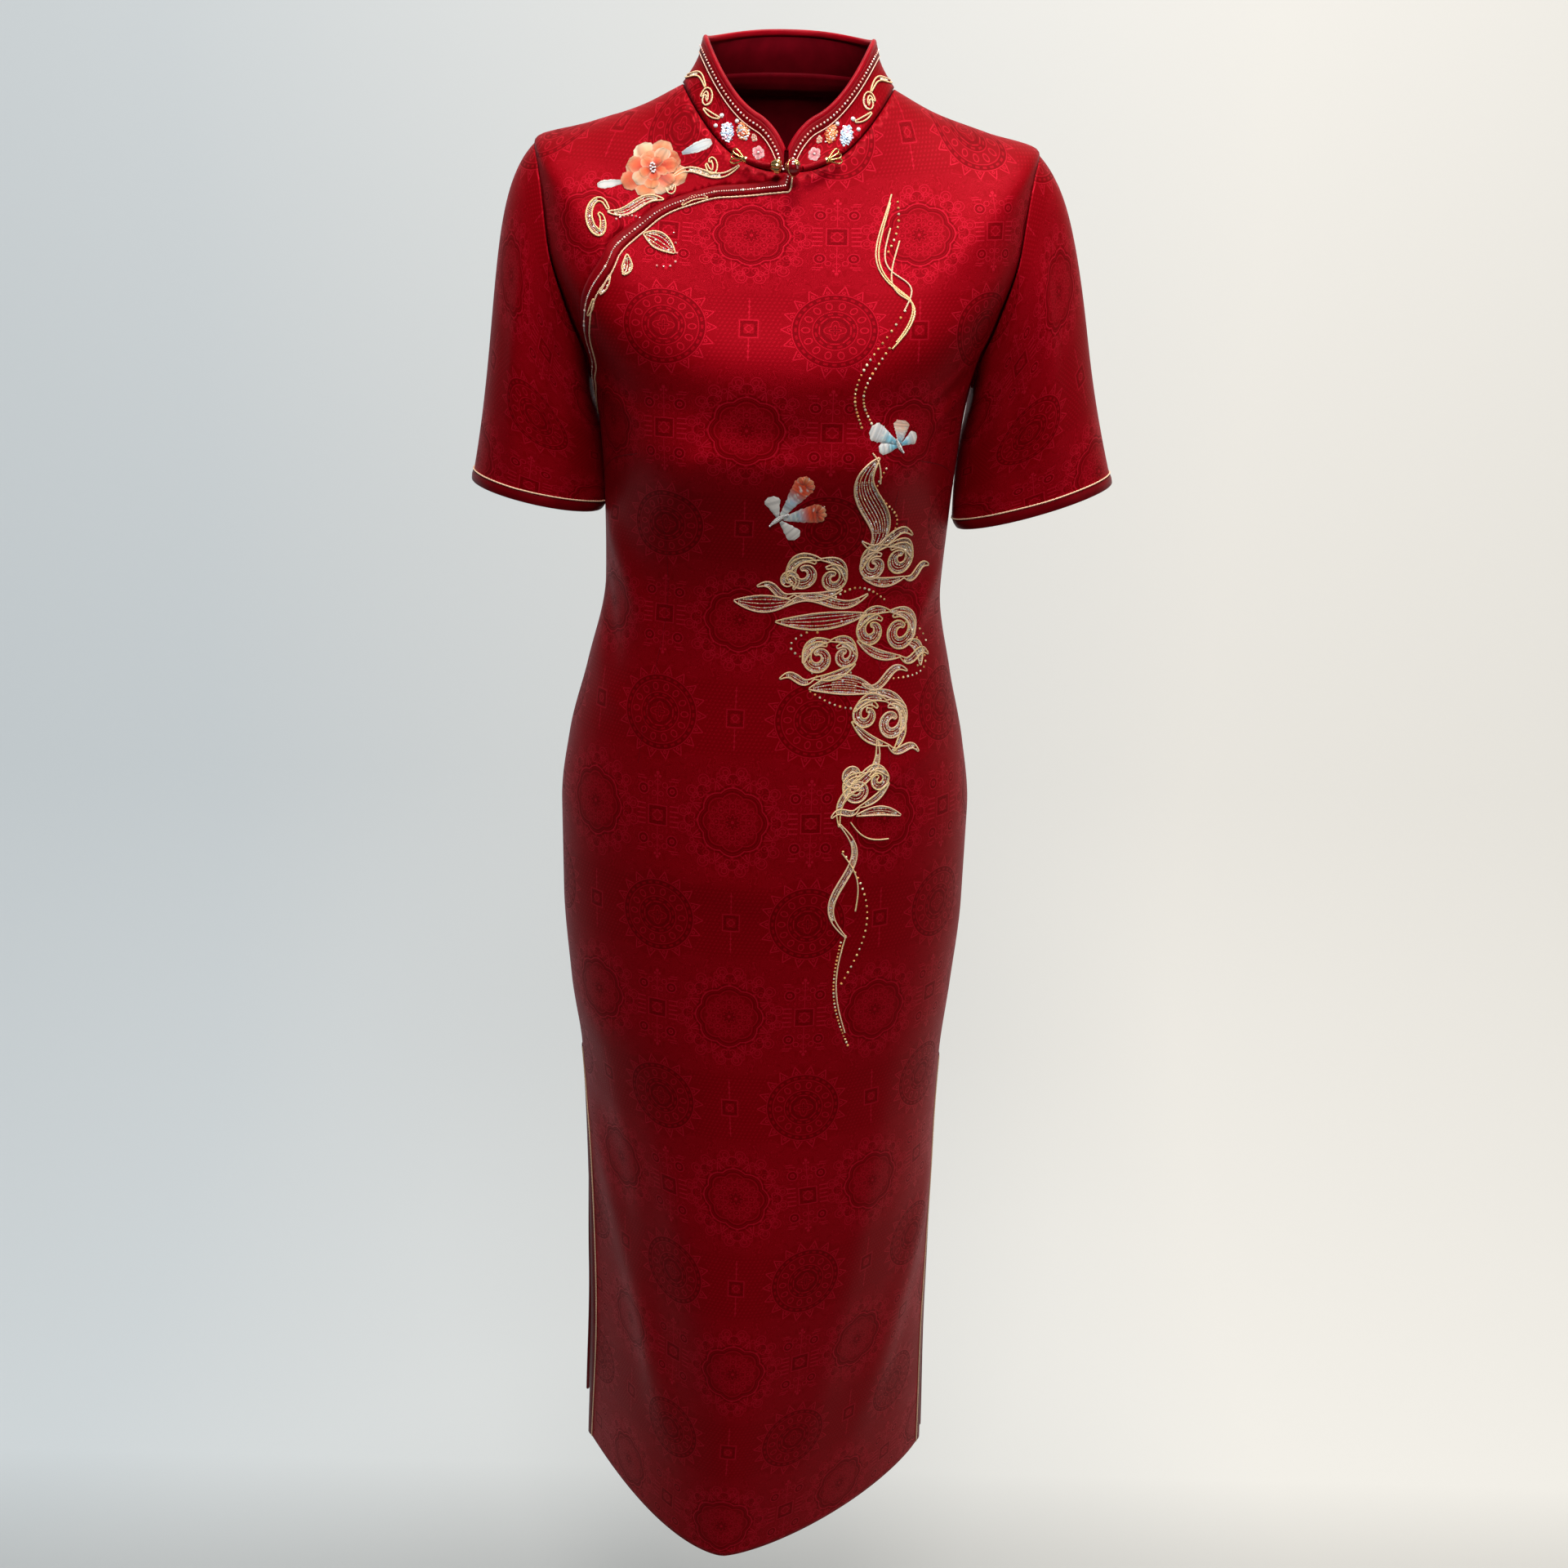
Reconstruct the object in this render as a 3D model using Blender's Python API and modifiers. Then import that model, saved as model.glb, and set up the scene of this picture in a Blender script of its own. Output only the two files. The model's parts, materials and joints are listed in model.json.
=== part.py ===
"""Cheongsam: a fitted, mid-calf brocade dress with a stand collar, a curved side-closing front, elbow-length
set-in sleeves and side slits, in the hollow form that it has when worn.

Frame: metres, +Z up, the front faces -Y, the wearer's left is +X. The origin is the centre of the neck
opening's base, level with the points where the shoulder seams meet the collar.

The body of the dress is one smooth surface, the form. It has a front half and a back half, each addressed
by two numbers: across, from -1 at the wearer's right side to +1 at the left, and down, the distance in
metres from the neckline along the shoulder and the side. Each panel is an outline drawn on the form.
"""

import math

import bmesh
import bpy
import numpy as np
from mathutils import Matrix, Vector
from mathutils.geometry import delaunay_2d_cdt

# ---------------------------------------------------------------- driving dimensions (metres)

CLOTH = 0.0020  # wall of the lined brocade
COLLAR_WALL = 0.0026  # the collar is interfaced, so it is stiffer and thicker
SATIN = 0.0010  # one layer of binding satin
SEAM_GAP = 0.0003  # between neighbouring pieces
SEAM_LEAN = 0.00035  # more gap on each panel, since its rim leans with its own surface
LEG_GAP = 0.00055  # between the cloth and the legs of a binding folded over its edge

SHOULDER_TIP = 0.115  # the levels are distances down the form
SHOULDER_LEVELS = (0.0, 0.023, 0.046, 0.069, 0.092, SHOULDER_TIP)
ARMPIT = 0.276
SLIT_TOP = 0.852
HEM = 1.280

ARMHOLE_CUT_FRONT = 0.23  # how far the armhole bites into each half of the form, in shares of a half's width
ARMHOLE_CUT_BACK = 0.19
ARMHOLE_POINTS = 24

SLEEVE_RINGS = 13
SLEEVE_TUCK = 0.0011  # how far the cap is set in from the armhole's edge at the top
SLEEVE_SEAM_EASE = 0.0012  # and out from it along the armhole's two sides
SLEEVE_CLEARANCE = 0.0030  # between the side of the body and the sleeve under the arm

COLLAR_HEIGHT = 0.0360
COLLAR_END_SHARE = 0.20  # what is left of the height where the two ends meet
COLLAR_ROUNDING = 0.21  # how far across from the centre front the collar reaches its full height
COLLAR_TOP_SHARE = (0.79, 0.82)  # of the neckline's width and depth
COLLAR_HOLLOW = 0.0025  # how far its side curves in between the neck seam and the top
COLLAR_LIFT = 0.0015  # of the collar's lower edge over the neckline
COLLAR_RINGS = 4
COLLAR_POINTS = 45

BINDING_WIDTH = 0.0065
COLLAR_BINDING_WIDTH = 0.0095
BAND_ON, BAND_OVER = 0.0066, 0.0012  # the closing's band: on the main front, and past its edge

ACROSS_STEP = 0.024  # mesh spacing on the form
DOWN_STEP = 0.032
SIDE_STEP = 0.026  # and along the side seams and slits
HALF_GIRTH = 0.400  # a mean width of one half of the form, which makes the flat outlines true to size

# A row for each level of the form. half is the half width, the y and z columns are the places of the side
# seam, of the centre front and of the centre back. bow and the roots of the two sides shape the front's
# curve from side to side (2 and 0.5 give an ellipse, 1.4 and 1 a rounded V), and lean moves its foremost
# line sideways and fills out the other flank. front_open, back_open and flare part the two panels' edges at
# the wearer's right slit.
FORM_COLUMNS = (
    "down", "half", "x_mid", "y_side", "z_side", "y_front", "z_front", "bow", "root_right", "root_left",
    "lean", "y_back", "z_back", "back_bow", "front_open", "back_open", "flare",
)
FORM_ROWS = (
    # neckline, then the shoulder in three steps
    (0.000, 0.0770, 0.000, 0.000, 0.003, -0.0660, -0.058, 2.0, 0.5, 0.5, 0, 0.057, 0.011, 2.0, 0, 0, 0),
    (0.035, 0.1085, 0.000, 0.003, -0.012, -0.0790, -0.090, 2.1, 0.5, 0.5, 0, 0.077, -0.017, 2.1, 0, 0, 0),
    (0.075, 0.1470, 0.000, 0.005, -0.024, -0.0930, -0.125, 2.2, 0.5, 0.5, 0, 0.092, -0.052, 2.2, 0, 0, 0),
    (0.115, 0.1860, 0.000, 0.006, -0.037, -0.1040, -0.156, 2.3, 0.5, 0.5, 0, 0.101, -0.088, 2.3, 0, 0, 0),
    # beside the armhole
    (0.160, 0.1835, 0.000, 0.004, -0.085, -0.1120, -0.182, 2.4, 0.5, 0.5, 0, 0.105, -0.126, 2.4, 0, 0, 0),
    (0.210, 0.1690, 0.000, 0.002, -0.138, -0.1190, -0.206, 2.5, 0.5, 0.5, 0, 0.106, -0.166, 2.5, 0, 0, 0),
    (0.270, 0.1460, 0.000, 0.000, -0.200, -0.1240, -0.230, 2.5, 0.5, 0.5, 0, 0.102, -0.212, 2.4, 0, 0, 0),
    # bust, under the bust, waist
    (0.315, 0.1390, 0.000, -0.002, -0.245, -0.1250, -0.252, 2.4, 0.5, 0.5, 0, 0.096, -0.248, 2.3, 0, 0, 0),
    (0.370, 0.1355, -0.001, 0.000, -0.300, -0.1080, -0.300, 2.2, 0.5, 0.5, 0, 0.087, -0.300, 2.2, 0, 0, 0),
    (0.431, 0.1340, -0.003, 0.000, -0.361, -0.0930, -0.361, 2.1, 0.5, 0.5, 0, 0.080, -0.361, 2.1, 0, 0, 0),
    # hip
    (0.500, 0.1475, -0.005, 0.002, -0.430, -0.1030, -0.430, 2.1, 0.5, 0.5, 0, 0.092, -0.430, 2.1, 0, 0, 0),
    (0.560, 0.1625, -0.006, 0.003, -0.490, -0.1110, -0.490, 2.1, 0.5, 0.5, 0, 0.109, -0.490, 2.1, 0, 0, 0),
    (0.620, 0.1705, -0.006, 0.004, -0.550, -0.1150, -0.550, 2.1, 0.5, 0.5, 0, 0.121, -0.550, 2.1, 0, 0, 0),
    (0.700, 0.1705, -0.006, 0.004, -0.630, -0.1170, -0.630, 2.1, 0.5, 0.5, 0, 0.120, -0.630, 2.1, 0, 0, 0),
    (0.780, 0.1655, -0.006, 0.004, -0.710, -0.1200, -0.710, 2.1, 0.50, 0.50, -0.002, 0.109, -0.710, 2.1,
     0, 0, 0),
    # skirt beside the slits
    (0.850, 0.1590, -0.005, 0.004, -0.780, -0.1250, -0.780, 2.0, 0.62, 0.52, -0.005, 0.102, -0.780, 2.1,
     0, 0, 0),
    (0.960, 0.1555, -0.003, 0.004, -0.890, -0.1350, -0.890, 1.9, 0.95, 0.58, -0.011, 0.098, -0.890, 2.1,
     -0.018, 0.012, 0.003),
    (1.110, 0.1560, -0.002, 0.004, -1.041, -0.1460, -1.041, 1.65, 1.15, 0.72, -0.019, 0.099, -1.041, 2.1,
     -0.020, 0.032, 0.008),
    (1.280, 0.1620, -0.003, 0.006, -1.212, -0.1520, -1.212, 1.48, 1.00, 0.82, -0.024, 0.100, -1.212, 2.1,
     -0.006, 0.052, 0.009),
)
LEFT_SLIT_SHARE = 0.25  # of the openings and the flare, at the wearer's left slit
FORM_LEVELS = 321  # samples of the form's surface, down and across
FORM_STATIONS = 161

# Soft shapes that stand out from the form: a half ("front" or "back"), the centre as across and down, the
# radii of the shape across (a share) and down (metres), and its height.
SWELL_COLUMNS = ("half", "across", "down", "wide", "long", "height")
SWELLS = (
    ("front", -0.38, 0.305, 0.24, 0.050, 0.0090),  # bust cups
    ("front", 0.38, 0.305, 0.24, 0.050, 0.0090),
    ("back", -0.42, 0.200, 0.30, 0.080, 0.0040),  # shoulder blades
    ("back", 0.42, 0.200, 0.30, 0.080, 0.0040),
    ("back", -0.36, 0.620, 0.30, 0.080, 0.0050),  # seat
    ("back", 0.36, 0.620, 0.30, 0.080, 0.0050),
)

# The largest folds: straight soft ridges on the form, from one point (across, down) to another.
FOLD_COLUMNS = ("half", "across_0", "down_0", "across_1", "down_1", "width", "height")
FOLDS = (
    ("front", -0.86, 0.360, -0.50, 0.470, 0.014, 0.0030),  # drag lines at the waist
    ("front", -0.92, 0.420, -0.62, 0.500, 0.012, -0.0022),
    ("front", 0.88, 0.400, 0.56, 0.470, 0.013, 0.0024),
    ("front", -0.90, 0.900, -0.35, 1.200, 0.020, 0.0036),  # long folds from the slit towards the knee
    ("front", 0.92, 0.930, 0.50, 1.210, 0.020, 0.0030),
    ("front", -0.45, 0.860, -0.15, 1.120, 0.022, 0.0020),
    ("back", -0.80, 0.400, -0.30, 0.440, 0.013, 0.0030),  # the small of the back
    ("back", 0.78, 0.390, 0.26, 0.445, 0.013, 0.0030),
    ("back", -0.55, 0.430, 0.50, 0.462, 0.012, 0.0024),
    ("back", -0.70, 0.900, -0.40, 1.260, 0.026, 0.0040),
    ("back", 0.62, 0.930, 0.34, 1.260, 0.024, 0.0034),
)

# The main front's free edge, as places across and up in the front view: down from the neck, round a
# corner, then a long S to the side seam under the wearer's right arm.
EDGE_DROP = ((0.0000, -0.0585), (-0.0012, -0.0618), (-0.0045, -0.0645))
EDGE_SWEEP = (
    (-0.0130, -0.0655), (-0.0450, -0.0685), (-0.0720, -0.0755), (-0.0950, -0.0860), (-0.1120, -0.0990),
    (-0.1250, -0.1140), (-0.1365, -0.1330), (-0.1430, -0.1530), (-0.1435, -0.1700), (-0.1400, -0.1900),
)
EDGE_SIDE_DROP = 0.022  # how far below the armpit it meets the side seam

# Each sleeve: the middle of its hem in the front view, the hem's slope, its two radii and the forward place.
SLEEVE_COLUMNS = ("x", "y", "z", "slope_deg", "radius_across", "radius_deep")
SLEEVES = {
    "left": (0.2015, 0.0000, -0.2945, 18.0, 0.0620, 0.0475),
    "right": (-0.1910, 0.0000, -0.2950, 12.5, 0.0510, 0.0535),
}

# The knot fastening at the neck, as places in the front view and stand-offs from the neckline's depth.
BUTTON_AT = (0.0050, -0.0545)
BUTTON_RADIUS = 0.0059
BUTTON_STAND_OFF = 0.0102
CORD_RADIUS = 0.0021
CORD_STAND_OFF = 0.0064
CORD_RUNS = {
    "left": ((0.0122, -0.0548), (0.0180, -0.0532), (0.0235, -0.0510), (0.0290, -0.0488)),
    "right": ((-0.0108, -0.0534), (-0.0165, -0.0528), (-0.0225, -0.0514), (-0.0290, -0.0496)),
}
CAP_LENGTH = 0.0118
CAP_RADII = (0.0024, 0.0028, 0.0042, 0.0054)
CAP_FLATNESS = 0.45  # of their depth to their height
BELL_LENGTH = 0.0080
BELL_RADII = (0.0026, 0.0040, 0.0046, 0.0034)

PALETTE = {  # name: (colour, roughness, metallic)
    "brocade": ((0.33, 0.004, 0.016), 0.42, 0.0),
    "satin": ((0.24, 0.003, 0.014), 0.32, 0.0),
    "gilt": ((0.80, 0.52, 0.18), 0.28, 1.0),
    "enamel": ((0.20, 0.004, 0.008), 0.15, 0.2),
}


# ---------------------------------------------------------------- curves

def smooth_columns(rows, at):
    """The table's columns at each value of its first one, by a Hermite curve that never overshoots a row."""
    table = np.array(rows, float)
    knots = table[:, 0]
    rises = np.diff(table, axis=0) / np.diff(knots)[:, None]
    before, after = rises[:-1], rises[1:]
    both = np.where(before + after == 0, 1, before + after)
    inner = np.where(before * after > 0, 2 * before * after / both, 0)
    slopes = np.concatenate([rises[:1], inner, rises[-1:]])
    cell = np.clip(np.searchsorted(knots, at, side="right") - 1, 0, len(knots) - 2)
    span = (knots[cell + 1] - knots[cell])[:, None]
    part = ((at - knots[cell]) / span[:, 0])[:, None]
    return (
        table[cell] * (1 + 2 * part) * (1 - part) ** 2
        + slopes[cell] * span * part * (1 - part) ** 2
        + table[cell + 1] * part**2 * (3 - 2 * part)
        + slopes[cell + 1] * span * part**2 * (part - 1)
    )


def spaced(points, count):
    """count points at even distances along a smooth curve through the given ones."""
    points = np.array(points, float)
    steps = np.linalg.norm(np.diff(points, axis=0), axis=1)
    chord = np.concatenate([[0], np.cumsum(steps)])
    table = np.column_stack([chord, points])
    dense = smooth_columns(table, np.linspace(0, chord[-1], 40 * len(points)))[:, 1:]
    steps = np.linalg.norm(np.diff(dense, axis=0), axis=1)
    length = np.concatenate([[0], np.cumsum(steps)])
    even = np.linspace(0, length[-1], count)
    return np.column_stack([np.interp(even, length, column) for column in dense.T])


def unit(vectors):
    return vectors / np.maximum(np.linalg.norm(vectors, axis=-1, keepdims=True), 1e-12)


# ---------------------------------------------------------------- the form

class Form:
    """The dress's surface. at() gives points of a half, normals() their outward directions."""

    def __init__(self):
        self.down = np.linspace(0, HEM, FORM_LEVELS)
        self.across = np.linspace(-1, 1, FORM_STATIONS)
        columns = smooth_columns(FORM_ROWS, self.down)
        self.level = dict(zip(FORM_COLUMNS, columns.T))
        self.grid = {half: self.half_grid(half) for half in ("front", "back")}
        self.normal_grid = {half: self.grid_normals(half) for half in self.grid}
        self.share_seam_normals()
        for half in self.grid:
            self.grid[half] = self.grid[half] + self.normal_grid[half] * self.relief(half)[..., None]

    def half_grid(self, half):
        """Points of one half, evenly spaced along each level's curve."""
        lv = {name: values[:, None] for name, values in self.level.items()}
        turn = np.sin(np.linspace(-math.pi / 2, math.pi / 2, 721))[None, :]
        side = np.where(turn < 0, 1.0, LEFT_SLIT_SHARE)
        if half == "front":
            bow, root = lv["bow"], np.where(turn < 0, lv["root_right"], lv["root_left"])
            y_mid, z_mid, width, lean = lv["y_front"], lv["z_front"], lv["half"], lv["lean"]
            y_side = lv["y_side"] + lv["front_open"] * side
        else:
            bow, root = lv["back_bow"], 0.5
            y_mid, z_mid, width, lean = lv["y_back"], lv["z_back"], lv["half"] + lv["flare"] * side, 0.0
            y_side = lv["y_side"] + lv["back_open"] * side
        fall = np.maximum(1 - np.abs(turn) ** (bow * (1 - 5 * lean * turn)), 0) ** root
        curve = np.stack(
            [
                lv["x_mid"] + width * turn + lean * (1 - turn**2),
                y_side + (y_mid - y_side) * fall,
                lv["z_side"] + (z_mid - lv["z_side"]) * (1 - np.abs(turn) ** 2.4),
            ],
            -1,
        )
        steps = np.linalg.norm(np.diff(curve, axis=1), axis=2)
        length = np.concatenate([np.zeros((len(steps), 1)), np.cumsum(steps, axis=1)], axis=1)
        share = (self.across + 1) / 2
        return np.array(
            [
                np.column_stack([np.interp(share * run[-1], run, column) for column in row.T])
                for row, run in zip(curve, length)
            ]
        )

    def grid_normals(self, half):
        grid = self.grid[half]
        normals = unit(np.cross(np.gradient(grid, axis=1), np.gradient(grid, axis=0)))
        return -normals if half == "front" else normals

    def share_seam_normals(self):
        """Makes the halves agree along the side seams, so that two walls that meet there don't cross."""
        seam = {side: unit(sum(self.normal_grid[half][:, side] for half in self.grid)) for side in (0, -1)}
        near = np.clip((np.abs(self.across) - 0.93) / 0.07, 0, 1)[None, :, None]
        sewn = np.clip(1 - (self.down - SLIT_TOP) / 0.080, 0, 1)[:, None, None]
        for half, normals in self.normal_grid.items():
            at_seam = np.where(self.across[None, :, None] < 0, seam[0][:, None], seam[-1][:, None])
            self.normal_grid[half] = unit(normals * (1 - near * sewn) + at_seam * near * sewn)

    def relief(self, half):
        """How far the surface stands out for the swells and folds."""
        across, down = np.meshgrid(self.across, self.down)
        out = np.zeros_like(across)
        for swell in (dict(zip(SWELL_COLUMNS, row)) for row in SWELLS):
            if swell["half"] == half:
                far = ((across - swell["across"]) / swell["wide"]) ** 2
                far += ((down - swell["down"]) / swell["long"]) ** 2
                out += swell["height"] * np.exp(-far)
        for fold in (dict(zip(FOLD_COLUMNS, row)) for row in FOLDS):
            if fold["half"] == half:
                out += fold_height(fold, across * HALF_GIRTH / 2, down)
        return out * np.clip((1 - np.abs(across)) / 0.06, 0, 1)

    def look_up(self, grids, half, across, down):
        """Values of a grid at (across, down), each an array or a number."""
        across, down = np.broadcast_arrays(np.asarray(across, float), np.asarray(down, float))
        column = np.clip((across + 1) / 2, 0, 1) * (FORM_STATIONS - 1)
        row = np.clip(down / HEM, 0, 1) * (FORM_LEVELS - 1)
        c0 = np.minimum(column.astype(int), FORM_STATIONS - 2)
        r0 = np.minimum(row.astype(int), FORM_LEVELS - 2)
        fc, fr = (column - c0)[..., None], (row - r0)[..., None]
        g = grids[half]
        upper = g[r0, c0] * (1 - fc) + g[r0, c0 + 1] * fc
        lower = g[r0 + 1, c0] * (1 - fc) + g[r0 + 1, c0 + 1] * fc
        return upper * (1 - fr) + lower * fr

    def at(self, half, across, down):
        return self.look_up(self.grid, half, across, down)

    def normals(self, half, across, down):
        return unit(self.look_up(self.normal_grid, half, across, down))

    def locate(self, half, x, z):
        """(across, down) of the place on a half that the front view shows at (x, z)."""
        grid = self.grid[half]
        far = (grid[..., 0] - x) ** 2 + (grid[..., 2] - z) ** 2
        row, column = np.unravel_index(np.argmin(far), far.shape)
        guess = np.array([self.across[column], self.down[row]])
        nudge = 1e-4
        for _ in range(8):
            here = self.at(half, *guess)[[0, 2]]
            slope = np.column_stack(
                [(self.at(half, *(guess + step))[[0, 2]] - here) / nudge for step in np.eye(2) * nudge]
            )
            guess = guess + np.linalg.lstsq(slope, np.array([x, z]) - here, rcond=None)[0]
            guess = np.clip(guess, [-1, 0], [1, HEM])
        return guess


def fold_height(fold, x, down):
    """Height of one fold over the flat cloth, whose places are x and down in metres."""
    start = np.array([fold["across_0"] * HALF_GIRTH / 2, fold["down_0"]])
    end = np.array([fold["across_1"] * HALF_GIRTH / 2, fold["down_1"]])
    run = end - start
    part = ((x - start[0]) * run[0] + (down - start[1]) * run[1]) / (run @ run)
    off = ((x - start[0]) * run[1] - (down - start[1]) * run[0]) / np.linalg.norm(run)
    swell = np.exp(-((off / fold["width"]) ** 2))
    return fold["height"] * swell * np.exp(-(((part - 0.5) / 0.42) ** 4))


FORM = Form()


def seam_inset(down):
    """The across value that half a seam gap takes from a panel's edge at each level."""
    row = FORM.at("front", np.linspace(-1, 1, 61)[None, :], np.array(down)[:, None])
    girth = np.linalg.norm(np.diff(row, axis=1), axis=2).sum(1)
    return (SEAM_GAP / 2 + SEAM_LEAN) / (girth / 2)


# ---------------------------------------------------------------- outlines on the form

def side_edge(sign, top, bottom=HEM):
    """Points (across, down) along a side seam, then along the slit, whose edges leave room for a binding.

    Their levels are the same on every panel, so that neighbours' edges match."""
    levels = np.arange(ARMPIT, HEM - SIDE_STEP / 2, SIDE_STEP)
    levels = np.sort(np.concatenate([levels, [SLIT_TOP, SLIT_TOP + 0.004]]))
    levels = levels[(levels > top + SIDE_STEP / 4) & (levels < bottom - SIDE_STEP / 4)]
    down = np.concatenate([[top], levels, [bottom]])
    room = np.clip((down - SLIT_TOP) / 0.004, 0, 1) * (SATIN + SEAM_GAP * 1.5) / (SEAM_GAP / 2 + SEAM_LEAN)
    return np.column_stack([sign * (1 - seam_inset(down) * (1 + room)), down])


def slit_hem(half, sign):
    """The outer and inner edges of a slit's binding on a panel, as two rows of (across, down) points."""
    outer = side_edge(sign, SLIT_TOP + 0.004)
    row = FORM.at(half, np.linspace(-1, 1, 61)[None, :], outer[:, 1:])
    girth = np.linalg.norm(np.diff(row, axis=1), axis=2).sum(1)
    inner = outer - np.column_stack([sign * BINDING_WIDTH / (girth / 2), np.zeros(len(outer))])
    inner[-1, 1] = HEM - 0.0005
    return outer, inner


def armhole(half, sign):
    """Points (across, down) of half an armhole, from the shoulder tip down to the armpit."""
    turn = np.linspace(0, math.pi, ARMHOLE_POINTS // 2 + 1)
    cut = ARMHOLE_CUT_FRONT if half == "front" else ARMHOLE_CUT_BACK
    down = SHOULDER_TIP + (ARMPIT - SHOULDER_TIP) * (1 - np.cos(turn)) / 2
    across = 1 - seam_inset(down) - cut * np.sin(turn) ** 0.85
    across[[0, -1]] = (1 - seam_inset(down))[[0, -1]]
    return np.column_stack([sign * across, down])


def free_edge():
    """Points (across, down) of the main front's free edge, from the neckline to the side seam."""
    drop = [FORM.locate("front", x, z) for x, z in EDGE_DROP]
    drop[0][1] = 0.0
    sweep = [FORM.locate("front", x, z) for x, z in EDGE_SWEEP]
    end = side_edge(-1, ARMPIT + EDGE_SIDE_DROP)[0]
    return np.concatenate([spaced(drop, 5)[:-1], spaced([drop[-1], *sweep, end], 30)])


def shifted(line, distance):
    """The line moved sideways over the flat cloth, towards the main front."""
    flat = line * (HALF_GIRTH / 2, 1)
    run = unit(np.gradient(flat, axis=0))
    moved = flat + distance * np.column_stack([run[:, 1], -run[:, 0]])
    return moved / (HALF_GIRTH / 2, 1)


def band_rows():
    """The three rows of (across, down) points that the closing's band lies on: over, edge and on."""
    line = free_edge()[:-1]
    over, on = shifted(line, -BAND_OVER), shifted(line, BAND_ON)
    line[0, 1] = over[0, 1] = on[0, 1] = 0.0025
    return over, line, on


# ---------------------------------------------------------------- mesh makers

def new_object(name, mesh, palette, parent):
    colour, roughness, metallic = PALETTE[palette]
    material = bpy.data.materials.new(name + "_" + palette)
    material.use_nodes = True
    shader = material.node_tree.nodes["Principled BSDF"]
    shader.inputs["Base Color"].default_value = (*colour, 1)
    shader.inputs["Roughness"].default_value = roughness
    shader.inputs["Metallic"].default_value = metallic
    material.diffuse_color = (*colour, 1)
    mesh.materials.append(material)
    made = bpy.data.objects.new(name, mesh)
    DRESS.objects.link(made)
    made.parent = parent
    return made


def mesh_of(name, points, faces):
    mesh = bpy.data.meshes.new(name)
    mesh.from_pydata([tuple(p) for p in points], [], [tuple(int(i) for i in f) for f in faces])
    shaped = bmesh.new()
    shaped.from_mesh(mesh)
    bmesh.ops.recalc_face_normals(shaped, faces=shaped.faces)
    shaped.to_mesh(mesh)
    shaped.free()
    mesh.shade_smooth()
    mesh.set_sharp_from_angle(angle=math.radians(40))
    return mesh


def shell(name, points, faces, thickness, palette, parent):
    """An open surface thickened equally to both sides."""
    made = new_object(name, mesh_of(name, points, faces), palette, parent)
    thicken = made.modifiers.new("thickness", "SOLIDIFY")
    thicken.thickness = thickness
    thicken.offset = 0.0
    return made


def inside(points, outline):
    """Which points lie inside a closed outline."""
    x, y = points[:, :1], points[:, 1:]
    x0, y0 = outline.T
    x1, y1 = np.roll(x0, -1), np.roll(y0, -1)
    rises = (y0 > y) != (y1 > y)
    at_x = x0 + (y - y0) * (x1 - x0) / np.where(y1 == y0, 1e-12, y1 - y0)
    return (rises & (x < at_x)).sum(1) % 2 == 1


def panel(name, half, outline, parent, inner_rows=()):
    """A cloth panel with this outline of (across, down) points on a half of the form. The inner rows are
    lines that its mesh follows, so that what lies between them and the outline fits it closely."""
    scale = np.array([HALF_GIRTH / 2 / ACROSS_STEP, 1 / DOWN_STEP])
    border = outline * scale
    starts = np.concatenate([border] + [row[:-1] * scale for row in inner_rows])
    ahead = np.concatenate(
        [np.roll(border, -1, axis=0) - border] + [np.diff(row * scale, axis=0) for row in inner_rows]
    )
    low, high = border.min(0), border.max(0)
    columns, rows = np.arange(low[0] + 0.5, high[0], 1.0), np.arange(low[1] + 0.5, high[1], 1.0)
    lattice = np.array([(c, r) for r in rows for c in columns])
    gap = lattice[:, None, :] - starts[None, :, :]
    part = np.clip((gap * ahead).sum(2) / (ahead**2).sum(1), 0, 1)
    far = np.linalg.norm(gap - part[..., None] * ahead, axis=2).min(1)
    lattice = lattice[inside(lattice, border) & (far > 0.5)]
    flat, edges = list(border) + list(lattice), []
    for row in inner_rows:
        edges += [(len(flat) + i, len(flat) + i + 1) for i in range(len(row) - 1)]
        flat += list(row * scale)
    places, _, faces, *_ = delaunay_2d_cdt(
        [Vector(p) for p in flat], edges, [list(range(len(border)))], 1, 1e-5
    )
    across, down = (np.array([tuple(p) for p in places]) / scale).T
    return shell(name, FORM.at(half, across, down), faces, CLOTH, "brocade", parent)


def ribbon(name, rows, thickness, palette, parent, closed=False):
    """A shell through rows of points, thickened equally to both sides. closed joins each row's two ends."""
    rows = np.array(rows)
    count, length = rows.shape[:2]
    steps = [(i, (i + 1) % length) for i in range(length if closed else length - 1)]
    faces = [
        (start + i, start + after, start + length + after, start + length + i)
        for start in range(0, (count - 1) * length, length)
        for i, after in steps
    ]
    return shell(name, rows.reshape(-1, 3), faces, thickness, palette, parent)


def folded_rows(edge, leg, out, cloth):
    """Rows of points for a binding folded over an edge: out along one side of the cloth, back on the other.
    out is the cloth's normal along the inner ends of its legs."""
    run = unit(np.gradient(edge, axis=0))
    past = edge - leg
    past = unit(past - run * (past * run).sum(-1, keepdims=True))
    flat = np.cross(run, past)
    flat *= np.sign((flat * out).sum(-1, keepdims=True))
    far = cloth / 2 + LEG_GAP + SATIN / 2
    fold = edge + past * (SEAM_GAP + SATIN / 2)
    return [leg + out * far, fold + flat * far, fold - flat * far, leg - out * far]


# ---------------------------------------------------------------- pieces of the body

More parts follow.
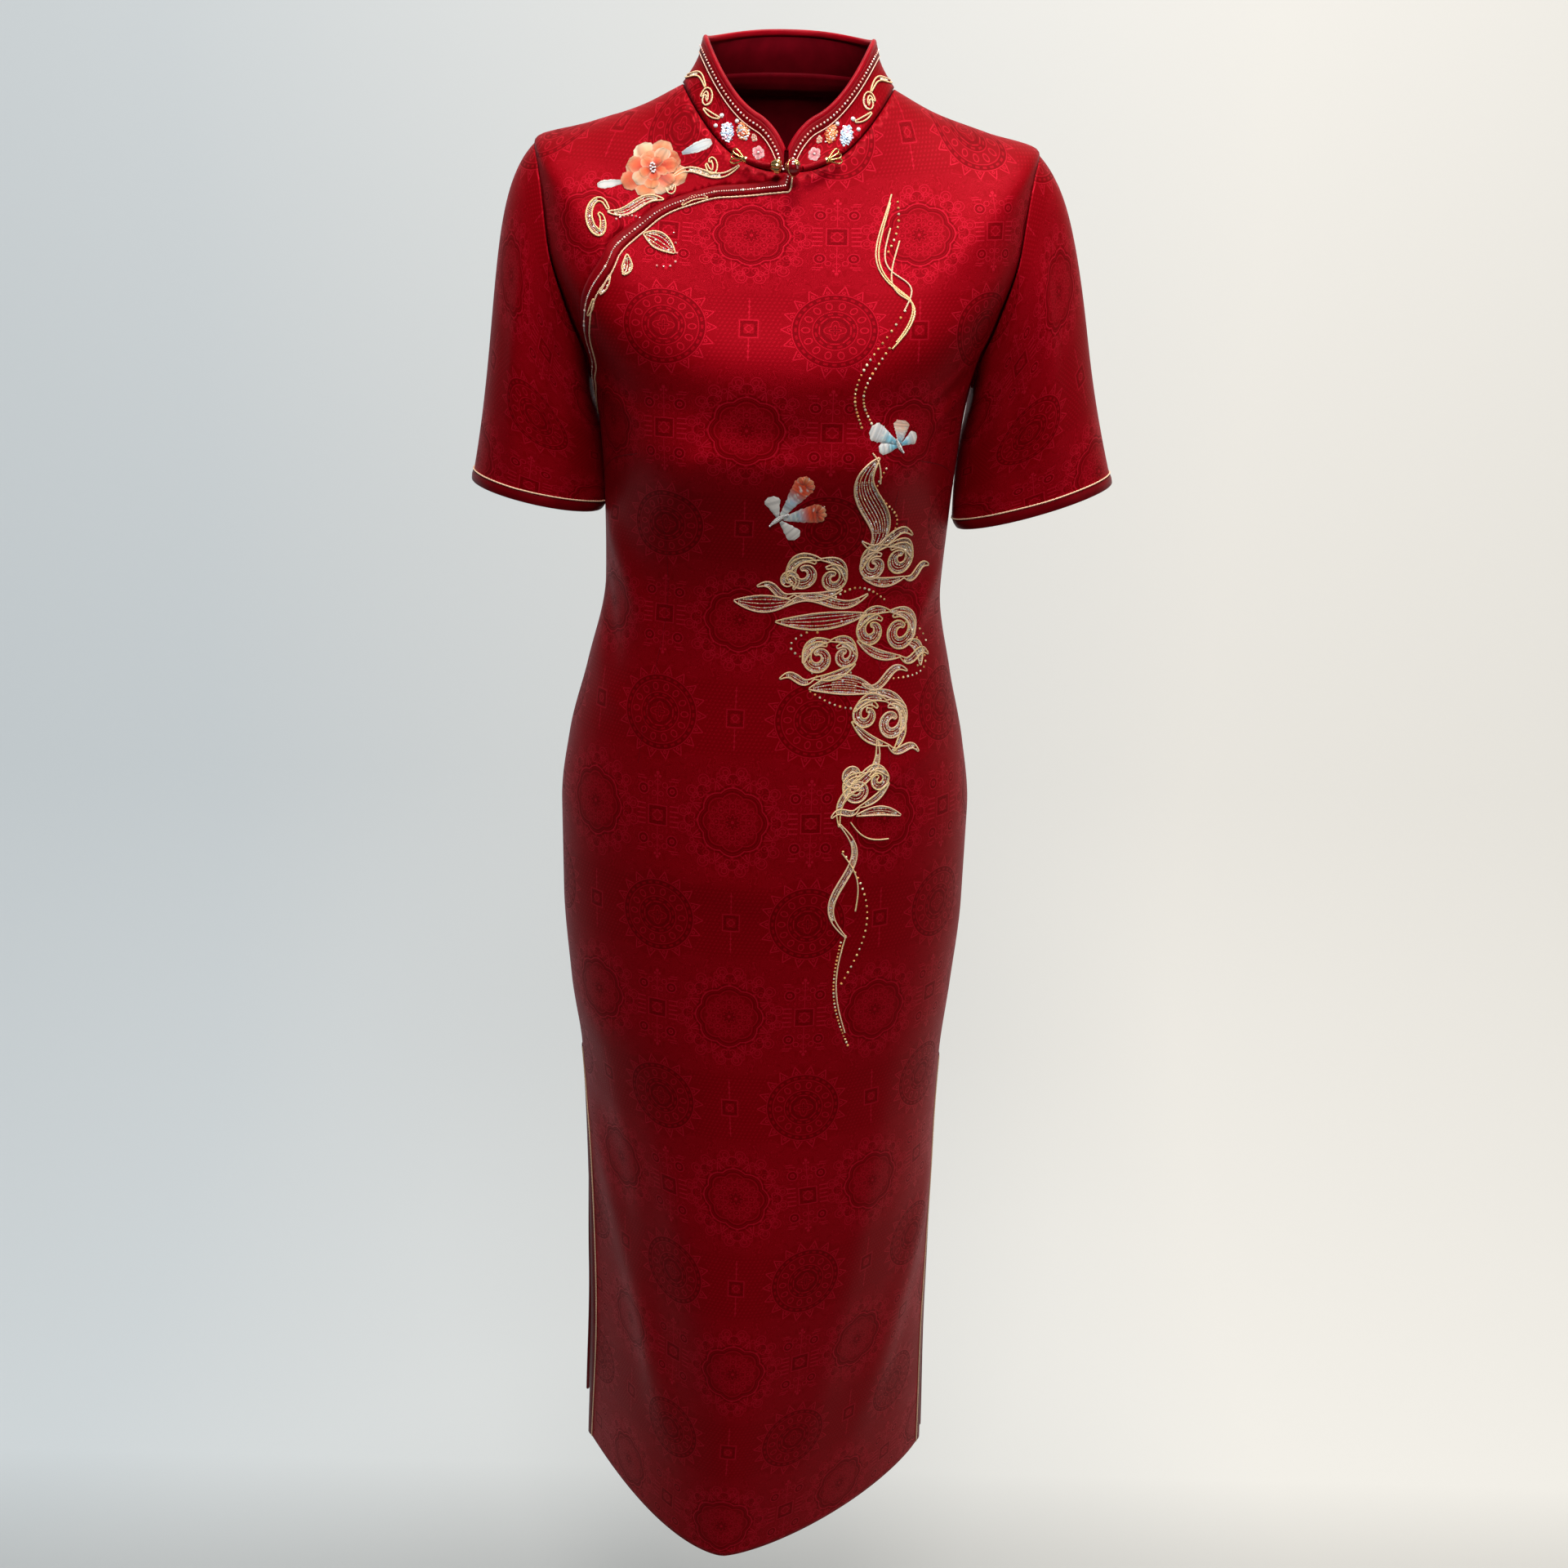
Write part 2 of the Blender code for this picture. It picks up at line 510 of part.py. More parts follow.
def hem_edge(half):
    """Points (across, down) along a panel's hem, between the inner edges of its two slit bindings."""
    right, left = (slit_hem(half, sign)[1][-1, 0] for sign in (-1, 1))
    return np.column_stack([np.linspace(right, left, 21), np.full(21, HEM)])


def front_outlines():
    """The outlines of the main front and of the small shoulder front that it closes over."""
    line = free_edge()
    main_edge = shifted(line, SEAM_GAP / 2 + 0.00005)
    small_edge = shifted(line, -SEAM_GAP / 2 - 0.00005)
    main_edge[0, 1] = small_edge[0, 1] = 0.0
    right_side = side_edge(-1, ARMPIT + EDGE_SIDE_DROP)
    main_edge[-1] = right_side[0] + (0, SEAM_GAP)
    small_edge[-1] = right_side[0] - (0, SEAM_GAP)
    shoulder = np.column_stack([1 - seam_inset(SHOULDER_LEVELS), SHOULDER_LEVELS])
    neck_left = np.column_stack([np.linspace(main_edge[0, 0], shoulder[0, 0], 11)[1:-1], np.zeros(9)])
    main = [
        main_edge[::-1],
        neck_left,
        shoulder[:-1],
        armhole("front", 1)[:-1],
        side_edge(1, ARMPIT),
        hem_edge("front")[::-1],
        right_side[:0:-1],
    ]
    neck_right = np.column_stack([np.linspace(small_edge[0, 0], -shoulder[0, 0], 11)[1:-1], np.zeros(9)])
    small = [small_edge[::-1], neck_right, shoulder[:-1] * (-1, 1), armhole("front", -1)]
    return np.concatenate(main), np.concatenate(small)


def back_outline():
    shoulder = np.column_stack([1 - seam_inset(SHOULDER_LEVELS), SHOULDER_LEVELS])
    neck = np.column_stack([np.linspace(-shoulder[0, 0], shoulder[0, 0], 20)[1:-1], np.zeros(18)])
    left = np.concatenate([shoulder[:-1], armhole("back", 1)[:-1], side_edge(1, ARMPIT)])
    return np.concatenate([neck, left, hem_edge("back")[::-1], left[::-1] * (-1, 1)])


def sleeve_surface(side, sign):
    """Rings of points of a sleeve, from the armhole to the hem, each going once round."""
    spec = dict(zip(SLEEVE_COLUMNS, SLEEVES[side]))
    down_front, up_back = armhole("front", sign), armhole("back", sign)[::-1]
    front_points = FORM.at("front", *down_front.T)
    back_points = FORM.at("back", *up_back.T)
    front_out = FORM.normals("front", *down_front.T)
    back_out = FORM.normals("back", *up_back.T)
    ring = np.concatenate([front_points[:-1], back_points[:-1]])
    out = np.concatenate([front_out[:-1], back_out[:-1]])
    ring[0] = (front_points[0] + back_points[-1]) / 2
    ring[ARMHOLE_POINTS // 2] = (front_points[-1] + back_points[0]) / 2
    turn = np.linspace(0, 2 * math.pi, ARMHOLE_POINTS, endpoint=False)
    topness = ((1 + np.cos(turn)) / 2)[:, None]
    inwards = unit(ring.mean(0) - ring)
    start = ring + out * SLEEVE_CLEARANCE * (1 - topness) ** 1.2 + inwards * SLEEVE_TUCK * topness
    start = start + np.array([sign, 0, 0]) * SLEEVE_SEAM_EASE * np.abs(np.sin(turn))[:, None]
    slope = math.radians(spec["slope_deg"])
    outward = np.array([sign * math.cos(slope), 0, math.sin(slope)])
    along = np.array([sign * math.sin(slope), 0, -math.cos(slope)])
    centre_hem = np.array([spec["x"], spec["y"], spec["z"]])
    end = centre_hem + spec["radius_across"] * np.cos(turn)[:, None] * outward
    end = end - spec["radius_deep"] * np.sin(turn)[:, None] * np.array([0, 1, 0])
    over_arm, under_arm = np.array([sign * 0.74, 0, -0.67]), np.array([sign * 0.05, 0, -1.0])
    leave = unit(topness * over_arm + (1 - topness) * under_arm)
    reach = np.linalg.norm(end - start, axis=1, keepdims=True)
    arrive = unit(topness * along + (1 - topness) * under_arm)
    first, second = start + leave * reach * 0.20, end - arrive * reach * 0.50
    rings = []
    for part in np.linspace(0, 1, SLEEVE_RINGS):
        rings.append(
            start * (1 - part) ** 3 + first * 3 * part * (1 - part) ** 2
            + second * 3 * part**2 * (1 - part) + end * part**3
        )
    return np.array(rings)


def sleeve(side, sign, parent):
    rings = sleeve_surface(side, sign)
    ribbon("sleeve_" + side, rings, CLOTH, "brocade", parent, closed=True)
    edge, above = rings[-1], rings[-2]
    leg = edge + unit(above - edge) * BINDING_WIDTH
    out = unit(np.cross(above - edge, np.roll(edge, -1, axis=0) - np.roll(edge, 1, axis=0))) * sign
    rows = folded_rows(edge, leg, out, CLOTH)
    ribbon("sleeve_binding_" + side, rows, SATIN, "satin", parent, closed=True)


# ---------------------------------------------------------------- collar

def collar_surface():
    """Rings of points from the neck seam to the top edge. Stations run from the centre front round the
    wearer's left, the back and the right, closest together at the two rounded ends."""
    turn = np.linspace(-1, 1, COLLAR_POINTS)
    station = 2 - (2 - 0.014) * (1 - (1 - np.abs(turn)) ** 1.35) * np.sign(-turn)
    ahead = np.where(station > 2, 4 - station, station)
    side = np.where(station > 2, -1, 1)
    front = FORM.at("front", side * np.minimum(ahead, 1), 0.0)
    back = FORM.at("back", side * np.clip(2 - ahead, 0, 1), 0.0)
    base = np.where(ahead[:, None] <= 1, front, back)
    lean_in = base * (*COLLAR_TOP_SHARE, 1) + (0, 0.001, COLLAR_HEIGHT * 0.9)
    up = unit(lean_in - base)
    near_end = np.clip(1 - ahead / COLLAR_ROUNDING, 0, 1)
    grown = COLLAR_END_SHARE + (1 - COLLAR_END_SHARE) * (1 - near_end**2) ** 0.6
    height = (COLLAR_HEIGHT * grown)[:, None]
    inward = unit(base * (-1, -1, 0)) * COLLAR_HOLLOW * (height / COLLAR_HEIGHT) ** 6
    return np.array(
        [
            base + up * (COLLAR_LIFT + (height - COLLAR_LIFT) * part) + inward * math.sin(math.pi * part)
            for part in np.linspace(0, 1, COLLAR_RINGS)
        ]
    )


def collar(parent):
    rings = collar_surface()
    ribbon("collar", rings, COLLAR_WALL, "brocade", parent)
    edge = rings[-1]
    height = np.linalg.norm(edge - rings[0], axis=1, keepdims=True)
    leg = edge + unit(rings[-2] - edge) * np.minimum(COLLAR_BINDING_WIDTH, height - 0.0005)
    out = unit(np.cross(np.gradient(rings, axis=1), np.gradient(rings, axis=0)))[-1]
    ribbon("collar_binding", folded_rows(edge, leg, out, COLLAR_WALL), SATIN, "satin", parent)


# ---------------------------------------------------------------- bindings on the body

def placket_band(parent):
    """The satin band that lies along the main front's free edge, just clear of the cloth."""
    rows = np.array(band_rows())
    normals = FORM.normals("front", rows[..., 0], rows[..., 1])
    points = FORM.at("front", rows[..., 0], rows[..., 1]) + normals * (CLOTH / 2 + LEG_GAP + SATIN / 2)
    ribbon("placket_band", points, SATIN, "satin", parent)


def slit_binding(half, side, sign, parent):
    """The folded binding on one panel's slit edge."""
    outer, inner = slit_hem(half, sign)
    rows = folded_rows(FORM.at(half, *outer.T), FORM.at(half, *inner.T), FORM.normals(half, *inner.T), CLOTH)
    ribbon(f"slit_binding_{half}_{side}", rows, SATIN, "satin", parent)


# ---------------------------------------------------------------- fastening

def before_neck(x, z, stand_off):
    """A point this far in front of the neckline, at this place in the front view."""
    across = FORM.locate("front", x, FORM.at("front", x / FORM.level["half"][0], 0.0)[2])[0]
    return np.array([x, FORM.at("front", across, 0.0)[1] - stand_off, z])


def cord(side, run, parent):
    """One arm of the knot fastening, as a satin cord that lies off the cloth."""
    curve = bpy.data.curves.new("knot_cord_" + side, "CURVE")
    curve.dimensions = "3D"
    curve.bevel_depth = CORD_RADIUS
    curve.bevel_resolution = 2
    curve.use_fill_caps = True
    spline = curve.splines.new("POLY")
    smooth = spaced([before_neck(x, z, CORD_STAND_OFF) for x, z in run], 9)
    spline.points.add(len(smooth) - 1)
    for target, point in zip(spline.points, smooth):
        target.co = (*point, 1)
    new_object("knot_cord_" + side, curve, "satin", parent)
    return smooth


def turned(name, start, direction, radii, length, parent, flatness=1.0):
    """A small turned gilt solid with evenly spaced radii along its axis. The flatness is its depth, from
    front to back, over its height."""
    heights = np.linspace(0, length, len(radii))
    profile = [(0, 0, length), *((r, 0, z) for r, z in zip(radii[::-1], heights[::-1])), (0, 0, 0)]
    mesh = bpy.data.meshes.new(name)
    mesh.from_pydata(profile, [(i, i + 1) for i in range(len(profile) - 1)], [])
    made = new_object(name, mesh, "gilt", parent)
    axis = Vector(direction).normalized()
    made.matrix_world = Matrix.LocRotScale(Vector(start), axis.to_track_quat("Z", "Y"), (flatness, 1, 1))
    screw = made.modifiers.new("turn", "SCREW")
    screw.steps = screw.render_steps = 14
    screw.use_merge_vertices = True
    screw.merge_threshold = 0.00001
    screw.use_smooth_shade = True
    return made


def fastening(parent):
    """The ball button at the neck, its two cords, their gilt ends and the gilt bell beside the ball."""
    bpy.ops.mesh.primitive_uv_sphere_add(segments=16, ring_count=10, radius=BUTTON_RADIUS)
    primitive = bpy.context.object
    ball = new_object("knot_button", primitive.data, "enamel", parent)
    bpy.data.objects.remove(primitive)
    ball.location = before_neck(*BUTTON_AT, BUTTON_STAND_OFF)
    ball.data.shade_smooth()
    for side, run in CORD_RUNS.items():
        smooth = cord(side, run, parent)
        outward = unit(smooth[-1] - smooth[-2])
        start = smooth[-1] + outward * SEAM_GAP
        turned("knot_cap_" + side, start, outward, CAP_RADII, CAP_LENGTH, parent, CAP_FLATNESS)
        if side == "right":
            inward = unit(smooth[0] - smooth[1])
            turned("knot_bell", smooth[0] + inward * SEAM_GAP, inward, BELL_RADII, BELL_LENGTH, parent)


# ---------------------------------------------------------------- the dress

def clear_scene():
    for obj in list(bpy.data.objects):
        bpy.data.objects.remove(obj)


clear_scene()
DRESS = bpy.data.collections.new("cheongsam")
bpy.context.scene.collection.children.link(DRESS)


def main():
    frame = bpy.data.objects.new("dress_frame", None)
    DRESS.objects.link(frame)
    main_front, small_front = front_outlines()
    slits = {half: [slit_hem(half, sign)[1] for sign in (1, -1)] for half in ("front", "back")}
    panel("front_main", "front", main_front, frame, [band_rows()[2], *slits["front"]])
    panel("front_shoulder", "front", small_front, frame)
    panel("back", "back", back_outline(), frame, slits["back"])
    for side, sign in (("left", 1), ("right", -1)):
        sleeve(side, sign, frame)
        for half in ("front", "back"):
            slit_binding(half, side, sign, frame)
    collar(frame)
    placket_band(frame)
    fastening(frame)


main()
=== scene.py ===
"""The looks of the cheongsam: dense cloth on the dress's form, woven brocade, satin bindings, gold cords,
embroidery, beads and the knot fastening, in a plain studio. Metres, +Z up, the front faces -Y.

The form and its tables are the ones the solids are built from. Flat places on the cloth are (u, v): the
distance across from the centre line and the distance down from the neckline.
"""

import json
import math

import bpy
import numpy as np
from mathutils import Matrix, Vector
from mathutils.geometry import delaunay_2d_cdt
from mathutils.kdtree import KDTree

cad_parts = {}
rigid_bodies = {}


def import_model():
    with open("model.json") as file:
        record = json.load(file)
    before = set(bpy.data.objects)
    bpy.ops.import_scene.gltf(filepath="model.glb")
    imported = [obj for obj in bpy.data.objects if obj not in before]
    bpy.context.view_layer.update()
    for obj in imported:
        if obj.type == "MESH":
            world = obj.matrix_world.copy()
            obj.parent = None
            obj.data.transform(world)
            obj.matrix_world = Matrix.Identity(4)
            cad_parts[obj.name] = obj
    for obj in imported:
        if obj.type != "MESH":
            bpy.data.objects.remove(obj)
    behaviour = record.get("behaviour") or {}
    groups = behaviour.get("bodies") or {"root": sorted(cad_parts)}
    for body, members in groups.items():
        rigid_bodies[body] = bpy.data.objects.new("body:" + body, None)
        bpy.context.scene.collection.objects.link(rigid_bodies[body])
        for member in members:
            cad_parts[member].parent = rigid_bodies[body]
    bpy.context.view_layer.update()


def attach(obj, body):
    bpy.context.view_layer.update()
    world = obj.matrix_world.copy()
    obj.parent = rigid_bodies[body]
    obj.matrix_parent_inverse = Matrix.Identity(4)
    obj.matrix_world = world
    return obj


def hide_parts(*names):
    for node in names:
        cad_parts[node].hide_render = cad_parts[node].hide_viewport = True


for startup_object in list(bpy.data.objects):
    bpy.data.objects.remove(startup_object)
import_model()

# ---------------------------------------------------------------- sizes (metres)

SHELL = 0.0014  # the cloth that shows, in the middle of its solid's wall
COLLAR_SHELL = 0.0022
SATIN_SHELL = 0.0005
SEAM_GAP = 0.0003  # between neighbouring pieces, as in the solids
SEAM_LEAN = 0.00005
SATIN = 0.0010
CLOTH_STEP = 0.0046  # mesh spacing on the cloth
EDGE_STEP = 0.0036  # and along its edges

SHOULDER_TIP = 0.115  # the levels are distances down the form
SHOULDER_LEVELS = (0.0, 0.023, 0.046, 0.069, 0.092, SHOULDER_TIP)
ARMPIT = 0.276
SLIT_TOP = 0.852
HEM = 1.280

ARMHOLE_CUT_FRONT = 0.23  # how far the armhole bites into each half of the form, in shares of a half's width
ARMHOLE_CUT_BACK = 0.19
ARMHOLE_POINTS = 96

SLEEVE_RINGS = 64
SLEEVE_CLEARANCE = 0.0030  # between the side of the body and the sleeve under the arm
SLEEVE_TUCK = 0.0011  # of the sleeve's cap inside the armhole's edge
SLEEVE_SEAM_EASE = 0.0012

COLLAR_HEIGHT = 0.0360
COLLAR_END_STATION = 0.014  # how far round from the centre front its two ends stop
COLLAR_END_SHARE = 0.20  # what is left of the height where the two ends meet
COLLAR_ROUNDING = 0.21  # how far across from the centre front the collar reaches its full height
COLLAR_TOP_SHARE = (0.79, 0.82)  # of the neckline's width and depth
COLLAR_HOLLOW = 0.0025  # how far its side curves in between the neck seam and the top
COLLAR_LIFT = 0.0015  # of the collar's lower edge over the neckline
COLLAR_RINGS = 12
COLLAR_POINTS = 181

BINDING_WIDTH = 0.0065
BAND_ON, BAND_OVER = 0.0066, 0.0012  # the closing's band: on the main front, and past its edge

SIDE_STEP = 0.026  # mesh spacing along the side seams and slits
HALF_GIRTH = 0.400  # a mean width of one half of the form, which makes the flat outlines true to size

# A row for each level of the form. half is the half width, the y and z columns are the places of the side
# seam, of the centre front and of the centre back. bow and the roots of the two sides shape the front's
# curve from side to side (2 and 0.5 give an ellipse, 1.4 and 1 a rounded V), and lean moves its foremost
# line sideways and fills out the other flank. front_open, back_open and flare part the two panels' edges at
# the wearer's right slit.
FORM_COLUMNS = (
    "down", "half", "x_mid", "y_side", "z_side", "y_front", "z_front", "bow", "root_right", "root_left",
    "lean", "y_back", "z_back", "back_bow", "front_open", "back_open", "flare",
)
FORM_ROWS = (
    # neckline, then the shoulder in three steps
    (0.0, 0.0770, 0.0, 0.0, 0.003, -0.0660, -0.058, 2.0, 0.5, 0.5, 0.0, 0.057, 0.011, 2.0, 0, 0, 0),
    (0.035, 0.1085, 0.0, 0.003, -0.012, -0.0790, -0.090, 2.1, 0.5, 0.5, 0.0, 0.077, -0.017, 2.1, 0, 0, 0),
    (0.075, 0.1470, 0.0, 0.005, -0.024, -0.0930, -0.125, 2.2, 0.5, 0.5, 0.0, 0.092, -0.052, 2.2, 0, 0, 0),
    (0.115, 0.1860, 0.0, 0.006, -0.037, -0.1040, -0.156, 2.3, 0.5, 0.5, 0.0, 0.101, -0.088, 2.3, 0, 0, 0),
    # beside the armhole
    (0.160, 0.1835, 0.0, 0.004, -0.085, -0.1120, -0.182, 2.4, 0.5, 0.5, 0.0, 0.105, -0.126, 2.4, 0, 0, 0),
    (0.210, 0.1690, 0.0, 0.002, -0.138, -0.1190, -0.206, 2.5, 0.5, 0.5, 0.0, 0.106, -0.166, 2.5, 0, 0, 0),
    (0.270, 0.1460, 0.0, 0.0, -0.200, -0.1240, -0.230, 2.5, 0.5, 0.5, 0.0, 0.102, -0.212, 2.4, 0, 0, 0),
    # bust, under the bust, waist
    (0.315, 0.1390, 0.0, -0.002, -0.245, -0.1250, -0.252, 2.4, 0.5, 0.5, 0.0, 0.096, -0.248, 2.3, 0, 0, 0),
    (0.370, 0.1355, -0.001, 0.0, -0.300, -0.1080, -0.300, 2.2, 0.5, 0.5, 0.0, 0.087, -0.300, 2.2, 0, 0, 0),
    (0.431, 0.1340, -0.003, 0.0, -0.361, -0.0930, -0.361, 2.1, 0.5, 0.5, 0.0, 0.080, -0.361, 2.1, 0, 0, 0),
    # hip
    (0.500, 0.1475, -0.005, 0.002, -0.430, -0.1030, -0.430, 2.1, 0.5, 0.5, 0.0, 0.092, -0.430, 2.1, 0, 0, 0),
    (0.560, 0.1625, -0.006, 0.003, -0.490, -0.1110, -0.490, 2.1, 0.5, 0.5, 0.0, 0.109, -0.490, 2.1, 0, 0, 0),
    (0.620, 0.1705, -0.006, 0.004, -0.550, -0.1150, -0.550, 2.1, 0.5, 0.5, 0.0, 0.121, -0.550, 2.1, 0, 0, 0),
    (0.700, 0.1705, -0.006, 0.004, -0.630, -0.1170, -0.630, 2.1, 0.5, 0.5, 0.0, 0.120, -0.630, 2.1, 0, 0, 0),
    (0.780, 0.1655, -0.006, 0.004, -0.710, -0.1200, -0.710, 2.1, 0.5, 0.5, -0.002, 0.109, -0.710, 2.1,
     0, 0, 0),
    # skirt beside the slits
    (0.850, 0.1590, -0.005, 0.004, -0.780, -0.1250, -0.780, 2.0, 0.62, 0.52, -0.005, 0.102, -0.780, 2.1,
     0, 0, 0),
    (0.960, 0.1555, -0.003, 0.004, -0.890, -0.1350, -0.890, 1.9, 0.95, 0.58, -0.011, 0.098, -0.890, 2.1,
     -0.018, 0.012, 0.003),
    (1.110, 0.1560, -0.002, 0.004, -1.041, -0.1460, -1.041, 1.65, 1.15, 0.72, -0.019, 0.099, -1.041, 2.1,
     -0.020, 0.032, 0.008),
    (1.280, 0.1620, -0.003, 0.006, -1.212, -0.1520, -1.212, 1.48, 1.00, 0.82, -0.024, 0.100, -1.212, 2.1,
     -0.006, 0.052, 0.009),
)
LEFT_SLIT_SHARE = 0.25  # of the openings and the flare, at the wearer's left slit
BUST_LINE = 0.260  # below the neck point: above it the warp runs with the form's own length
WARP_EASE = 1.05  # warp for each length of the form over the shoulders and the back
WARP_AT = (  # (height below the neck point, warp in cm) down the centre line
    (0.06, 5.5), (0.16, 19.0), (0.30, 35.5), (0.45, 52.5), (0.61, 68.5), (0.86, 94.0), (1.02, 110.0),
    (1.30, 139.0),
)
WARP_FROM = 0.058
FORM_LEVELS = 641  # samples of the form's surface, down and across
FORM_STATIONS = 321

# Soft shapes that stand out from the form: a half ("front" or "back"), the centre as across and down, the
# radii of the shape across (a share) and down (metres), and its height.
SWELL_COLUMNS = ("half", "across", "down", "wide", "long", "height")
SWELLS = (
    ("front", -0.38, 0.305, 0.24, 0.050, 0.0090),  # bust cups
    ("front", 0.38, 0.305, 0.24, 0.050, 0.0090),
    ("back", -0.42, 0.200, 0.30, 0.080, 0.0040),  # shoulder blades
    ("back", 0.42, 0.200, 0.30, 0.080, 0.0040),
    ("back", -0.36, 0.620, 0.30, 0.080, 0.0050),  # seat
    ("back", 0.36, 0.620, 0.30, 0.080, 0.0050),
)

# The largest folds: straight soft ridges on the form, from one point (across, down) to another.
FOLD_COLUMNS = ("half", "across_0", "down_0", "across_1", "down_1", "width", "height")
FOLDS = (
    ("front", -0.86, 0.360, -0.50, 0.470, 0.014, 0.0030),  # drag lines at the waist
    ("front", -0.92, 0.420, -0.62, 0.500, 0.012, -0.0022),
    ("front", 0.88, 0.400, 0.56, 0.470, 0.013, 0.0024),
    ("front", -0.90, 0.900, -0.35, 1.200, 0.020, 0.0036),  # long folds from the slit towards the knee
    ("front", 0.92, 0.930, 0.50, 1.210, 0.020, 0.0030),
    ("front", -0.45, 0.860, -0.15, 1.120, 0.022, 0.0020),
    ("back", -0.80, 0.400, -0.30, 0.440, 0.013, 0.0030),  # the small of the back
    ("back", 0.78, 0.390, 0.26, 0.445, 0.013, 0.0030),
    ("back", -0.55, 0.430, 0.50, 0.462, 0.012, 0.0024),
    ("back", -0.70, 0.900, -0.40, 1.260, 0.026, 0.0040),
    ("back", 0.62, 0.930, 0.34, 1.260, 0.024, 0.0034),
)

# Smaller creases, which only this script draws, in the same columns.
CREASES = (
    ("front", -1.02, 0.170, 1.02, 0.172, 0.056, 0.0068),  # fuller over the bust, slacker under it
    ("front", -0.86, 0.288, 0.86, 0.290, 0.048, -0.0056),
    ("front", -0.20, 0.300, -0.58, 0.400, 0.010, 0.0018),  # from the bust darts towards the waist
    ("front", 0.28, 0.305, 0.60, 0.405, 0.010, 0.0014),
    ("front", -0.86, 0.262, -0.48, 0.285, 0.009, 0.0016),  # from the armpits
    ("front", 0.86, 0.258, 0.52, 0.290, 0.009, 0.0018),
    ("front", 0.80, 0.225, 0.50, 0.262, 0.008, 0.0012),
    ("front", -0.78, 0.505, -0.28, 0.540, 0.011, 0.0012),  # across the belly and hips
    ("front", 0.74, 0.540, 0.24, 0.585, 0.012, 0.0012),
    ("front", -0.50, 0.640, 0.20, 0.665, 0.016, 0.0010),
    ("front", 0.52, 0.800, 0.22, 1.220, 0.018, 0.0020),
    ("front", -0.06, 0.920, -0.02, 1.250, 0.020, 0.0016),
    ("front", -0.66, 0.760, -0.50, 1.180, 0.016, 0.0014),
    ("back", -0.75, 0.250, -0.35, 0.300, 0.010, 0.0016),
    ("back", 0.76, 0.245, 0.36, 0.310, 0.010, 0.0018),
    ("back", 0.10, 0.800, 0.04, 1.240, 0.020, 0.0020),
    ("back", -0.30, 0.560, 0.34, 0.575, 0.014, 0.0012),
)

# The main front's free edge, as places across and up in the front view: down from the neck, round a
# corner, then a long S to the side seam under the wearer's right arm.
EDGE_DROP = ((0.0000, -0.0585), (-0.0012, -0.0618), (-0.0045, -0.0645))
EDGE_SWEEP = (
    (-0.0130, -0.0655), (-0.0450, -0.0685), (-0.0720, -0.0755), (-0.0950, -0.0860), (-0.1120, -0.0990),
    (-0.1250, -0.1140), (-0.1365, -0.1330), (-0.1430, -0.1530), (-0.1435, -0.1700), (-0.1400, -0.1900),
)
CORNER_MIDDLE = (-0.0042, -0.0612)  # what the corner turns round
EDGE_SIDE_DROP = 0.022  # how far below the armpit it meets the side seam

# Each sleeve: the middle of its hem in the front view, the hem's slope, its two radii and the forward place.
SLEEVE_COLUMNS = ("x", "y", "z", "slope_deg", "radius_across", "radius_deep")
SLEEVES = {
    "left": (0.2015, 0.0000, -0.2945, 18.0, 0.0620, 0.0475),
    "right": (-0.1910, 0.0000, -0.2950, 12.5, 0.0510, 0.0535),
}

# The knot fastening at the neck, as places in the front view and stand-offs from the neckline's depth.
BUTTON_AT = (0.0050, -0.0545)
BUTTON_RADIUS = 0.0059
BUTTON_STAND_OFF = 0.0102
CORD_RADIUS = 0.0021
CORD_STAND_OFF = 0.0064
CORD_RUNS = {
    "left": ((0.0122, -0.0548), (0.0180, -0.0532), (0.0235, -0.0510), (0.0290, -0.0488)),
    "right": ((-0.0108, -0.0534), (-0.0165, -0.0528), (-0.0225, -0.0514), (-0.0290, -0.0496)),
}
CAP_LENGTH = 0.0118
BELL_LENGTH = 0.0080
BELL_RADII = (0.0026, 0.0040, 0.0046, 0.0034)

# What only this script draws: the cords beside the bindings, the collar's rolled edge, the sleeves' folds.
EDGE_CORD_RADIUS = 0.00058
EDGE_CORD_LIFT = EDGE_CORD_RADIUS * 0.8  # of its middle over the cloth
CORD_BESIDE = 0.0011  # from a binding's inner edge to the middle of its gold cord
COLLAR_ROLL = 0.0030
COLLAR_BAND = 0.0070  # the stitched band under the rolled edge
SLEEVE_REPEAT_START = 0.040  # where the woven repeat starts on a sleeve
SLEEVE_FOLD_COLUMNS = ("turn_deg", "lean", "from", "to", "wide", "height")
SLEEVE_FOLDS = {
    "left": (
        (180, 0.0, 0.20, 1.40, 0.60, 0.0036), (60, 0.5, 0.15, 0.95, 0.20, 0.0022),
        (100, 0.3, 0.3, 0.95, 0.16, -0.0020), (20, -0.2, 0.1, 0.7, 0.25, 0.0015),
        (255, 0.2, 0.25, 0.95, 0.20, 0.0024), (300, -0.3, 0.2, 0.9, 0.2, -0.0018),
    ),
    "right": (
        (180, 0.0, 0.20, 1.40, 0.60, 0.0036), (58, 0.4, 0.2, 0.95, 0.22, 0.0020),
        (100, 0.2, 0.2, 0.9, 0.18, -0.0022), (330, 0.2, 0.1, 0.7, 0.25, 0.0014),
        (250, -0.2, 0.3, 0.95, 0.22, 0.0022), (205, 0.2, 0.25, 0.9, 0.18, -0.0018),
    ),
}


# ---------------------------------------------------------------- the embroidery's motifs

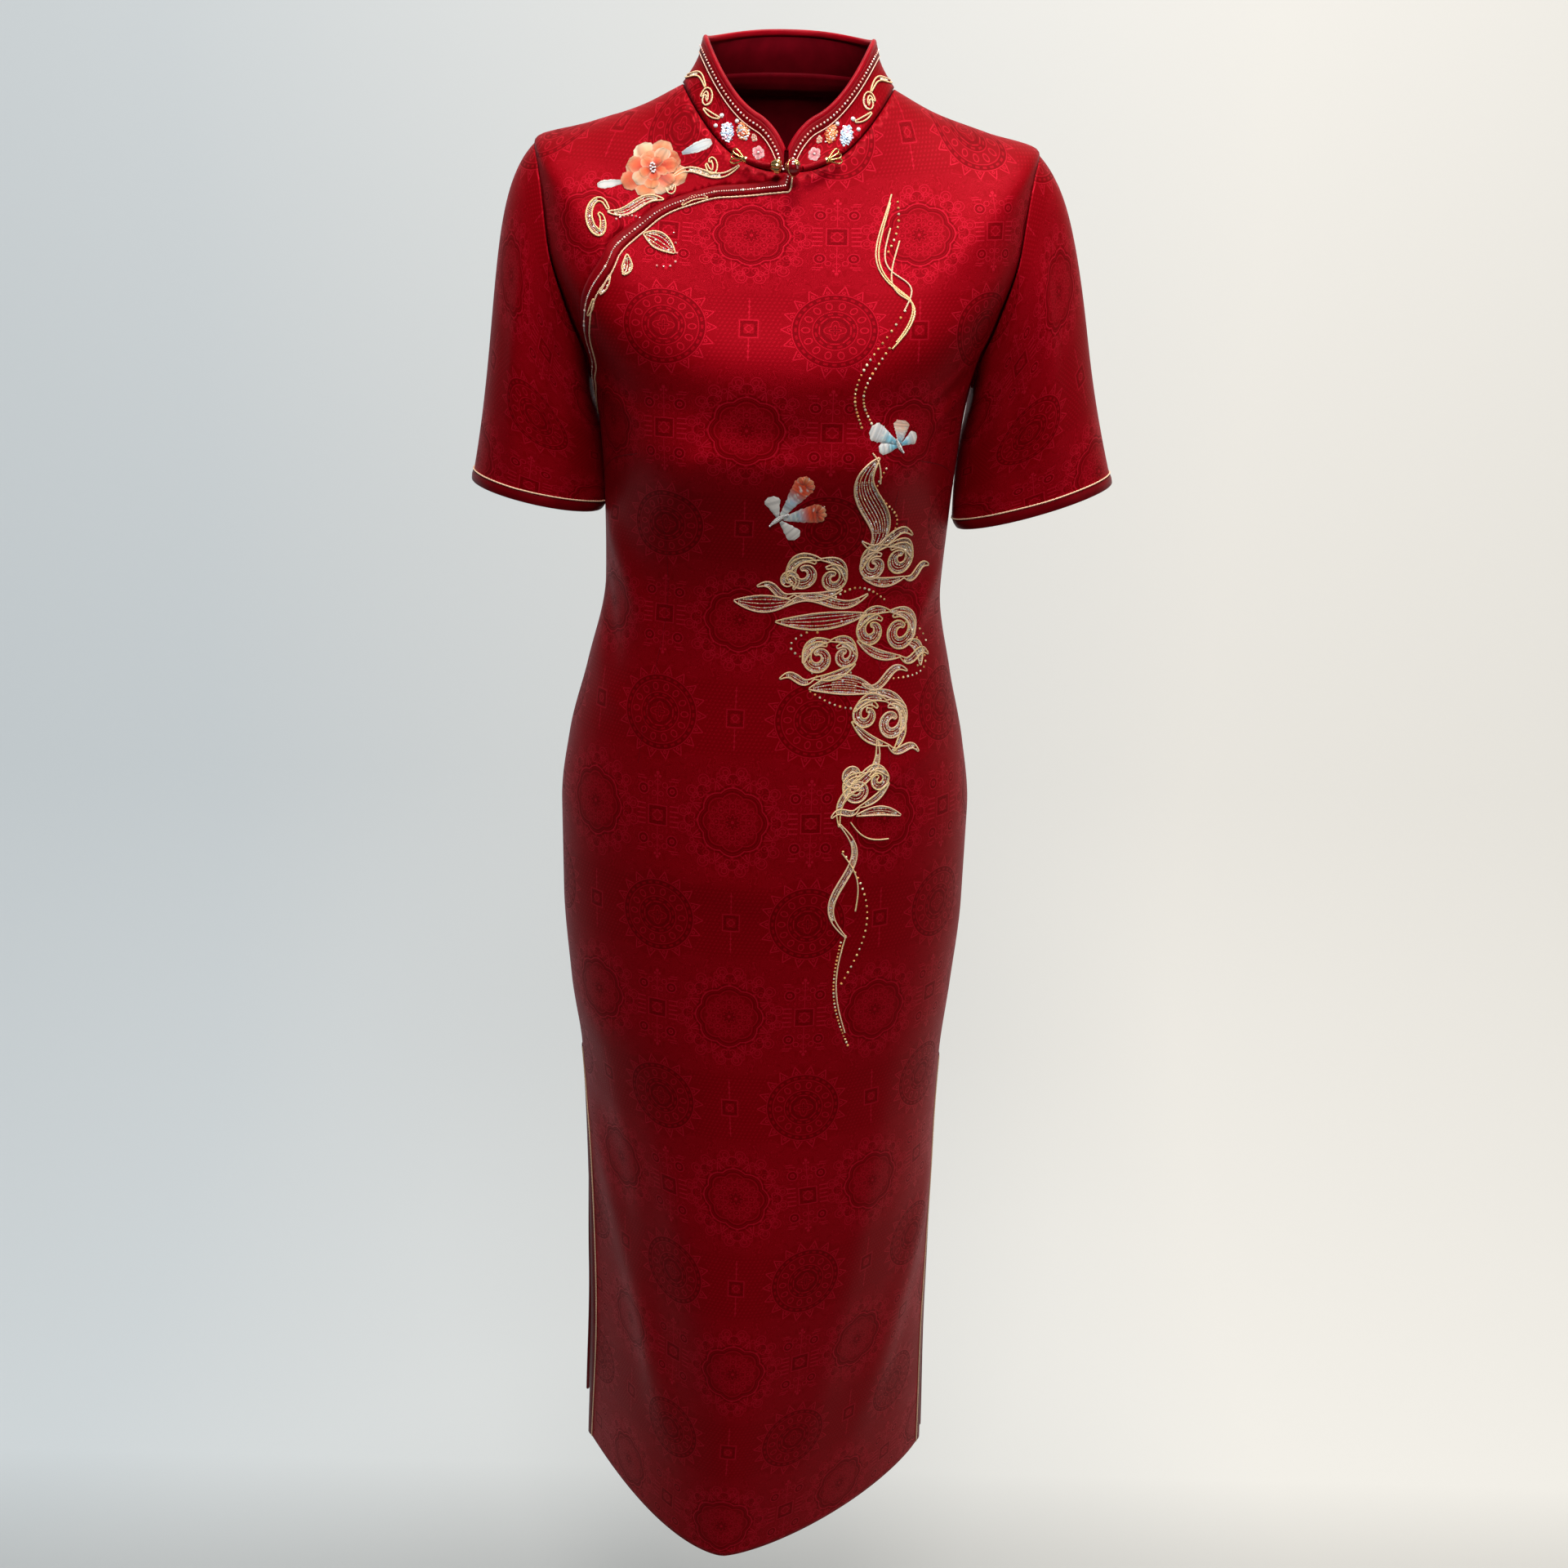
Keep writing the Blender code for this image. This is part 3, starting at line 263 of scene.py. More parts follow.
# Auspicious clouds, streamers, a peony and butterflies, drawn by rule as the traditional motifs are. A row
# only places one: (u, v) is cm across from the centre front and down from the neck, sizes are in cm, half
# widths in mm, and directions in degrees, 0 towards the wearer's left and 90 down.
CLOUD_COLUMNS = ("u", "v", "size", "facing", "hand", "wide")
CLOUDS = (
    (8.8, 39.9, 2.2, -8, 1, 4.4), (3.4, 40.8, 2.2, 6, -1, 3.8), (9.2, 45.3, 2.5, 10, 1, 4.4),
    (4.8, 47.0, 2.0, -6, -1, 3.7), (9.0, 51.9, 2.3, 22, 1, 3.8), (8.2, 57.0, 1.8, -24, -1, 3.2),
)
STREAM_COLUMNS = ("u0", "v0", "u1", "v1", "sway", "waves", "wide")
STREAMS = (
    (7.2, 31.0, 7.0, 39.6, -0.9, 2, 9.0), (6.6, 38.2, 11.0, 37.9, -0.6, 2, 3.4),  # the leaf and its branch
    (7.4, 42.4, 1.0, 43.2, 0.5, 2, 3.6), (1.6, 42.8, -2.8, 42.9, 0.2, 1, 6.4),
    (0.4, 44.4, 7.4, 43.9, -0.2, 1, 6.4), (3.2, 49.4, 8.6, 49.9, 0.5, 1, 7.6),
    (11.2, 46.4, 12.9, 48.4, 0.6, 1, 4.6), (11.4, 48.6, 7.4, 49.2, -0.5, 2, 2.8),
    (8.0, 49.8, 11.4, 51.4, 0.4, 1, 2.8), (11.0, 51.6, 10.4, 54.6, 0.5, 1, 2.8),
    (8.9, 53.6, 6.0, 60.2, 0.7, 2, 3.0), (7.4, 59.4, 11.2, 59.8, 0.4, 1, 3.6),
    (6.0, 60.0, 6.9, 69.6, 1.1, 2, 2.6),
    (-3.5, 0.4, -9.4, 4.3, 0.3, 2, 1.9), (-9.8, 5.9, -14.5, 9.4, -0.2, 2, 3.6),  # beside the closing
    (-10.9, 8.7, -8.1, 8.4, 0.2, 1, 6.0), (-12.0, 10.7, -12.2, 12.7, 0.2, 1, 3.6),
    (-13.4, 13.8, -14.1, 16.0, 0.1, 1, 1.6), (-14.7, 17.0, -15.4, 19.2, 0.1, 1, 1.4),
    (-8.0, 5.2, -5.9, 3.6, 0.2, 1, 1.7),
)
CURL_COLUMNS = ("u", "v", "size", "start", "turns", "hand", "wide")
CURLS = (
    (-5.9, 1.5, 0.55, 150, 0.9, -1, 1.6), (-15.2, 10.4, 1.30, -60, 1.1, -1, 2.3),
    (1.2, 41.2, 0.75, 60, 1.1, -1, 1.8), (7.0, 56.2, 0.9, 60, 0.9, 1, 2.3),
    (-9.4, 4.8, 0.45, -30, 0.8, 1, 1.6),
)
COUCHED_COLUMNS = STREAM_COLUMNS[:-1]
COUCHED_LINES = (  # single cords
    (8.5, 4.5, 8.0, 16.8, -1.6, 2), (8.3, 4.9, 8.3, 16.2, -1.3, 2), (8.1, 6.4, 8.9, 13.2, -0.8, 2),
    (8.8, 7.6, 8.9, 15.8, -0.9, 2), (6.9, 69.4, 7.2, 78.0, -0.8, 1), (6.3, 62.4, 7.6, 67.4, 0.7, 1),
    (6.9, 59.9, 10.2, 61.6, -0.6, 1), (6.7, 30.4, 7.4, 33.2, 0.2, 1), (7.8, 57.4, 6.2, 58.4, -0.4, 1),
)
BEAD_COLUMNS = ("shade", "spacing_mm", *COUCHED_COLUMNS)
BEAD_ROWS = (
    ("orange", 3.9, 9.0, 5.2, 7.8, 7.8, 0.4, 1), ("orange", 6.1, 9.0, 13.2, 5.9, 27.0, -1.9, 1),
    ("orange", 5.8, 7.8, 16.6, 6.6, 26.6, -1.2, 1), ("orange", 3.8, 7.8, 32.0, 8.7, 38.2, -0.8, 2),
    ("orange", 4.0, 4.2, 43.0, 8.9, 42.9, 1.1, 1), ("orange", 4.4, 3.6, 45.2, 6.4, 48.3, -2.2, 1),
    ("orange", 4.4, 3.2, 45.0, 3.2, 47.4, -1.6, 1), ("orange", 4.4, 3.3, 49.6, 8.8, 51.0, -0.6, 1),
    ("orange", 4.8, 11.0, 44.9, 9.2, 49.0, 3.7, 1), ("orange", 7.4, 12.6, 45.6, 12.6, 48.4, 1.1, 1),
    ("orange", 5.3, 6.4, 62.3, 6.7, 73.6, 2.1, 1), ("orange", 3.2, 6.5, 70.0, 7.5, 79.2, -0.9, 1),
    ("pink", 4.0, -13.6, 9.3, -11.2, 8.0, 0.2, 1), ("pink", 5.6, -8.4, 7.2, -9.4, 9.9, 1.0, 1),
)
PEONY_AT = (-11.4, 5.0)
PETAL_RING_COLUMNS = ("count", "first", "length", "wide", "shades")
PETAL_RINGS = (
    (8, 14, 2.5, 8.0, ("flame", "peach", "flame", "ember")),
    (7, 38, 1.85, 6.4, ("ember", "flame", "peach")),
    (5, 6, 1.15, 4.8, ("flame", "ember", "flame")),
)
LEAVES = (("ice", 1.7, -1.2, -25, 2.5, 4.2), ("snow", -1.8, 1.0, 170, 2.1, 3.4))  # from the peony's middle
BUTTERFLY_COLUMNS = ("u", "v", "facing", "size", "fore", "hind")
BUTTERFLIES = (
    (0.2, 36.4, -38, 4.4, ("wing_red", "wing_red"), "silver"),
    (8.8, 29.9, -112, 3.7, ("wing_blue", "wing_pale"), "wing_blue"),
)
WINGS = (  # turn from the heading, length and half width in shares of the size, and which wing it is
    (-72, 0.44, 0.24, "hind"), (84, 0.46, 0.25, "hind"), (-20, 0.92, 0.34, "fore"), (26, 0.78, 0.34, "fore"),
)

# On the collar u runs along it from the centre front and v up from the neck seam. Both sides are alike.
COLLAR_STREAMS = ((13.4, 0.6, 8.9, 1.5, -0.3, 2, 1.7), (7.9, 0.5, 6.2, 1.1, -0.1, 1, 1.5))
COLLAR_CURLS = ((8.2, 1.15, 0.62, -30, 1.1, 1, 1.7), (18.3, 1.15, 0.55, 150, 1.1, 1, 1.6))
COLLAR_BACK_STREAM = (22.2, 0.8, 18.9, 1.4, -0.3, 2, 1.5)
COLLAR_BLOOMS = (
    ("ice", 5.0, 0.9, 6.4), ("ember", 3.7, 1.8, 6.2), ("rose", 2.0, 1.0, 5.2), ("blush", 2.6, 1.9, 2.8),
    ("ice", 6.1, 1.4, 2.2), ("ice", 6.2, 0.5, 2.0), ("silver", 4.5, 2.1, 2.0),
)

PETAL_PLACES = (0.10, 0.34, 0.62, 0.86, 1.0)  # shares of a petal's length, and of its width there
PETAL_WIDTHS = (0.30, 0.72, 1.0, 0.90, 0.46)
WING_WIDTHS = (0.22, 0.52, 0.86, 1.0, 0.44)
THREAD_END = 0.5  # the half width of a ribbon's two ends, in mm


def named(columns, rows):
    """A table's rows, each as a dict of its named columns."""
    return [dict(zip(columns, row)) for row in rows]


def curl(u, v, size, start, turns, hand, wide):
    """A ribbon's rows that wind inwards round a place."""
    part = np.linspace(0, 1, 15)
    turn = math.radians(start) + hand * turns * 2 * math.pi * part
    reach = size * (1 - 0.66 * part**0.85)
    width = THREAD_END + (wide - THREAD_END) * np.sin(math.pi * (0.04 + 0.90 * part)) ** 0.8
    return np.column_stack([u + reach * np.cos(turn), v + reach * np.sin(turn), width])


def stream(u0, v0, u1, v1, sway, waves, wide=0.0):
    """A ribbon's rows that sway from one place to another."""
    part = np.linspace(0, 1, 8 + 4 * waves)
    run = np.array([u1 - u0, v1 - v0])
    aside = np.array([run[1], -run[0]]) / np.hypot(*run)
    swayed = (sway * np.sin(waves * math.pi * part))[:, None] * aside
    width = THREAD_END + max(wide - THREAD_END, 0) * np.sin(math.pi * part) ** 0.9
    return np.column_stack([np.array([u0, v0]) + part[:, None] * run + swayed, width])


def cloud(u, v, size, facing, hand, wide):
    """The ribbons of one auspicious cloud: two facing curls, a crown over them, a belly and a tail."""
    turn = math.radians(facing)
    across, down = np.array([math.cos(turn), math.sin(turn)]), np.array([-math.sin(turn), math.cos(turn)])
    drawn = [
        curl(-0.52, 0.06, 0.46, -50, 1.15, -1, wide * 0.9),
        curl(0.52, 0.0, 0.56, -128, 1.2, 1, wide),
        stream(-0.98, 0.10, 0.02, -0.58, 0.30, 1, wide * 0.8),
        stream(0.02, -0.58, 1.10, 0.12, 0.34, 1, wide),
        stream(-0.90, 0.42, 0.72, 0.74, -0.16, 1, wide * 0.8),
        stream(0.72, 0.74, 2.0, 0.62, -0.14, 2, wide * 0.7),
    ]
    for rows in drawn:
        local = rows[:, :2] * size * (hand, 1)
        rows[:, :2] = np.array([u, v]) + local[:, :1] * across + local[:, 1:] * down
    return drawn


def petal(u, v, way, length, wide, winged=False):
    """The rows of a petal, leaf or wing that widens from its root and is round at its tip."""
    turn = math.radians(way)
    far = np.array(PETAL_PLACES) * length
    width = np.array(PETAL_WIDTHS if not winged else WING_WIDTHS) * wide
    return np.column_stack([u + far * math.cos(turn), v + far * math.sin(turn), width])


# ---------------------------------------------------------------- curves

def smooth_columns(rows, at, limit=True):
    """The table's columns at each value of its first, by a Hermite curve. With limit it never overshoots."""
    table = np.array(rows, float)
    knots = table[:, 0]
    rises = np.diff(table, axis=0) / np.diff(knots)[:, None]
    before, after = rises[:-1], rises[1:]
    total = np.where(before + after == 0, 1, before + after)
    inner = np.where(before * after > 0, 2 * before * after / total, 0)
    slopes = np.concatenate([rises[:1], inner if limit else (before + after) / 2, rises[-1:]])
    cell = np.clip(np.searchsorted(knots, at, side="right") - 1, 0, len(knots) - 2)
    span = (knots[cell + 1] - knots[cell])[:, None]
    part = ((at - knots[cell]) / span[:, 0])[:, None]
    return (
        table[cell] * (1 + 2 * part) * (1 - part) ** 2
        + slopes[cell] * span * part * (1 - part) ** 2
        + table[cell + 1] * part**2 * (3 - 2 * part)
        + slopes[cell + 1] * span * part**2 * (part - 1)
    )


def distances(line):
    """How far along a line each of its points lies."""
    return np.concatenate([[0], np.cumsum(np.linalg.norm(np.diff(line, axis=0), axis=1))])


def read_off(line, length, at):
    """A line's columns at these distances along it, from the distance of each of its points."""
    return np.column_stack([np.interp(at, length, column) for column in line.T])


def distances_across(grid):
    """How far along its own row each point of a grid lies."""
    steps = np.linalg.norm(np.diff(grid, axis=1), axis=2)
    return np.concatenate([np.zeros((len(steps), 1)), np.cumsum(steps, axis=1)], axis=1)


def distances_down(grid):
    """How far down its own column each point of a grid lies."""
    steps = np.linalg.norm(np.diff(grid, axis=0), axis=2)
    return np.concatenate([np.zeros((1, steps.shape[1])), np.cumsum(steps, axis=0)])


def spaced(points, count):
    """count points at even distances along a smooth curve through the given ones."""
    points = np.array(points, float)
    chord = distances(points)
    at = np.linspace(0, chord[-1], 40 * len(points))
    dense = smooth_columns(np.column_stack([chord, points]), at)[:, 1:]
    length = distances(dense)
    return read_off(dense, length, np.linspace(0, length[-1], count))


def unit(vectors):
    return vectors / np.maximum(np.linalg.norm(vectors, axis=-1, keepdims=True), 1e-12)


# ---------------------------------------------------------------- the form

def warp_at(height):
    """The warp used, in metres, at each height down the centre line below the neck point."""
    return smooth_columns(WARP_AT, np.clip(height, WARP_FROM, WARP_AT[-1][0]))[:, 1] * 0.01


class Form:
    """The dress's surface. at() gives points of a half, normals() their outward directions."""

    def __init__(self):
        self.down = np.linspace(0, HEM, FORM_LEVELS)
        self.across = np.linspace(-1, 1, FORM_STATIONS)
        columns = smooth_columns(FORM_ROWS, self.down)
        self.level = dict(zip(FORM_COLUMNS, columns.T))
        self.grid = {half: self.half_grid(half) for half in ("front", "back")}
        self.normal_grid = {half: self.grid_normals(half) for half in self.grid}
        self.share_seam_normals()
        for half in self.grid:
            self.grid[half] = self.grid[half] + self.normal_grid[half] * self.relief(half)[..., None]
        self.weave = {half: self.weave_grid(half) for half in self.grid}

    def half_grid(self, half):
        """Points of one half, evenly spaced along each level's curve."""
        lv = {name: values[:, None] for name, values in self.level.items()}
        turn = np.sin(np.linspace(-math.pi / 2, math.pi / 2, 1201))[None, :]
        side = np.where(turn < 0, 1.0, LEFT_SLIT_SHARE)
        if half == "front":
            bow, root = lv["bow"], np.where(turn < 0, lv["root_right"], lv["root_left"])
            y_mid, z_mid, width, lean = lv["y_front"], lv["z_front"], lv["half"], lv["lean"]
            y_side = lv["y_side"] + lv["front_open"] * side
        else:
            bow, root = lv["back_bow"], 0.5
            y_mid, z_mid, width, lean = lv["y_back"], lv["z_back"], lv["half"] + lv["flare"] * side, 0.0
            y_side = lv["y_side"] + lv["back_open"] * side
        fall = np.maximum(1 - np.abs(turn) ** (bow * (1 - 5 * lean * turn)), 0) ** root
        curve = np.stack(
            [
                lv["x_mid"] + width * turn + lean * (1 - turn**2),
                y_side + (y_mid - y_side) * fall,
                lv["z_side"] + (z_mid - lv["z_side"]) * (1 - np.abs(turn) ** 2.4),
            ],
            -1,
        )
        share = (self.across + 1) / 2
        lengths = distances_across(curve)
        return np.array([read_off(row, run, share * run[-1]) for row, run in zip(curve, lengths)])

    def weave_grid(self, half):
        """Where each point lies along the cloth's weft and warp, with the warp plumb at the centre line."""
        grid = self.grid[half]
        middle = FORM_STATIONS // 2
        weft = distances_across(grid[..., :2])
        weft = weft - weft[:, middle : middle + 1]
        warp = distances_down(grid[..., 1:])
        height = -grid[..., 2]
        centre = warp_at(height[:, middle])
        levels = np.maximum.accumulate(height, axis=0)
        at_bust = np.array([np.interp(BUST_LINE, h, w) for h, w in zip(levels.T, warp.T)])
        climbed = at_bust - warp
        used = np.interp(BUST_LINE, levels[:, middle], centre) - centre
        if half == "front":
            rise = np.interp(climbed, climbed[::-1, middle], used[::-1])
            rise = rise + np.maximum(climbed - climbed[0, middle], 0) * WARP_EASE
        else:
            rise = climbed * WARP_EASE
        above = np.interp(BUST_LINE, levels[:, middle], centre) - rise
        below = warp_at(height.ravel()).reshape(height.shape)
        return np.stack([weft, np.where(height < BUST_LINE, above, below)], -1)

    def grid_normals(self, half):
        grid = self.grid[half]
        normals = unit(np.cross(np.gradient(grid, axis=1), np.gradient(grid, axis=0)))
        return -normals if half == "front" else normals

    def share_seam_normals(self):
        """Makes the halves agree along the side seams, so that two walls that meet there don't cross."""
        seam = {side: unit(sum(self.normal_grid[half][:, side] for half in self.grid)) for side in (0, -1)}
        near = np.clip((np.abs(self.across) - 0.93) / 0.07, 0, 1)[None, :, None]
        sewn = np.clip(1 - (self.down - SLIT_TOP) / 0.080, 0, 1)[:, None, None]
        for half, normals in self.normal_grid.items():
            at_seam = np.where(self.across[None, :, None] < 0, seam[0][:, None], seam[-1][:, None])
            self.normal_grid[half] = unit(normals * (1 - near * sewn) + at_seam * near * sewn)

    def relief(self, half):
        """How far the surface stands out for the swells and folds."""
        across, down = np.meshgrid(self.across, self.down)
        out = np.zeros_like(across)
        for swell in named(SWELL_COLUMNS, SWELLS):
            if swell["half"] == half:
                far = ((across - swell["across"]) / swell["wide"]) ** 2
                far += ((down - swell["down"]) / swell["long"]) ** 2
                out += swell["height"] * np.exp(-far)
        for fold in named(FOLD_COLUMNS, FOLDS + CREASES):
            if fold["half"] == half:
                out += fold_height(fold, across * HALF_GIRTH / 2, down)
        return out * np.clip((1 - np.abs(across)) / 0.06, 0, 1)

    def look_up(self, grids, half, across, down):
        """Values of a grid at (across, down), each an array or a number."""
        across, down = np.broadcast_arrays(np.asarray(across, float), np.asarray(down, float))
        column = np.clip((across + 1) / 2, 0, 1) * (FORM_STATIONS - 1)
        row = np.clip(down / HEM, 0, 1) * (FORM_LEVELS - 1)
        c0 = np.minimum(column.astype(int), FORM_STATIONS - 2)
        r0 = np.minimum(row.astype(int), FORM_LEVELS - 2)
        fc, fr = (column - c0)[..., None], (row - r0)[..., None]
        g = grids[half]
        upper = g[r0, c0] * (1 - fc) + g[r0, c0 + 1] * fc
        lower = g[r0 + 1, c0] * (1 - fc) + g[r0 + 1, c0 + 1] * fc
        return upper * (1 - fr) + lower * fr

    def at(self, half, across, down):
        return self.look_up(self.grid, half, across, down)

    def normals(self, half, across, down):
        return unit(self.look_up(self.normal_grid, half, across, down))

    def locate(self, half, x, z):
        """(across, down) of the place on a half that the front view shows at (x, z)."""
        grid = self.grid[half]
        far = (grid[..., 0] - x) ** 2 + (grid[..., 2] - z) ** 2
        row, column = np.unravel_index(np.argmin(far), far.shape)
        guess = np.array([self.across[column], self.down[row]])
        nudge = 1e-4
        for _ in range(8):
            here = self.at(half, *guess)[[0, 2]]
            slope = np.column_stack(
                [(self.at(half, *(guess + step))[[0, 2]] - here) / nudge for step in np.eye(2) * nudge]
            )
            guess = guess + np.linalg.lstsq(slope, np.array([x, z]) - here, rcond=None)[0]
            guess = np.clip(guess, [-1, 0], [1, HEM])
        return guess


def fold_height(fold, x, down):
    """Height of one fold over the flat cloth, whose places are x and down in metres."""
    start = np.array([fold["across_0"] * HALF_GIRTH / 2, fold["down_0"]])
    end = np.array([fold["across_1"] * HALF_GIRTH / 2, fold["down_1"]])
    run = end - start
    part = ((x - start[0]) * run[0] + (down - start[1]) * run[1]) / (run @ run)
    off = ((x - start[0]) * run[1] - (down - start[1]) * run[0]) / np.linalg.norm(run)
    swell = np.exp(-((off / fold["width"]) ** 2))
    return fold["height"] * swell * np.exp(-(((part - 0.5) / 0.42) ** 4))


FORM = Form()


def seam_inset(down):
    """The across value that half a seam gap takes from a panel's edge at each level."""
    row = FORM.at("front", np.linspace(-1, 1, 61)[None, :], np.array(down)[:, None])
    girth = np.linalg.norm(np.diff(row, axis=1), axis=2).sum(1)
    return (SEAM_GAP / 2 + SEAM_LEAN) / (girth / 2)


# ---------------------------------------------------------------- outlines on the form

def side_edge(sign, top, bottom=HEM):
    """Points (across, down) along a side seam, then along the slit, whose edges leave room for a binding.

    Their levels are the same on every panel, so that neighbours' edges match."""
    levels = np.arange(ARMPIT, HEM - SIDE_STEP / 2, SIDE_STEP)
    levels = np.sort(np.concatenate([levels, [SLIT_TOP, SLIT_TOP + 0.004]]))
    levels = levels[(levels > top + SIDE_STEP / 4) & (levels < bottom - SIDE_STEP / 4)]
    down = np.concatenate([[top], levels, [bottom]])
    room = np.clip((down - SLIT_TOP) / 0.004, 0, 1) * (SATIN + SEAM_GAP * 1.5) / (SEAM_GAP / 2 + SEAM_LEAN)
    return np.column_stack([sign * (1 - seam_inset(down) * (1 + room)), down])


def slit_hem(half, sign):
    """The outer and inner edges of a slit's binding on a panel, as two rows of (across, down) points."""
    outer = side_edge(sign, SLIT_TOP + 0.004)
    row = FORM.at(half, np.linspace(-1, 1, 61)[None, :], outer[:, 1:])
    girth = np.linalg.norm(np.diff(row, axis=1), axis=2).sum(1)
    inner = outer - np.column_stack([sign * BINDING_WIDTH / (girth / 2), np.zeros(len(outer))])
    inner[-1, 1] = HEM - 0.0005
    return outer, inner


def armhole(half, sign):
    """Points (across, down) of half an armhole, from the shoulder tip down to the armpit."""
    turn = np.linspace(0, math.pi, ARMHOLE_POINTS // 2 + 1)
    cut = ARMHOLE_CUT_FRONT if half == "front" else ARMHOLE_CUT_BACK
    down = SHOULDER_TIP + (ARMPIT - SHOULDER_TIP) * (1 - np.cos(turn)) / 2
    across = 1 - seam_inset(down) - cut * np.sin(turn) ** 0.85
    across[[0, -1]] = (1 - seam_inset(down))[[0, -1]]
    return np.column_stack([sign * across, down])


def free_edge():
    """Points (across, down) of the main front's free edge, from the neckline to the side seam."""
    drop = [FORM.locate("front", x, z) for x, z in EDGE_DROP]
    drop[0][1] = 0.0
    sweep = [FORM.locate("front", x, z) for x, z in EDGE_SWEEP]
    end = side_edge(-1, ARMPIT + EDGE_SIDE_DROP)[0]
    return np.concatenate([spaced(drop, 9)[:-1], spaced([drop[-1], *sweep, end], 140)])


def shifted(line, distance):
    """The line moved sideways over the flat cloth, towards the main front."""
    flat = line * (HALF_GIRTH / 2, 1)
    run = unit(np.gradient(flat, axis=0))
    moved = flat + distance * np.column_stack([run[:, 1], -run[:, 0]])
    return moved / (HALF_GIRTH / 2, 1)


def squared(line):
    """A line beside the free edge, its rounded corner under the button drawn nearly square."""
    off = (line - FORM.locate("front", *CORNER_MIDDLE)) * (HALF_GIRTH / 2, 1)
    cosine, sine = np.abs(unit(off)).T
    grown = (cosine**8 + sine**8) ** (-1 / 8)
    turning = (off[:, 0] > 0) & (off[:, 1] > 0)
    off = off * np.where(turning, grown, 1)[:, None]
    return off / (HALF_GIRTH / 2, 1) + FORM.locate("front", *CORNER_MIDDLE)


# ---------------------------------------------------------------- shader fields

class Field:
    """A number that varies over a surface: the output of a shader node, with ordinary arithmetic."""

    def __init__(self, tree, socket):
        self.tree, self.socket = tree, socket

    def math(self, operation, *others, clamp=False):
        node = self.tree.nodes.new("ShaderNodeMath")
        node.operation = operation
        node.use_clamp = clamp
        for socket, value in zip(node.inputs, (self, *others)):
            if isinstance(value, Shape):
                value = value.mask()
            if isinstance(value, Field):
                self.tree.links.new(value.socket, socket)
            else:
                socket.default_value = value
        return Field(self.tree, node.outputs[0])

    def __add__(self, other):
        return self.math("ADD", other)

    def __sub__(self, other):
        return self.math("SUBTRACT", other)

    def __mul__(self, other):
        return self.math("MULTIPLY", other)

    __radd__, __rmul__ = __add__, __mul__

    def __rsub__(self, other):
        return self.math("MULTIPLY_ADD", -1.0, other)

    def __truediv__(self, other):
        return self.math("DIVIDE", other)

    def __abs__(self):
        return self.math("ABSOLUTE")

    def min(self, other):
        return self.math("MINIMUM", other)

    def max(self, other):
        return self.math("MAXIMUM", other)

    def wrapped(self, size):
        """The distance from the nearest multiple of size, with its sign."""
        return self.math("WRAP", size / 2, -size / 2)

    def over(self, limit, soft=0.02):
        """The shape where the value is over the limit."""
        return Shape(limit - self, soft)

    def under(self, limit, soft=0.02):
        return Shape(self - limit, soft)

    def line(self, at, half_width, soft=0.02):
        """The line on which the value is near a place."""
        return Shape(abs(self - at) - half_width, soft)

    def between(self, low, high, soft=0.02):
        return self.line((low + high) / 2, (high - low) / 2, soft)


class Shape:
    """A shape on a surface: how far outside its edge each place lies, and how soft that edge is."""

    def __init__(self, outside, soft):
        self.outside, self.soft = outside, soft

    def mask(self):
        """1 inside the shape and 0 outside it."""
        return self.outside.math("MULTIPLY_ADD", -0.5 / self.soft, 0.5, clamp=True)

    def __mul__(self, other):
        """What two shapes share, or the shape's mask times a field or a number."""
        if isinstance(other, Shape) and other.soft == self.soft:
            return Shape(self.outside.max(other.outside), self.soft)
        return self.mask() * other

    def __sub__(self, other):
        return self.mask() - other


def any_of(*parts):
    """The highest of several masks. Shapes that are equally soft are joined first, which renders faster."""
    joined, masks = {}, []
    for part in parts:
        if isinstance(part, Shape):
            outside = joined.get(part.soft)
            joined[part.soft] = outside.min(part.outside) if outside else part.outside
        else:
            masks.append(part)
    masks += [Shape(outside, soft).mask() for soft, outside in joined.items()]
    out = masks[0]
    for mask in masks[1:]:
        out = out.max(mask)
    return out


def distance(x, y, x0=0.0, y0=0.0):
    """How far each place (x, y) is from (x0, y0)."""
    place = x.tree.nodes.new("ShaderNodeCombineXYZ")
    x.tree.links.new(x.socket, place.inputs[0])
    x.tree.links.new(y.socket, place.inputs[1])
    far = x.tree.nodes.new("ShaderNodeVectorMath")
    far.operation = "DISTANCE"
    x.tree.links.new(place.outputs[0], far.inputs[0])
    far.inputs[1].default_value = (x0, y0, 0)
    return Field(x.tree, far.outputs["Value"])


def polar(x, y):
    """Distance from the middle and the angle round it."""
    return distance(x, y), y.math("ARCTAN2", x)


def sector(radius, angle, count, offset=0.0):
    """Places in one of count equal sectors: across it, and out along its middle."""
    turn = (angle + offset).wrapped(2 * math.pi / count)
    return radius * turn.math("SINE"), radius * turn.math("COSINE")


def ring(x, y, x0, y0, size, half_width=0.035):
    """A thin circle round (x0, y0)."""
    return distance(x, y, x0, y0).line(size, half_width)


def spot(x, y, x0, y0, size):
    return distance(x, y, x0, y0).under(size)


# ---------------------------------------------------------------- the woven pattern (centimetres)

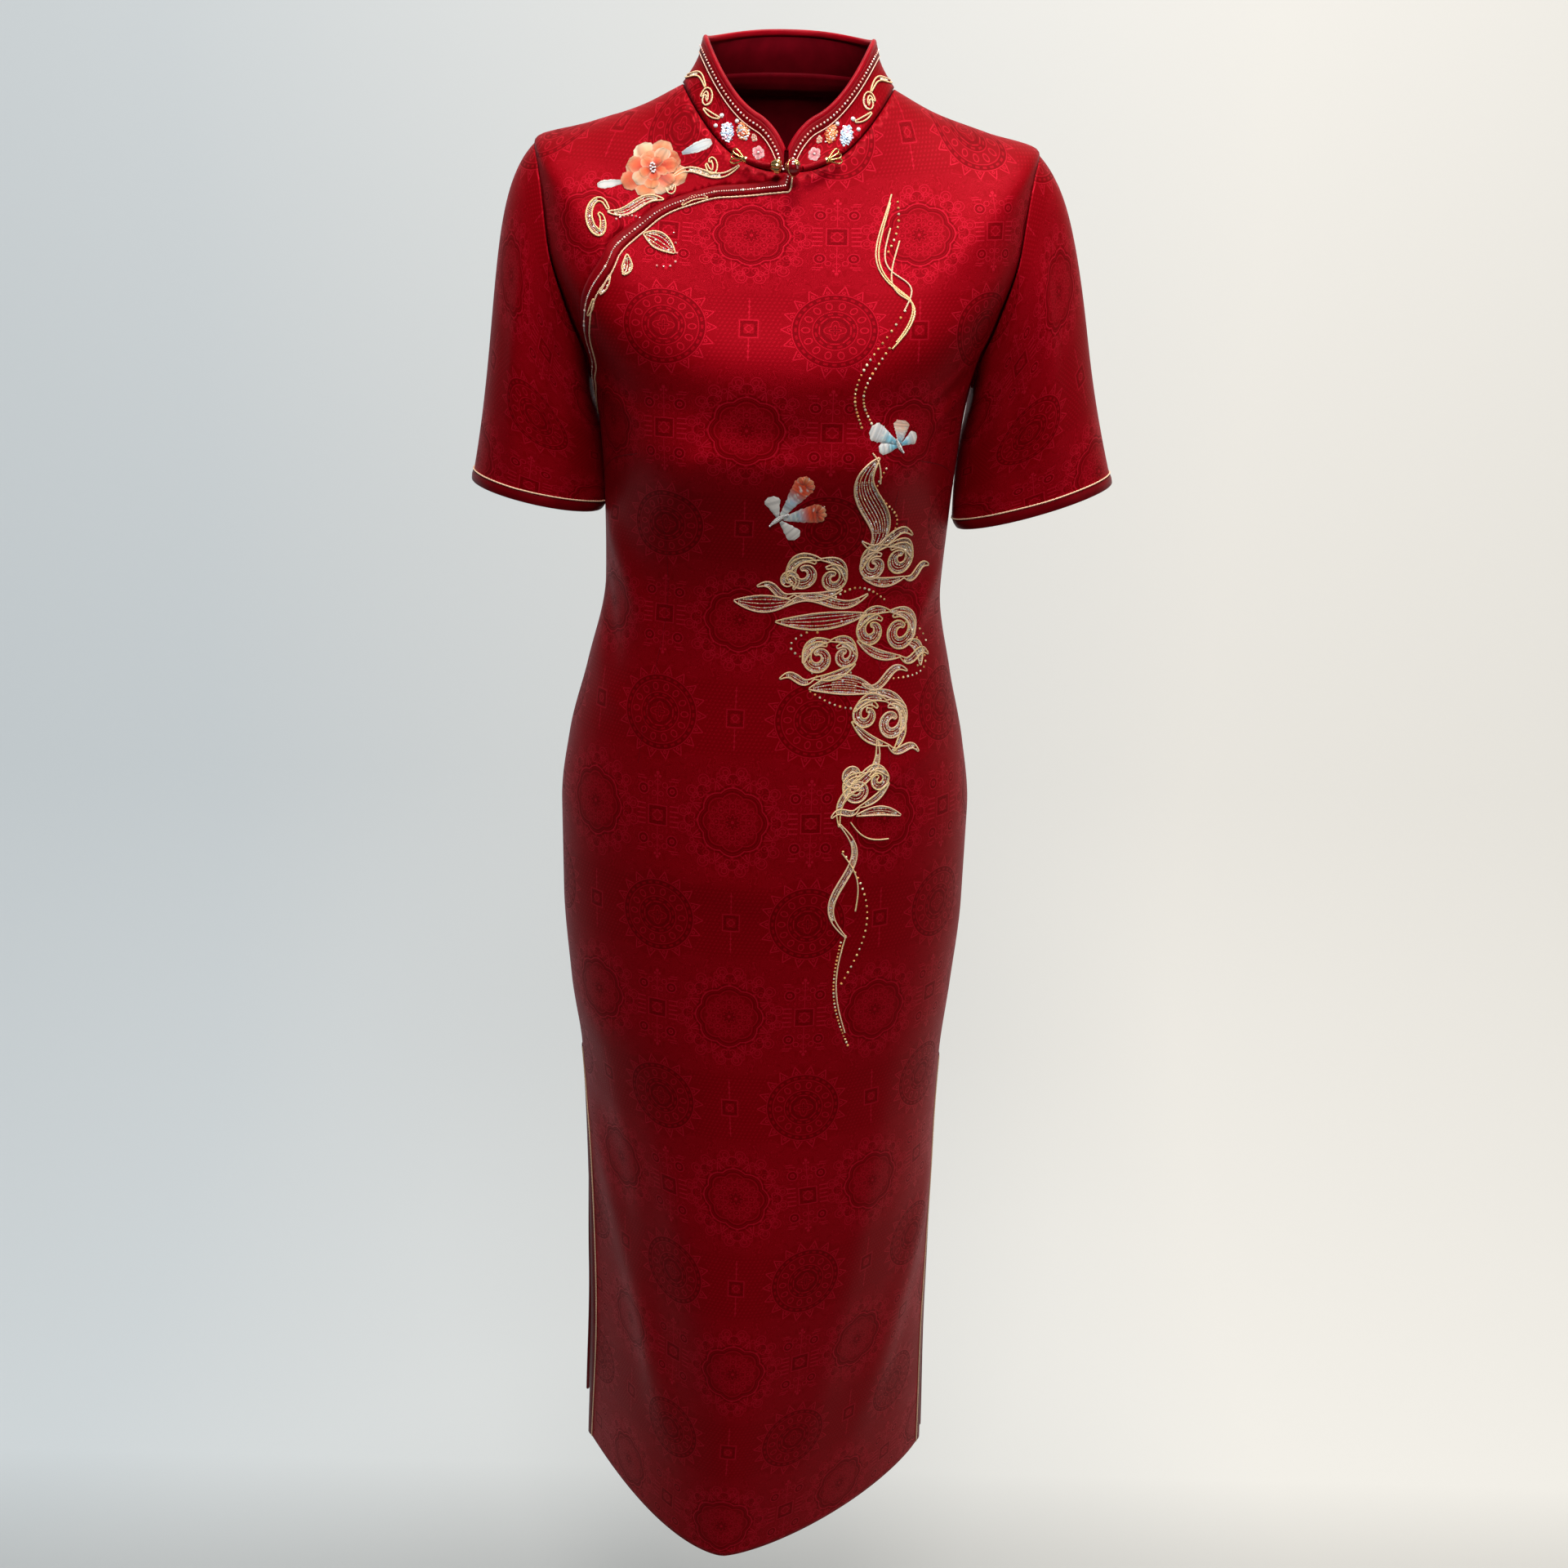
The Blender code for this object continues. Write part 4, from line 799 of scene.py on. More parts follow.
def lobed_medallion(x, y):
    """(light, dark, extent) of the eight-lobed medallion with its wreath of scroll heads."""
    r, angle = polar(x, y)
    lobe = (angle * 4).math("COSINE")
    edge = r - abs(lobe) * 0.27
    across, out = sector(r, angle, 8)
    side = abs(across)
    gap_across, gap_out = sector(r, angle, 8, math.pi / 8)
    gap_side = abs(gap_across)
    rosette = r - (angle * 8).math("COSINE") * 0.13
    inner = edge.under(2.0)
    light = any_of(
        edge.line(2.46, 0.045), edge.line(2.28, 0.025), edge.line(2.02, 0.03), rosette.line(0.52, 0.04),
        r.under(0.13), ring(side, out, 0.0, 1.28, 0.25), spot(side, out, 0.0, 1.28, 0.09),
        (side - (out - 1.50) * 0.62).line(0.0, 0.03) * out.between(1.5, 2.0),
        (gap_side * 1.6 + abs(gap_out - 1.0)).line(0.36, 0.035) * inner,
        (gap_side * 1.2 - (2.05 - gap_out) * 0.55).line(0.0, 0.03) * gap_out.between(1.55, 2.0),
        # the wreath: scroll heads, and light spear tips between them
        ring(side, out, 0.33, 3.22, 0.24), ring(side, out, 0.0, 3.38, 0.44) * out.over(3.30),
        spot(side, out, 0.33, 3.22, 0.07), (side + abs(out - 2.86) * 0.9).under(0.17),
        (gap_side - (3.46 - gap_out) * 0.50).line(0.0, 0.045) * gap_out.between(2.62, 3.46),
        gap_side.under(0.05) * gap_out.between(2.72, 3.16),
        ring(side, out, 0.40, 1.62, 0.20, 0.03), ring(gap_side, gap_out, 0.0, 0.98, 0.14, 0.03),
        ring(side, out, 0.66, 3.92, 0.42, 0.03), ring(side, out, 0.60, 3.90, 0.22, 0.03),
        ring(gap_side, gap_out, 0.26, 3.56, 0.17, 0.03),
        ring(side, out, 0.72, 3.50, 0.20, 0.03),
    )
    dark = any_of(edge.between(2.12, 2.38), rosette.between(0.20, 0.46), edge.line(2.62, 0.06),
                  edge.under(2.40) * 0.30, spot(side, out, 0.0, 3.38, 0.38) * out.over(3.1) * 0.6)
    return light, dark, r


def ringed_medallion(x, y):
    """(light, dark, extent) of the round medallion: a toothed edge, rings of blocks and petals, a star."""
    r, angle = polar(x * 0.90, y * 0.90)
    tooth, tooth_out = sector(r, angle, 18)
    block, block_out = sector(r, angle, 28)
    petal, petal_out = sector(r, angle, 14)
    corner, eight = sector(r, angle, 8)
    small, small_out = sector(r, angle, 12, math.pi / 12)
    star = r - (angle * 4).math("COSINE") * 0.16
    petal_oval = ((petal * petal) * 14 + (petal_out - 1.86) * (petal_out - 1.86) * 8).math("SQRT")
    light = any_of(
        (abs(tooth) - (3.44 - tooth_out) * 0.52).line(0.0, 0.045) * tooth_out.between(2.80, 3.44),
        ring(abs(tooth), tooth_out, 0.0, 2.92, 0.09, 0.03), r.line(2.74, 0.025),
        abs(block).under(0.15) * block_out.between(2.42, 2.58), r.line(2.28, 0.028),
        petal_oval.line(0.72, 0.14, 0.05), r.line(1.43, 0.028),
        abs(small).under(0.17) * small_out.between(1.16, 1.30),
        eight.line(1.0, 0.034) * abs(corner).under(0.30), star.line(0.56, 0.035), star.line(0.22, 0.04),
    )
    dark = any_of(r.between(2.34, 2.68), r.between(1.08, 1.38), r.between(0.72, 0.94), star.under(0.16),
                  r.under(2.70) * 0.35)
    return light, dark, r


def square_with_bars(x, y):
    """(light, dark) of the small square, the bars beside it and the stems and flowers over and under it."""
    side, rise = abs(x), abs(y)
    square = side.max(rise)
    r, angle = polar(x, y)
    flower = r - (angle * 4).math("COSINE") * 0.07
    bars = abs(rise.wrapped(0.40)).under(0.055) * side.between(1.02, 2.20) * rise.under(0.95)
    light = any_of(
        square.line(0.78, 0.035), flower.line(0.36, 0.04), bars, side.under(0.035) * rise.between(0.9, 3.3),
        ring(side, rise, 0.29, 1.72, 0.19), ring(side, rise, 1.22, 1.98, 0.44),
        ring(side, rise, 1.22, 1.98, 0.17), ring(side, rise, 0.62, 2.42, 0.21),
        spot(side, rise, 0.0, 3.34, 0.14), spot(side, rise, 0.20, 3.08, 0.11),
        (side + abs(rise - 2.62) * 1.4).line(0.30, 0.035), side.between(0.95, 1.75) * rise.line(2.78, 0.04),
        side.between(1.15, 1.75) * rise.line(2.98, 0.04),
    )
    flower_head = spot(side, rise, 1.22, 1.98, 0.38) - spot(side, rise, 1.22, 1.98, 0.22)
    dark = any_of(square.between(0.46, 0.70), flower_head)
    return light, dark


def square_in_diaper(x, y):
    """(light, dark) of the square that stands in the dotted ground, with its leafy stem."""
    side, rise = abs(x), abs(y)
    square = side.max(rise * 0.92)
    leaf = (side * 1.3 + abs(rise.wrapped(0.46))).under(0.14) * rise.between(0.95, 2.5)
    light = any_of(square.line(0.66, 0.03), side.under(0.03) * rise.between(0.8, 2.6), leaf,
                   (side + rise).line(0.30, 0.04))
    return light, square.between(0.36, 0.58)


def brocade_pattern(tree, u, v):
    """(tone from 0, dark, through 0.4, the ground, to 1, light) of the woven pattern at (u, v) in cm."""
    x, y = u.wrapped(REPEAT_ACROSS), v.wrapped(REPEAT_DOWN)
    x_half = (u - REPEAT_ACROSS / 2).wrapped(REPEAT_ACROSS)
    y_half = (v - REPEAT_DOWN / 2).wrapped(REPEAT_DOWN)
    light_a, dark_a, r_a = lobed_medallion(x, y)
    light_b, dark_b, r_b = ringed_medallion(x_half, y_half)
    light_s, dark_s = square_with_bars(x_half, y)
    light_d, dark_d = square_in_diaper(x, y_half)
    clear_a, clear_b = r_a.over(4.3), r_b.over(3.42)
    dots_x, dots_y = (u + v * 0.5).wrapped(0.34), v.wrapped(0.30)
    dots = spot(dots_x, dots_y, 0.0, 0.0, 0.085)
    diaper = abs(y_half).under(3.0, 0.2) * clear_b * abs(x).max(abs(y_half) * 0.9).over(0.8)
    scrolls = tree.nodes.new("ShaderNodeTexNoise")
    scrolls.noise_dimensions = "2D"
    scrolls.inputs["Scale"].default_value = 1.35
    scrolls.inputs["Detail"].default_value = 0.0
    scrolls.inputs["Distortion"].default_value = 0.9
    place = tree.nodes.new("ShaderNodeCombineXYZ")
    tree.links.new(abs(x).socket, place.inputs[0])
    tree.links.new((abs(y) + 3.7).socket, place.inputs[1])
    tree.links.new(place.outputs[0], scrolls.inputs["Vector"])
    scroll = Field(tree, scrolls.outputs[0]).wrapped(0.11)
    vines = scroll.line(0.0, 0.016, 0.010)
    vine_ground = vines * (1 - diaper) * clear_b * r_a.over(2.7) * 0.6
    vine_heart = vines * r_a.under(2.0) * 0.6
    light = any_of(light_a, light_b, light_s * clear_a, light_d * clear_b, vine_ground, vine_heart,
                   dots * diaper * 0.45)
    dark = any_of(dark_a, dark_b, dark_s * clear_a, dark_d, diaper * 0.08)
    return (0.40 + light * 0.60 - dark * 0.40).max(0.0).min(1.0)


# ---------------------------------------------------------------- materials

def shader_of(name):
    material = bpy.data.materials.new(name)
    material.use_nodes = True
    return material, material.node_tree, material.node_tree.nodes["Principled BSDF"]


def settle(shader, **values):
    """Sets the shader's own sockets. A name's underscores stand for spaces."""
    for name, value in values.items():
        shader.inputs[name.replace("_", " ")].default_value = value


def uv_vector(tree):
    node = tree.nodes.new("ShaderNodeUVMap")
    node.uv_map = "cloth"
    return node.outputs[0]


def object_vector(tree):
    return tree.nodes.new("ShaderNodeTexCoord").outputs["Object"]


def thread_colour(tree):
    """The colour that each point of a thread, cord or bead carries."""
    node = tree.nodes.new("ShaderNodeVertexColor")
    node.layer_name = "thread"
    return node.outputs[0]


def uv_fields(tree, scale=100.0):
    """The cloth's flat coordinates, in centimetres unless scaled otherwise."""
    parts = tree.nodes.new("ShaderNodeSeparateXYZ")
    tree.links.new(uv_vector(tree), parts.inputs[0])
    return tuple(Field(tree, parts.outputs[i]) * scale for i in (0, 1))


def ramp(tree, field, stops):
    """A colour for each value of a field, from (place, colour) stops."""
    node = tree.nodes.new("ShaderNodeValToRGB")
    elements = node.color_ramp.elements
    while len(elements) < len(stops):
        elements.new(0.5)
    for element, (place, colour) in zip(elements, stops):
        element.position = place
        element.color = (*colour, 1)
    tree.links.new(field.socket, node.inputs[0])
    return node.outputs[0]


def noise(tree, vector, scale, detail=2.0):
    node = tree.nodes.new("ShaderNodeTexNoise")
    node.inputs["Scale"].default_value = scale
    node.inputs["Detail"].default_value = detail
    tree.links.new(vector, node.inputs["Vector"])
    return Field(tree, node.outputs[0])


def bump(tree, shader, height, distance, strength=1.0):
    node = tree.nodes.new("ShaderNodeBump")
    node.inputs["Distance"].default_value = distance
    node.inputs["Strength"].default_value = strength
    tree.links.new(height.socket, node.inputs["Height"])
    tree.links.new(node.outputs[0], shader.inputs["Normal"])


def brocade_material():
    material, tree, shader = shader_of("brocade")
    u, v = uv_fields(tree)
    tone = brocade_pattern(tree, u - PATTERN_START[0], v - PATTERN_START[1])
    slub = noise(tree, uv_vector(tree), 26.0, 3.0)
    tree.links.new(ramp(tree, (tone + (slub - 0.5) * 0.10), BROCADE_TONES), shader.inputs["Base Color"])
    gloss = tone * -0.14 + 0.53 + (slub - 0.5) * 0.10
    tree.links.new(gloss.socket, shader.inputs["Roughness"])
    settle(shader, Metallic=0.18, Specular_IOR_Level=0.07, Specular_Tint=(1.0, 0.10, 0.30, 1))
    settle(shader, Sheen_Weight=0.02, Sheen_Roughness=0.4, Sheen_Tint=(1.0, 0.08, 0.14, 1))
    # The relief is the ribs alone: one of the motifs hardly shows, and slows the render by a third.
    ribs = (u * (2 * math.pi / WEAVE_PITCH)).math("SINE") * (v * (2 * math.pi / WEAVE_PITCH)).math("SINE")
    bump(tree, shader, ribs * 0.25, 0.00016, 0.7)
    return material


def satin_material(name, colour, roughness):
    """Plain satin: a smooth weave with faint slubs along it and a soft gloss."""
    material, tree, shader = shader_of(name)
    vector = uv_vector(tree)
    slub = noise(tree, vector, 60.0, 3.0)
    dark = tuple(channel * 0.72 for channel in colour)
    bright = tuple(min(1.0, channel * 1.18) for channel in colour)
    tree.links.new(ramp(tree, slub, ((0.25, dark), (0.75, bright))), shader.inputs["Base Color"])
    tree.links.new((slub * 0.14 + (roughness - 0.07)).socket, shader.inputs["Roughness"])
    settle(shader, Specular_IOR_Level=0.10, Specular_Tint=(1.0, 0.35, 0.40, 1))
    settle(shader, Sheen_Weight=0.03, Sheen_Roughness=0.4, Sheen_Tint=(1.0, 0.2, 0.25, 1))
    u, v = uv_fields(tree)
    ribs = ((u + v * 0.35) * (2 * math.pi / 0.06)).math("SINE")
    bump(tree, shader, ribs * 0.3 + slub, 0.00006)
    return material


def thread_material(name, metallic, roughness, twist_pitch=0.0012, sparkle=0.0):
    """Thread or cord that takes its colour from each point, with the strands' twist as stripes, whose darker
    half is painted shade in the grooves between strands and between stitches.
    """
    material, tree, shader = shader_of(name)
    u, v = uv_fields(tree, 1.0)
    strands = ((v / twist_pitch + u) * (2 * math.pi)).math("SINE")
    glint = noise(tree, uv_vector(tree), 900.0, 1.0)
    shade = tree.nodes.new("ShaderNodeMix")
    shade.data_type = "RGBA"
    shade.blend_type = "MULTIPLY"
    shade.inputs[0].default_value = 1.0
    tree.links.new(thread_colour(tree), shade.inputs[6])
    # painted shade: the colour darkens in the grooves of the twist, beside the bump of the strands
    painted_groove_shade = ramp(tree, strands * 0.5 + 0.5, ((0.0, (0.84, 0.78, 0.72)), (1.0, (1, 1, 1))))
    tree.links.new(painted_groove_shade, shade.inputs[7])
    tree.links.new(shade.outputs[2], shader.inputs["Base Color"])
    settle(shader, Metallic=metallic)
    tree.links.new((glint * (0.30 + sparkle) + (roughness - 0.15)).socket, shader.inputs["Roughness"])
    settle(shader, Sheen_Weight=0.55, Sheen_Roughness=0.35, Sheen_Tint=(1.0, 0.72, 0.48, 1))
    bump(tree, shader, strands, 0.00010)
    return material


def gem_material():
    """Rhinestones, sequins and seed beads: bright, smooth and coloured by each point."""
    material, tree, shader = shader_of("gems")
    tree.links.new(thread_colour(tree), shader.inputs["Base Color"])
    facets = noise(tree, object_vector(tree), 700.0, 0.0)
    tree.links.new((facets * 0.24 + 0.04).socket, shader.inputs["Roughness"])
    settle(shader, Metallic=0.06, Coat_Weight=0.6, Coat_Roughness=0.08)
    return material


def gilt_material():
    material, tree, shader = shader_of("gilt")
    worn = noise(tree, object_vector(tree), 420.0, 3.0)
    shades = ((0.3, (0.70, 0.42, 0.12)), (0.7, (0.95, 0.70, 0.30)))
    tree.links.new(ramp(tree, worn, shades), shader.inputs["Base Color"])
    tree.links.new((worn * 0.2 + 0.14).socket, shader.inputs["Roughness"])
    settle(shader, Metallic=1.0)
    bump(tree, shader, worn, 0.00008)
    return material


def enamel_material():
    """Deep red glassy enamel."""
    material, tree, shader = shader_of("enamel")
    depth = noise(tree, object_vector(tree), 300.0, 2.0)
    shades = ((0.3, (0.16, 0.001, 0.004)), (0.7, (0.34, 0.004, 0.010)))
    tree.links.new(ramp(tree, depth, shades), shader.inputs["Base Color"])
    tree.links.new((depth * 0.06 + 0.05).socket, shader.inputs["Roughness"])
    settle(shader, Coat_Weight=0.7, Coat_Roughness=0.04)
    return material


REPEAT_ACROSS, REPEAT_DOWN = 12.1, 16.5  # the woven pattern's repeat, in centimetres
PATTERN_START = (-2.3, 11.0)  # where a lobed medallion's middle lies
WEAVE_PITCH = 0.11
BROCADE_TONES = (
    (0.0, (0.150, 0.0003, 0.0016)), (0.40, (0.218, 0.0006, 0.0030)), (0.70, (0.290, 0.0018, 0.0070)),
    (1.0, (0.390, 0.0050, 0.0160)),
)
GOLD = (1.00, 0.68, 0.46)


# ---------------------------------------------------------------- cloth coordinates

def half_girth(half, down):
    """Half of a half's length round at each level, so that u = across * half_girth."""
    levels = FORM.grid[half]
    if half not in HALF_GIRTHS:
        HALF_GIRTHS[half] = np.linalg.norm(np.diff(levels, axis=1), axis=2).sum(1) / 2
    return np.interp(down, FORM.down, HALF_GIRTHS[half])


HALF_GIRTHS = {}


def on_cloth(half, flat, height=0.0):
    """Points this high over the outer face of a half, at flat (u, v) places, and their normals."""
    flat = np.asarray(flat, float)
    across = flat[..., 0] / half_girth(half, flat[..., 1])
    normals = FORM.normals(half, across, flat[..., 1])
    lift = np.asarray(SHELL / 2 + height)
    return FORM.at(half, across, flat[..., 1]) + normals * (lift[..., None] if lift.ndim else lift), normals


def over_form(half, line, height):
    """Points this high over the outer face of a half, at (across, down) places."""
    return FORM.at(half, *line.T) + FORM.normals(half, *line.T) * (SHELL / 2 + height)


# ---------------------------------------------------------------- mesh makers

def new_mesh(name, points, faces, uv=None, colour=None, smooth=True):
    """An object from arrays: triangles or quads, with a UV and a colour for each point."""
    points, faces = np.asarray(points, np.float32), np.asarray(faces, np.int32)
    mesh = bpy.data.meshes.new(name)
    mesh.vertices.add(len(points))
    mesh.vertices.foreach_set("co", points.ravel())
    mesh.loops.add(faces.size)
    mesh.loops.foreach_set("vertex_index", faces.ravel())
    mesh.polygons.add(len(faces))
    mesh.polygons.foreach_set("loop_start", np.arange(0, faces.size, faces.shape[1], dtype=np.int32))
    mesh.update(calc_edges=True)
    mesh.polygons.foreach_set("use_smooth", np.full(len(faces), smooth))
    if uv is not None:
        layer = mesh.uv_layers.new(name="cloth")
        layer.data.foreach_set("uv", np.asarray(uv, np.float32)[faces.ravel()].ravel())
    if colour is not None:
        layer = mesh.color_attributes.new("thread", "FLOAT_COLOR", "POINT")
        rgba = np.column_stack([colour, np.ones(len(points))]).astype(np.float32)
        layer.data.foreach_set("color", rgba.ravel())
    made = bpy.data.objects.new(name, mesh)
    bpy.context.scene.collection.objects.link(made)
    return made


def dress(piece, material, slot, *nodes, inner=None):
    """Gives a piece its material and its body, and hides the solids that it stands for. Its slot is not used.
    """
    piece.data.materials.append(material)
    if inner:
        piece.data.materials.append(inner)
    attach(piece, "root")
    if nodes:
        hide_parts(*nodes)


def thicken(piece, thickness, inner_material=False):
    shell = piece.modifiers.new("thickness", "SOLIDIFY")
    shell.thickness = thickness
    shell.offset = 0.0
    if inner_material:
        shell.material_offset = 1
    return piece


def grid_faces(rows, columns, closed=False):
    """Quads of a grid whose points run row by row. closed joins each row's two ends."""
    across = np.arange(columns if closed else columns - 1)
    start = (np.arange(rows - 1) * columns)[:, None]
    after = (across + 1) % columns
    return np.stack(
        [start + across, start + after, start + columns + after, start + columns + across], -1
    ).reshape(-1, 4)


def inside(points, outline):
    """Which points lie inside a closed outline."""
    x, y = points[:, :1], points[:, 1:]
    x0, y0 = outline.T
    x1, y1 = np.roll(x0, -1), np.roll(y0, -1)
    rises = (y0 > y) != (y1 > y)
    at_x = x0 + (y - y0) * (x1 - x0) / np.where(y1 == y0, 1e-12, y1 - y0)
    return (rises & (x < at_x)).sum(1) % 2 == 1


def filled_line(line, step):
    """The closed line with more points on each of its sides, no further apart than step."""
    parts = []
    for a, b in zip(line, np.roll(line, -1, axis=0)):
        count = max(1, math.ceil(np.linalg.norm(b - a) / step))
        parts.append(a + (b - a) * np.arange(count)[:, None] / count)
    return np.concatenate(parts)


def cloth_panel(name, half, outline):
    """A dense cloth panel with this outline of (across, down) points on a half of the form."""
    scale = np.array([HALF_GIRTH / 2, 1.0])
    border = filled_line(outline * scale, EDGE_STEP)
    low, high = border.min(0), border.max(0)
    columns = np.arange(low[0] + CLOTH_STEP / 2, high[0], CLOTH_STEP)
    rows = np.arange(low[1] + CLOTH_STEP / 2, high[1], CLOTH_STEP)
    lattice = np.array([(c, r) for r in rows for c in columns])
    lattice = lattice[inside(lattice, border)]
    tree = KDTree(len(border))
    for index, (x, y) in enumerate(border):
        tree.insert((x, y, 0), index)
    tree.balance()
    lattice = np.array([p for p in lattice if tree.find((*p, 0))[2] > CLOTH_STEP * 0.55])
    seeds = [Vector(p) for p in np.concatenate([border, lattice]) / CLOTH_STEP]
    places, _, faces, *_ = delaunay_2d_cdt(seeds, [], [list(range(len(border)))], 1, 1e-5)
    flat = np.array([tuple(p) for p in places]) * CLOTH_STEP
    across, down = (flat / scale).T
    points = FORM.at(half, across, down)
    uv = FORM.look_up(FORM.weave, half, across, down)
    faces = np.array(faces)
    if half == "front":
        faces = faces[:, ::-1]
    return thicken(new_mesh(name, points, faces, uv), SHELL, inner_material=True)


def sheet_of_rows(name, rows, uv=None):
    """A dense open surface through rows of points. Without a uv, it runs in metres along and across."""
    rows = np.asarray(rows)
    count, length = rows.shape[:2]
    if uv is None:
        uv = np.stack(np.meshgrid(distances(rows[0]), distances(rows[:, 0])), -1)
    return new_mesh(name, rows.reshape(-1, 3), grid_faces(count, length), np.reshape(uv, (-1, 2)))


# ---------------------------------------------------------------- pieces of the body

def front_outlines():
    """The outlines of the main front and of the small shoulder front that it closes over."""
    line = free_edge()
    main_edge = shifted(line, SEAM_GAP / 2 + SEAM_LEAN)
    small_edge = shifted(line, -SEAM_GAP / 2 - SEAM_LEAN)
    main_edge[0, 1] = small_edge[0, 1] = 0.0
    right_side = side_edge(-1, ARMPIT + EDGE_SIDE_DROP)
    main_edge[-1] = right_side[0] + (0, SEAM_GAP)
    small_edge[-1] = right_side[0] - (0, SEAM_GAP)
    shoulder = np.column_stack([1 - seam_inset(SHOULDER_LEVELS), SHOULDER_LEVELS])
    main = [
        main_edge[::-1],
        shoulder[:-1],
        armhole("front", 1)[:-1],
        side_edge(1, ARMPIT),
        right_side[:0:-1],
    ]
    small = [small_edge[::-1], shoulder[:-1] * (-1, 1), armhole("front", -1)]
    return np.concatenate(main), np.concatenate(small)


def back_outline():
    shoulder = np.column_stack([1 - seam_inset(SHOULDER_LEVELS), SHOULDER_LEVELS])
    left = np.concatenate([shoulder[:-1], armhole("back", 1)[:-1], side_edge(1, ARMPIT)])
    return np.concatenate([left, left[::-1] * (-1, 1)])


def body_panels(brocade, lining):
    main_front, small_front = front_outlines()
    for node, half, outline in (
        ("front_main", "front", main_front),
        ("front_shoulder", "front", small_front),
        ("back", "back", back_outline()),
    ):
        dress(cloth_panel(node + "_cloth", half, outline), brocade, "brocade", node, inner=lining)


def sleeve_surface(side, sign):
    """Rings of points of a sleeve, from the armhole to the hem, each going once round."""
    spec = dict(zip(SLEEVE_COLUMNS, SLEEVES[side]))
    down_front, up_back = armhole("front", sign), armhole("back", sign)[::-1]
    front_points, back_points = FORM.at("front", *down_front.T), FORM.at("back", *up_back.T)
    front_out, back_out = FORM.normals("front", *down_front.T), FORM.normals("back", *up_back.T)
    ring = np.concatenate([front_points[:-1], back_points[:-1]])
    out = np.concatenate([front_out[:-1], back_out[:-1]])
    ring[0] = (front_points[0] + back_points[-1]) / 2
    ring[ARMHOLE_POINTS // 2] = (front_points[-1] + back_points[0]) / 2
    turn = np.linspace(0, 2 * math.pi, ARMHOLE_POINTS, endpoint=False)
    topness = ((1 + np.cos(turn)) / 2)[:, None]
    away = unit(ring.mean(0) - ring)
    start = ring + out * SLEEVE_CLEARANCE * (1 - topness) ** 1.2 + away * SLEEVE_TUCK * topness
    start = start + np.array([sign, 0, 0]) * SLEEVE_SEAM_EASE * np.abs(np.sin(turn))[:, None]
    slope = math.radians(spec["slope_deg"])
    outward = np.array([sign * math.cos(slope), 0, math.sin(slope)])
    along = np.array([sign * math.sin(slope), 0, -math.cos(slope)])
    hem = np.array([spec["x"], spec["y"], spec["z"]])
    end = hem + spec["radius_across"] * np.cos(turn)[:, None] * outward
    end = end - spec["radius_deep"] * np.sin(turn)[:, None] * np.array([0, 1, 0])
    over_arm, under_arm = np.array([sign * 0.74, 0, -0.67]), np.array([sign * 0.05, 0, -1.0])
    leave = unit(topness * over_arm + (1 - topness) * under_arm)
    reach = np.linalg.norm(end - start, axis=1, keepdims=True)
    arrive = unit(topness * along + (1 - topness) * under_arm)
    first, second = start + leave * reach * 0.20, end - arrive * reach * 0.50
    part = np.linspace(0, 1, SLEEVE_RINGS)[:, None, None]
    rings = start * (1 - part) ** 3 + first * 3 * part * (1 - part) ** 2
    rings = rings + second * 3 * part**2 * (1 - part) + end * part**3
    return rings - ring_normals(rings) * sleeve_relief(side, turn, part[:, :, 0])[..., None] * sign


def ring_normals(rings):
    """Directions out of a surface made of closed rings, up to their sign."""
    round_it = np.roll(rings, -1, axis=1) - np.roll(rings, 1, axis=1)
    return unit(np.cross(np.gradient(rings, axis=0), round_it))


def sleeve_relief(side, turn, part):
    """Height of a sleeve's soft folds at each (part of its length, turn round it)."""
    out = 0.0
    for fold in named(SLEEVE_FOLD_COLUMNS, SLEEVE_FOLDS[side]):
        middle = math.radians(fold["turn_deg"]) + fold["lean"] * (part - fold["from"])
        off = (turn - middle + math.pi) % (2 * math.pi) - math.pi
        mid, half = (fold["from"] + fold["to"]) / 2, (fold["to"] - fold["from"]) / 2
        swell = np.exp(-((off / fold["wide"]) ** 2))
        out = out + fold["height"] * swell * np.exp(-(((part - mid) / half) ** 4))
    return out * np.clip(part / 0.10, 0, 1) * np.clip((1 - part) / 0.04, 0, 1)


def sleeves(brocade, lining, satin):
    """Both sleeves, each with the satin binding folded over its hem."""
    for side, sign in (("left", 1), ("right", -1)):
        rings = sleeve_surface(side, sign)
        closed = np.concatenate([rings, rings[:, :1]], axis=1)
        u = distances_across(closed)
        u = u - u[:, -1:] / 2
        v = distances(rings[:, 0])[:, None] + np.zeros_like(u)
        out = -ring_normals(rings) * sign
        uv = np.stack([u, v + SLEEVE_REPEAT_START], -1)
        piece = sheet_of_rows(f"sleeve_{side}_cloth", closed[:, ::sign], uv[:, ::sign])
        thicken(piece, SHELL, inner_material=True)
        dress(piece, brocade, "brocade", "sleeve_" + side, inner=lining)
        edge = rings[-1]
        above = leg_line(rings[::-1], BINDING_WIDTH)
        bind(f"sleeve_{side}_hem_binding", edge, above, out[-1], SHELL, satin,
             f"sleeve_binding_{side}", closed=True)
        place = leg_line(rings[::-1], BINDING_WIDTH + CORD_BESIDE)
        EDGE_CORDS[f"sleeve_{side}"] = close(place + out[-1] * (SHELL / 2 + EDGE_CORD_LIFT))


def leg_line(rings, distance):
    """The line this far in from the first ring, measured along each column of points."""
    length = distances_down(rings)
    line = np.empty_like(rings[0])
    for column in range(rings.shape[1]):
        for axis in range(3):
            line[column, axis] = np.interp(distance, length[:, column], rings[:, column, axis])
    return line


def close(line):
    return np.concatenate([line, line[:1]])


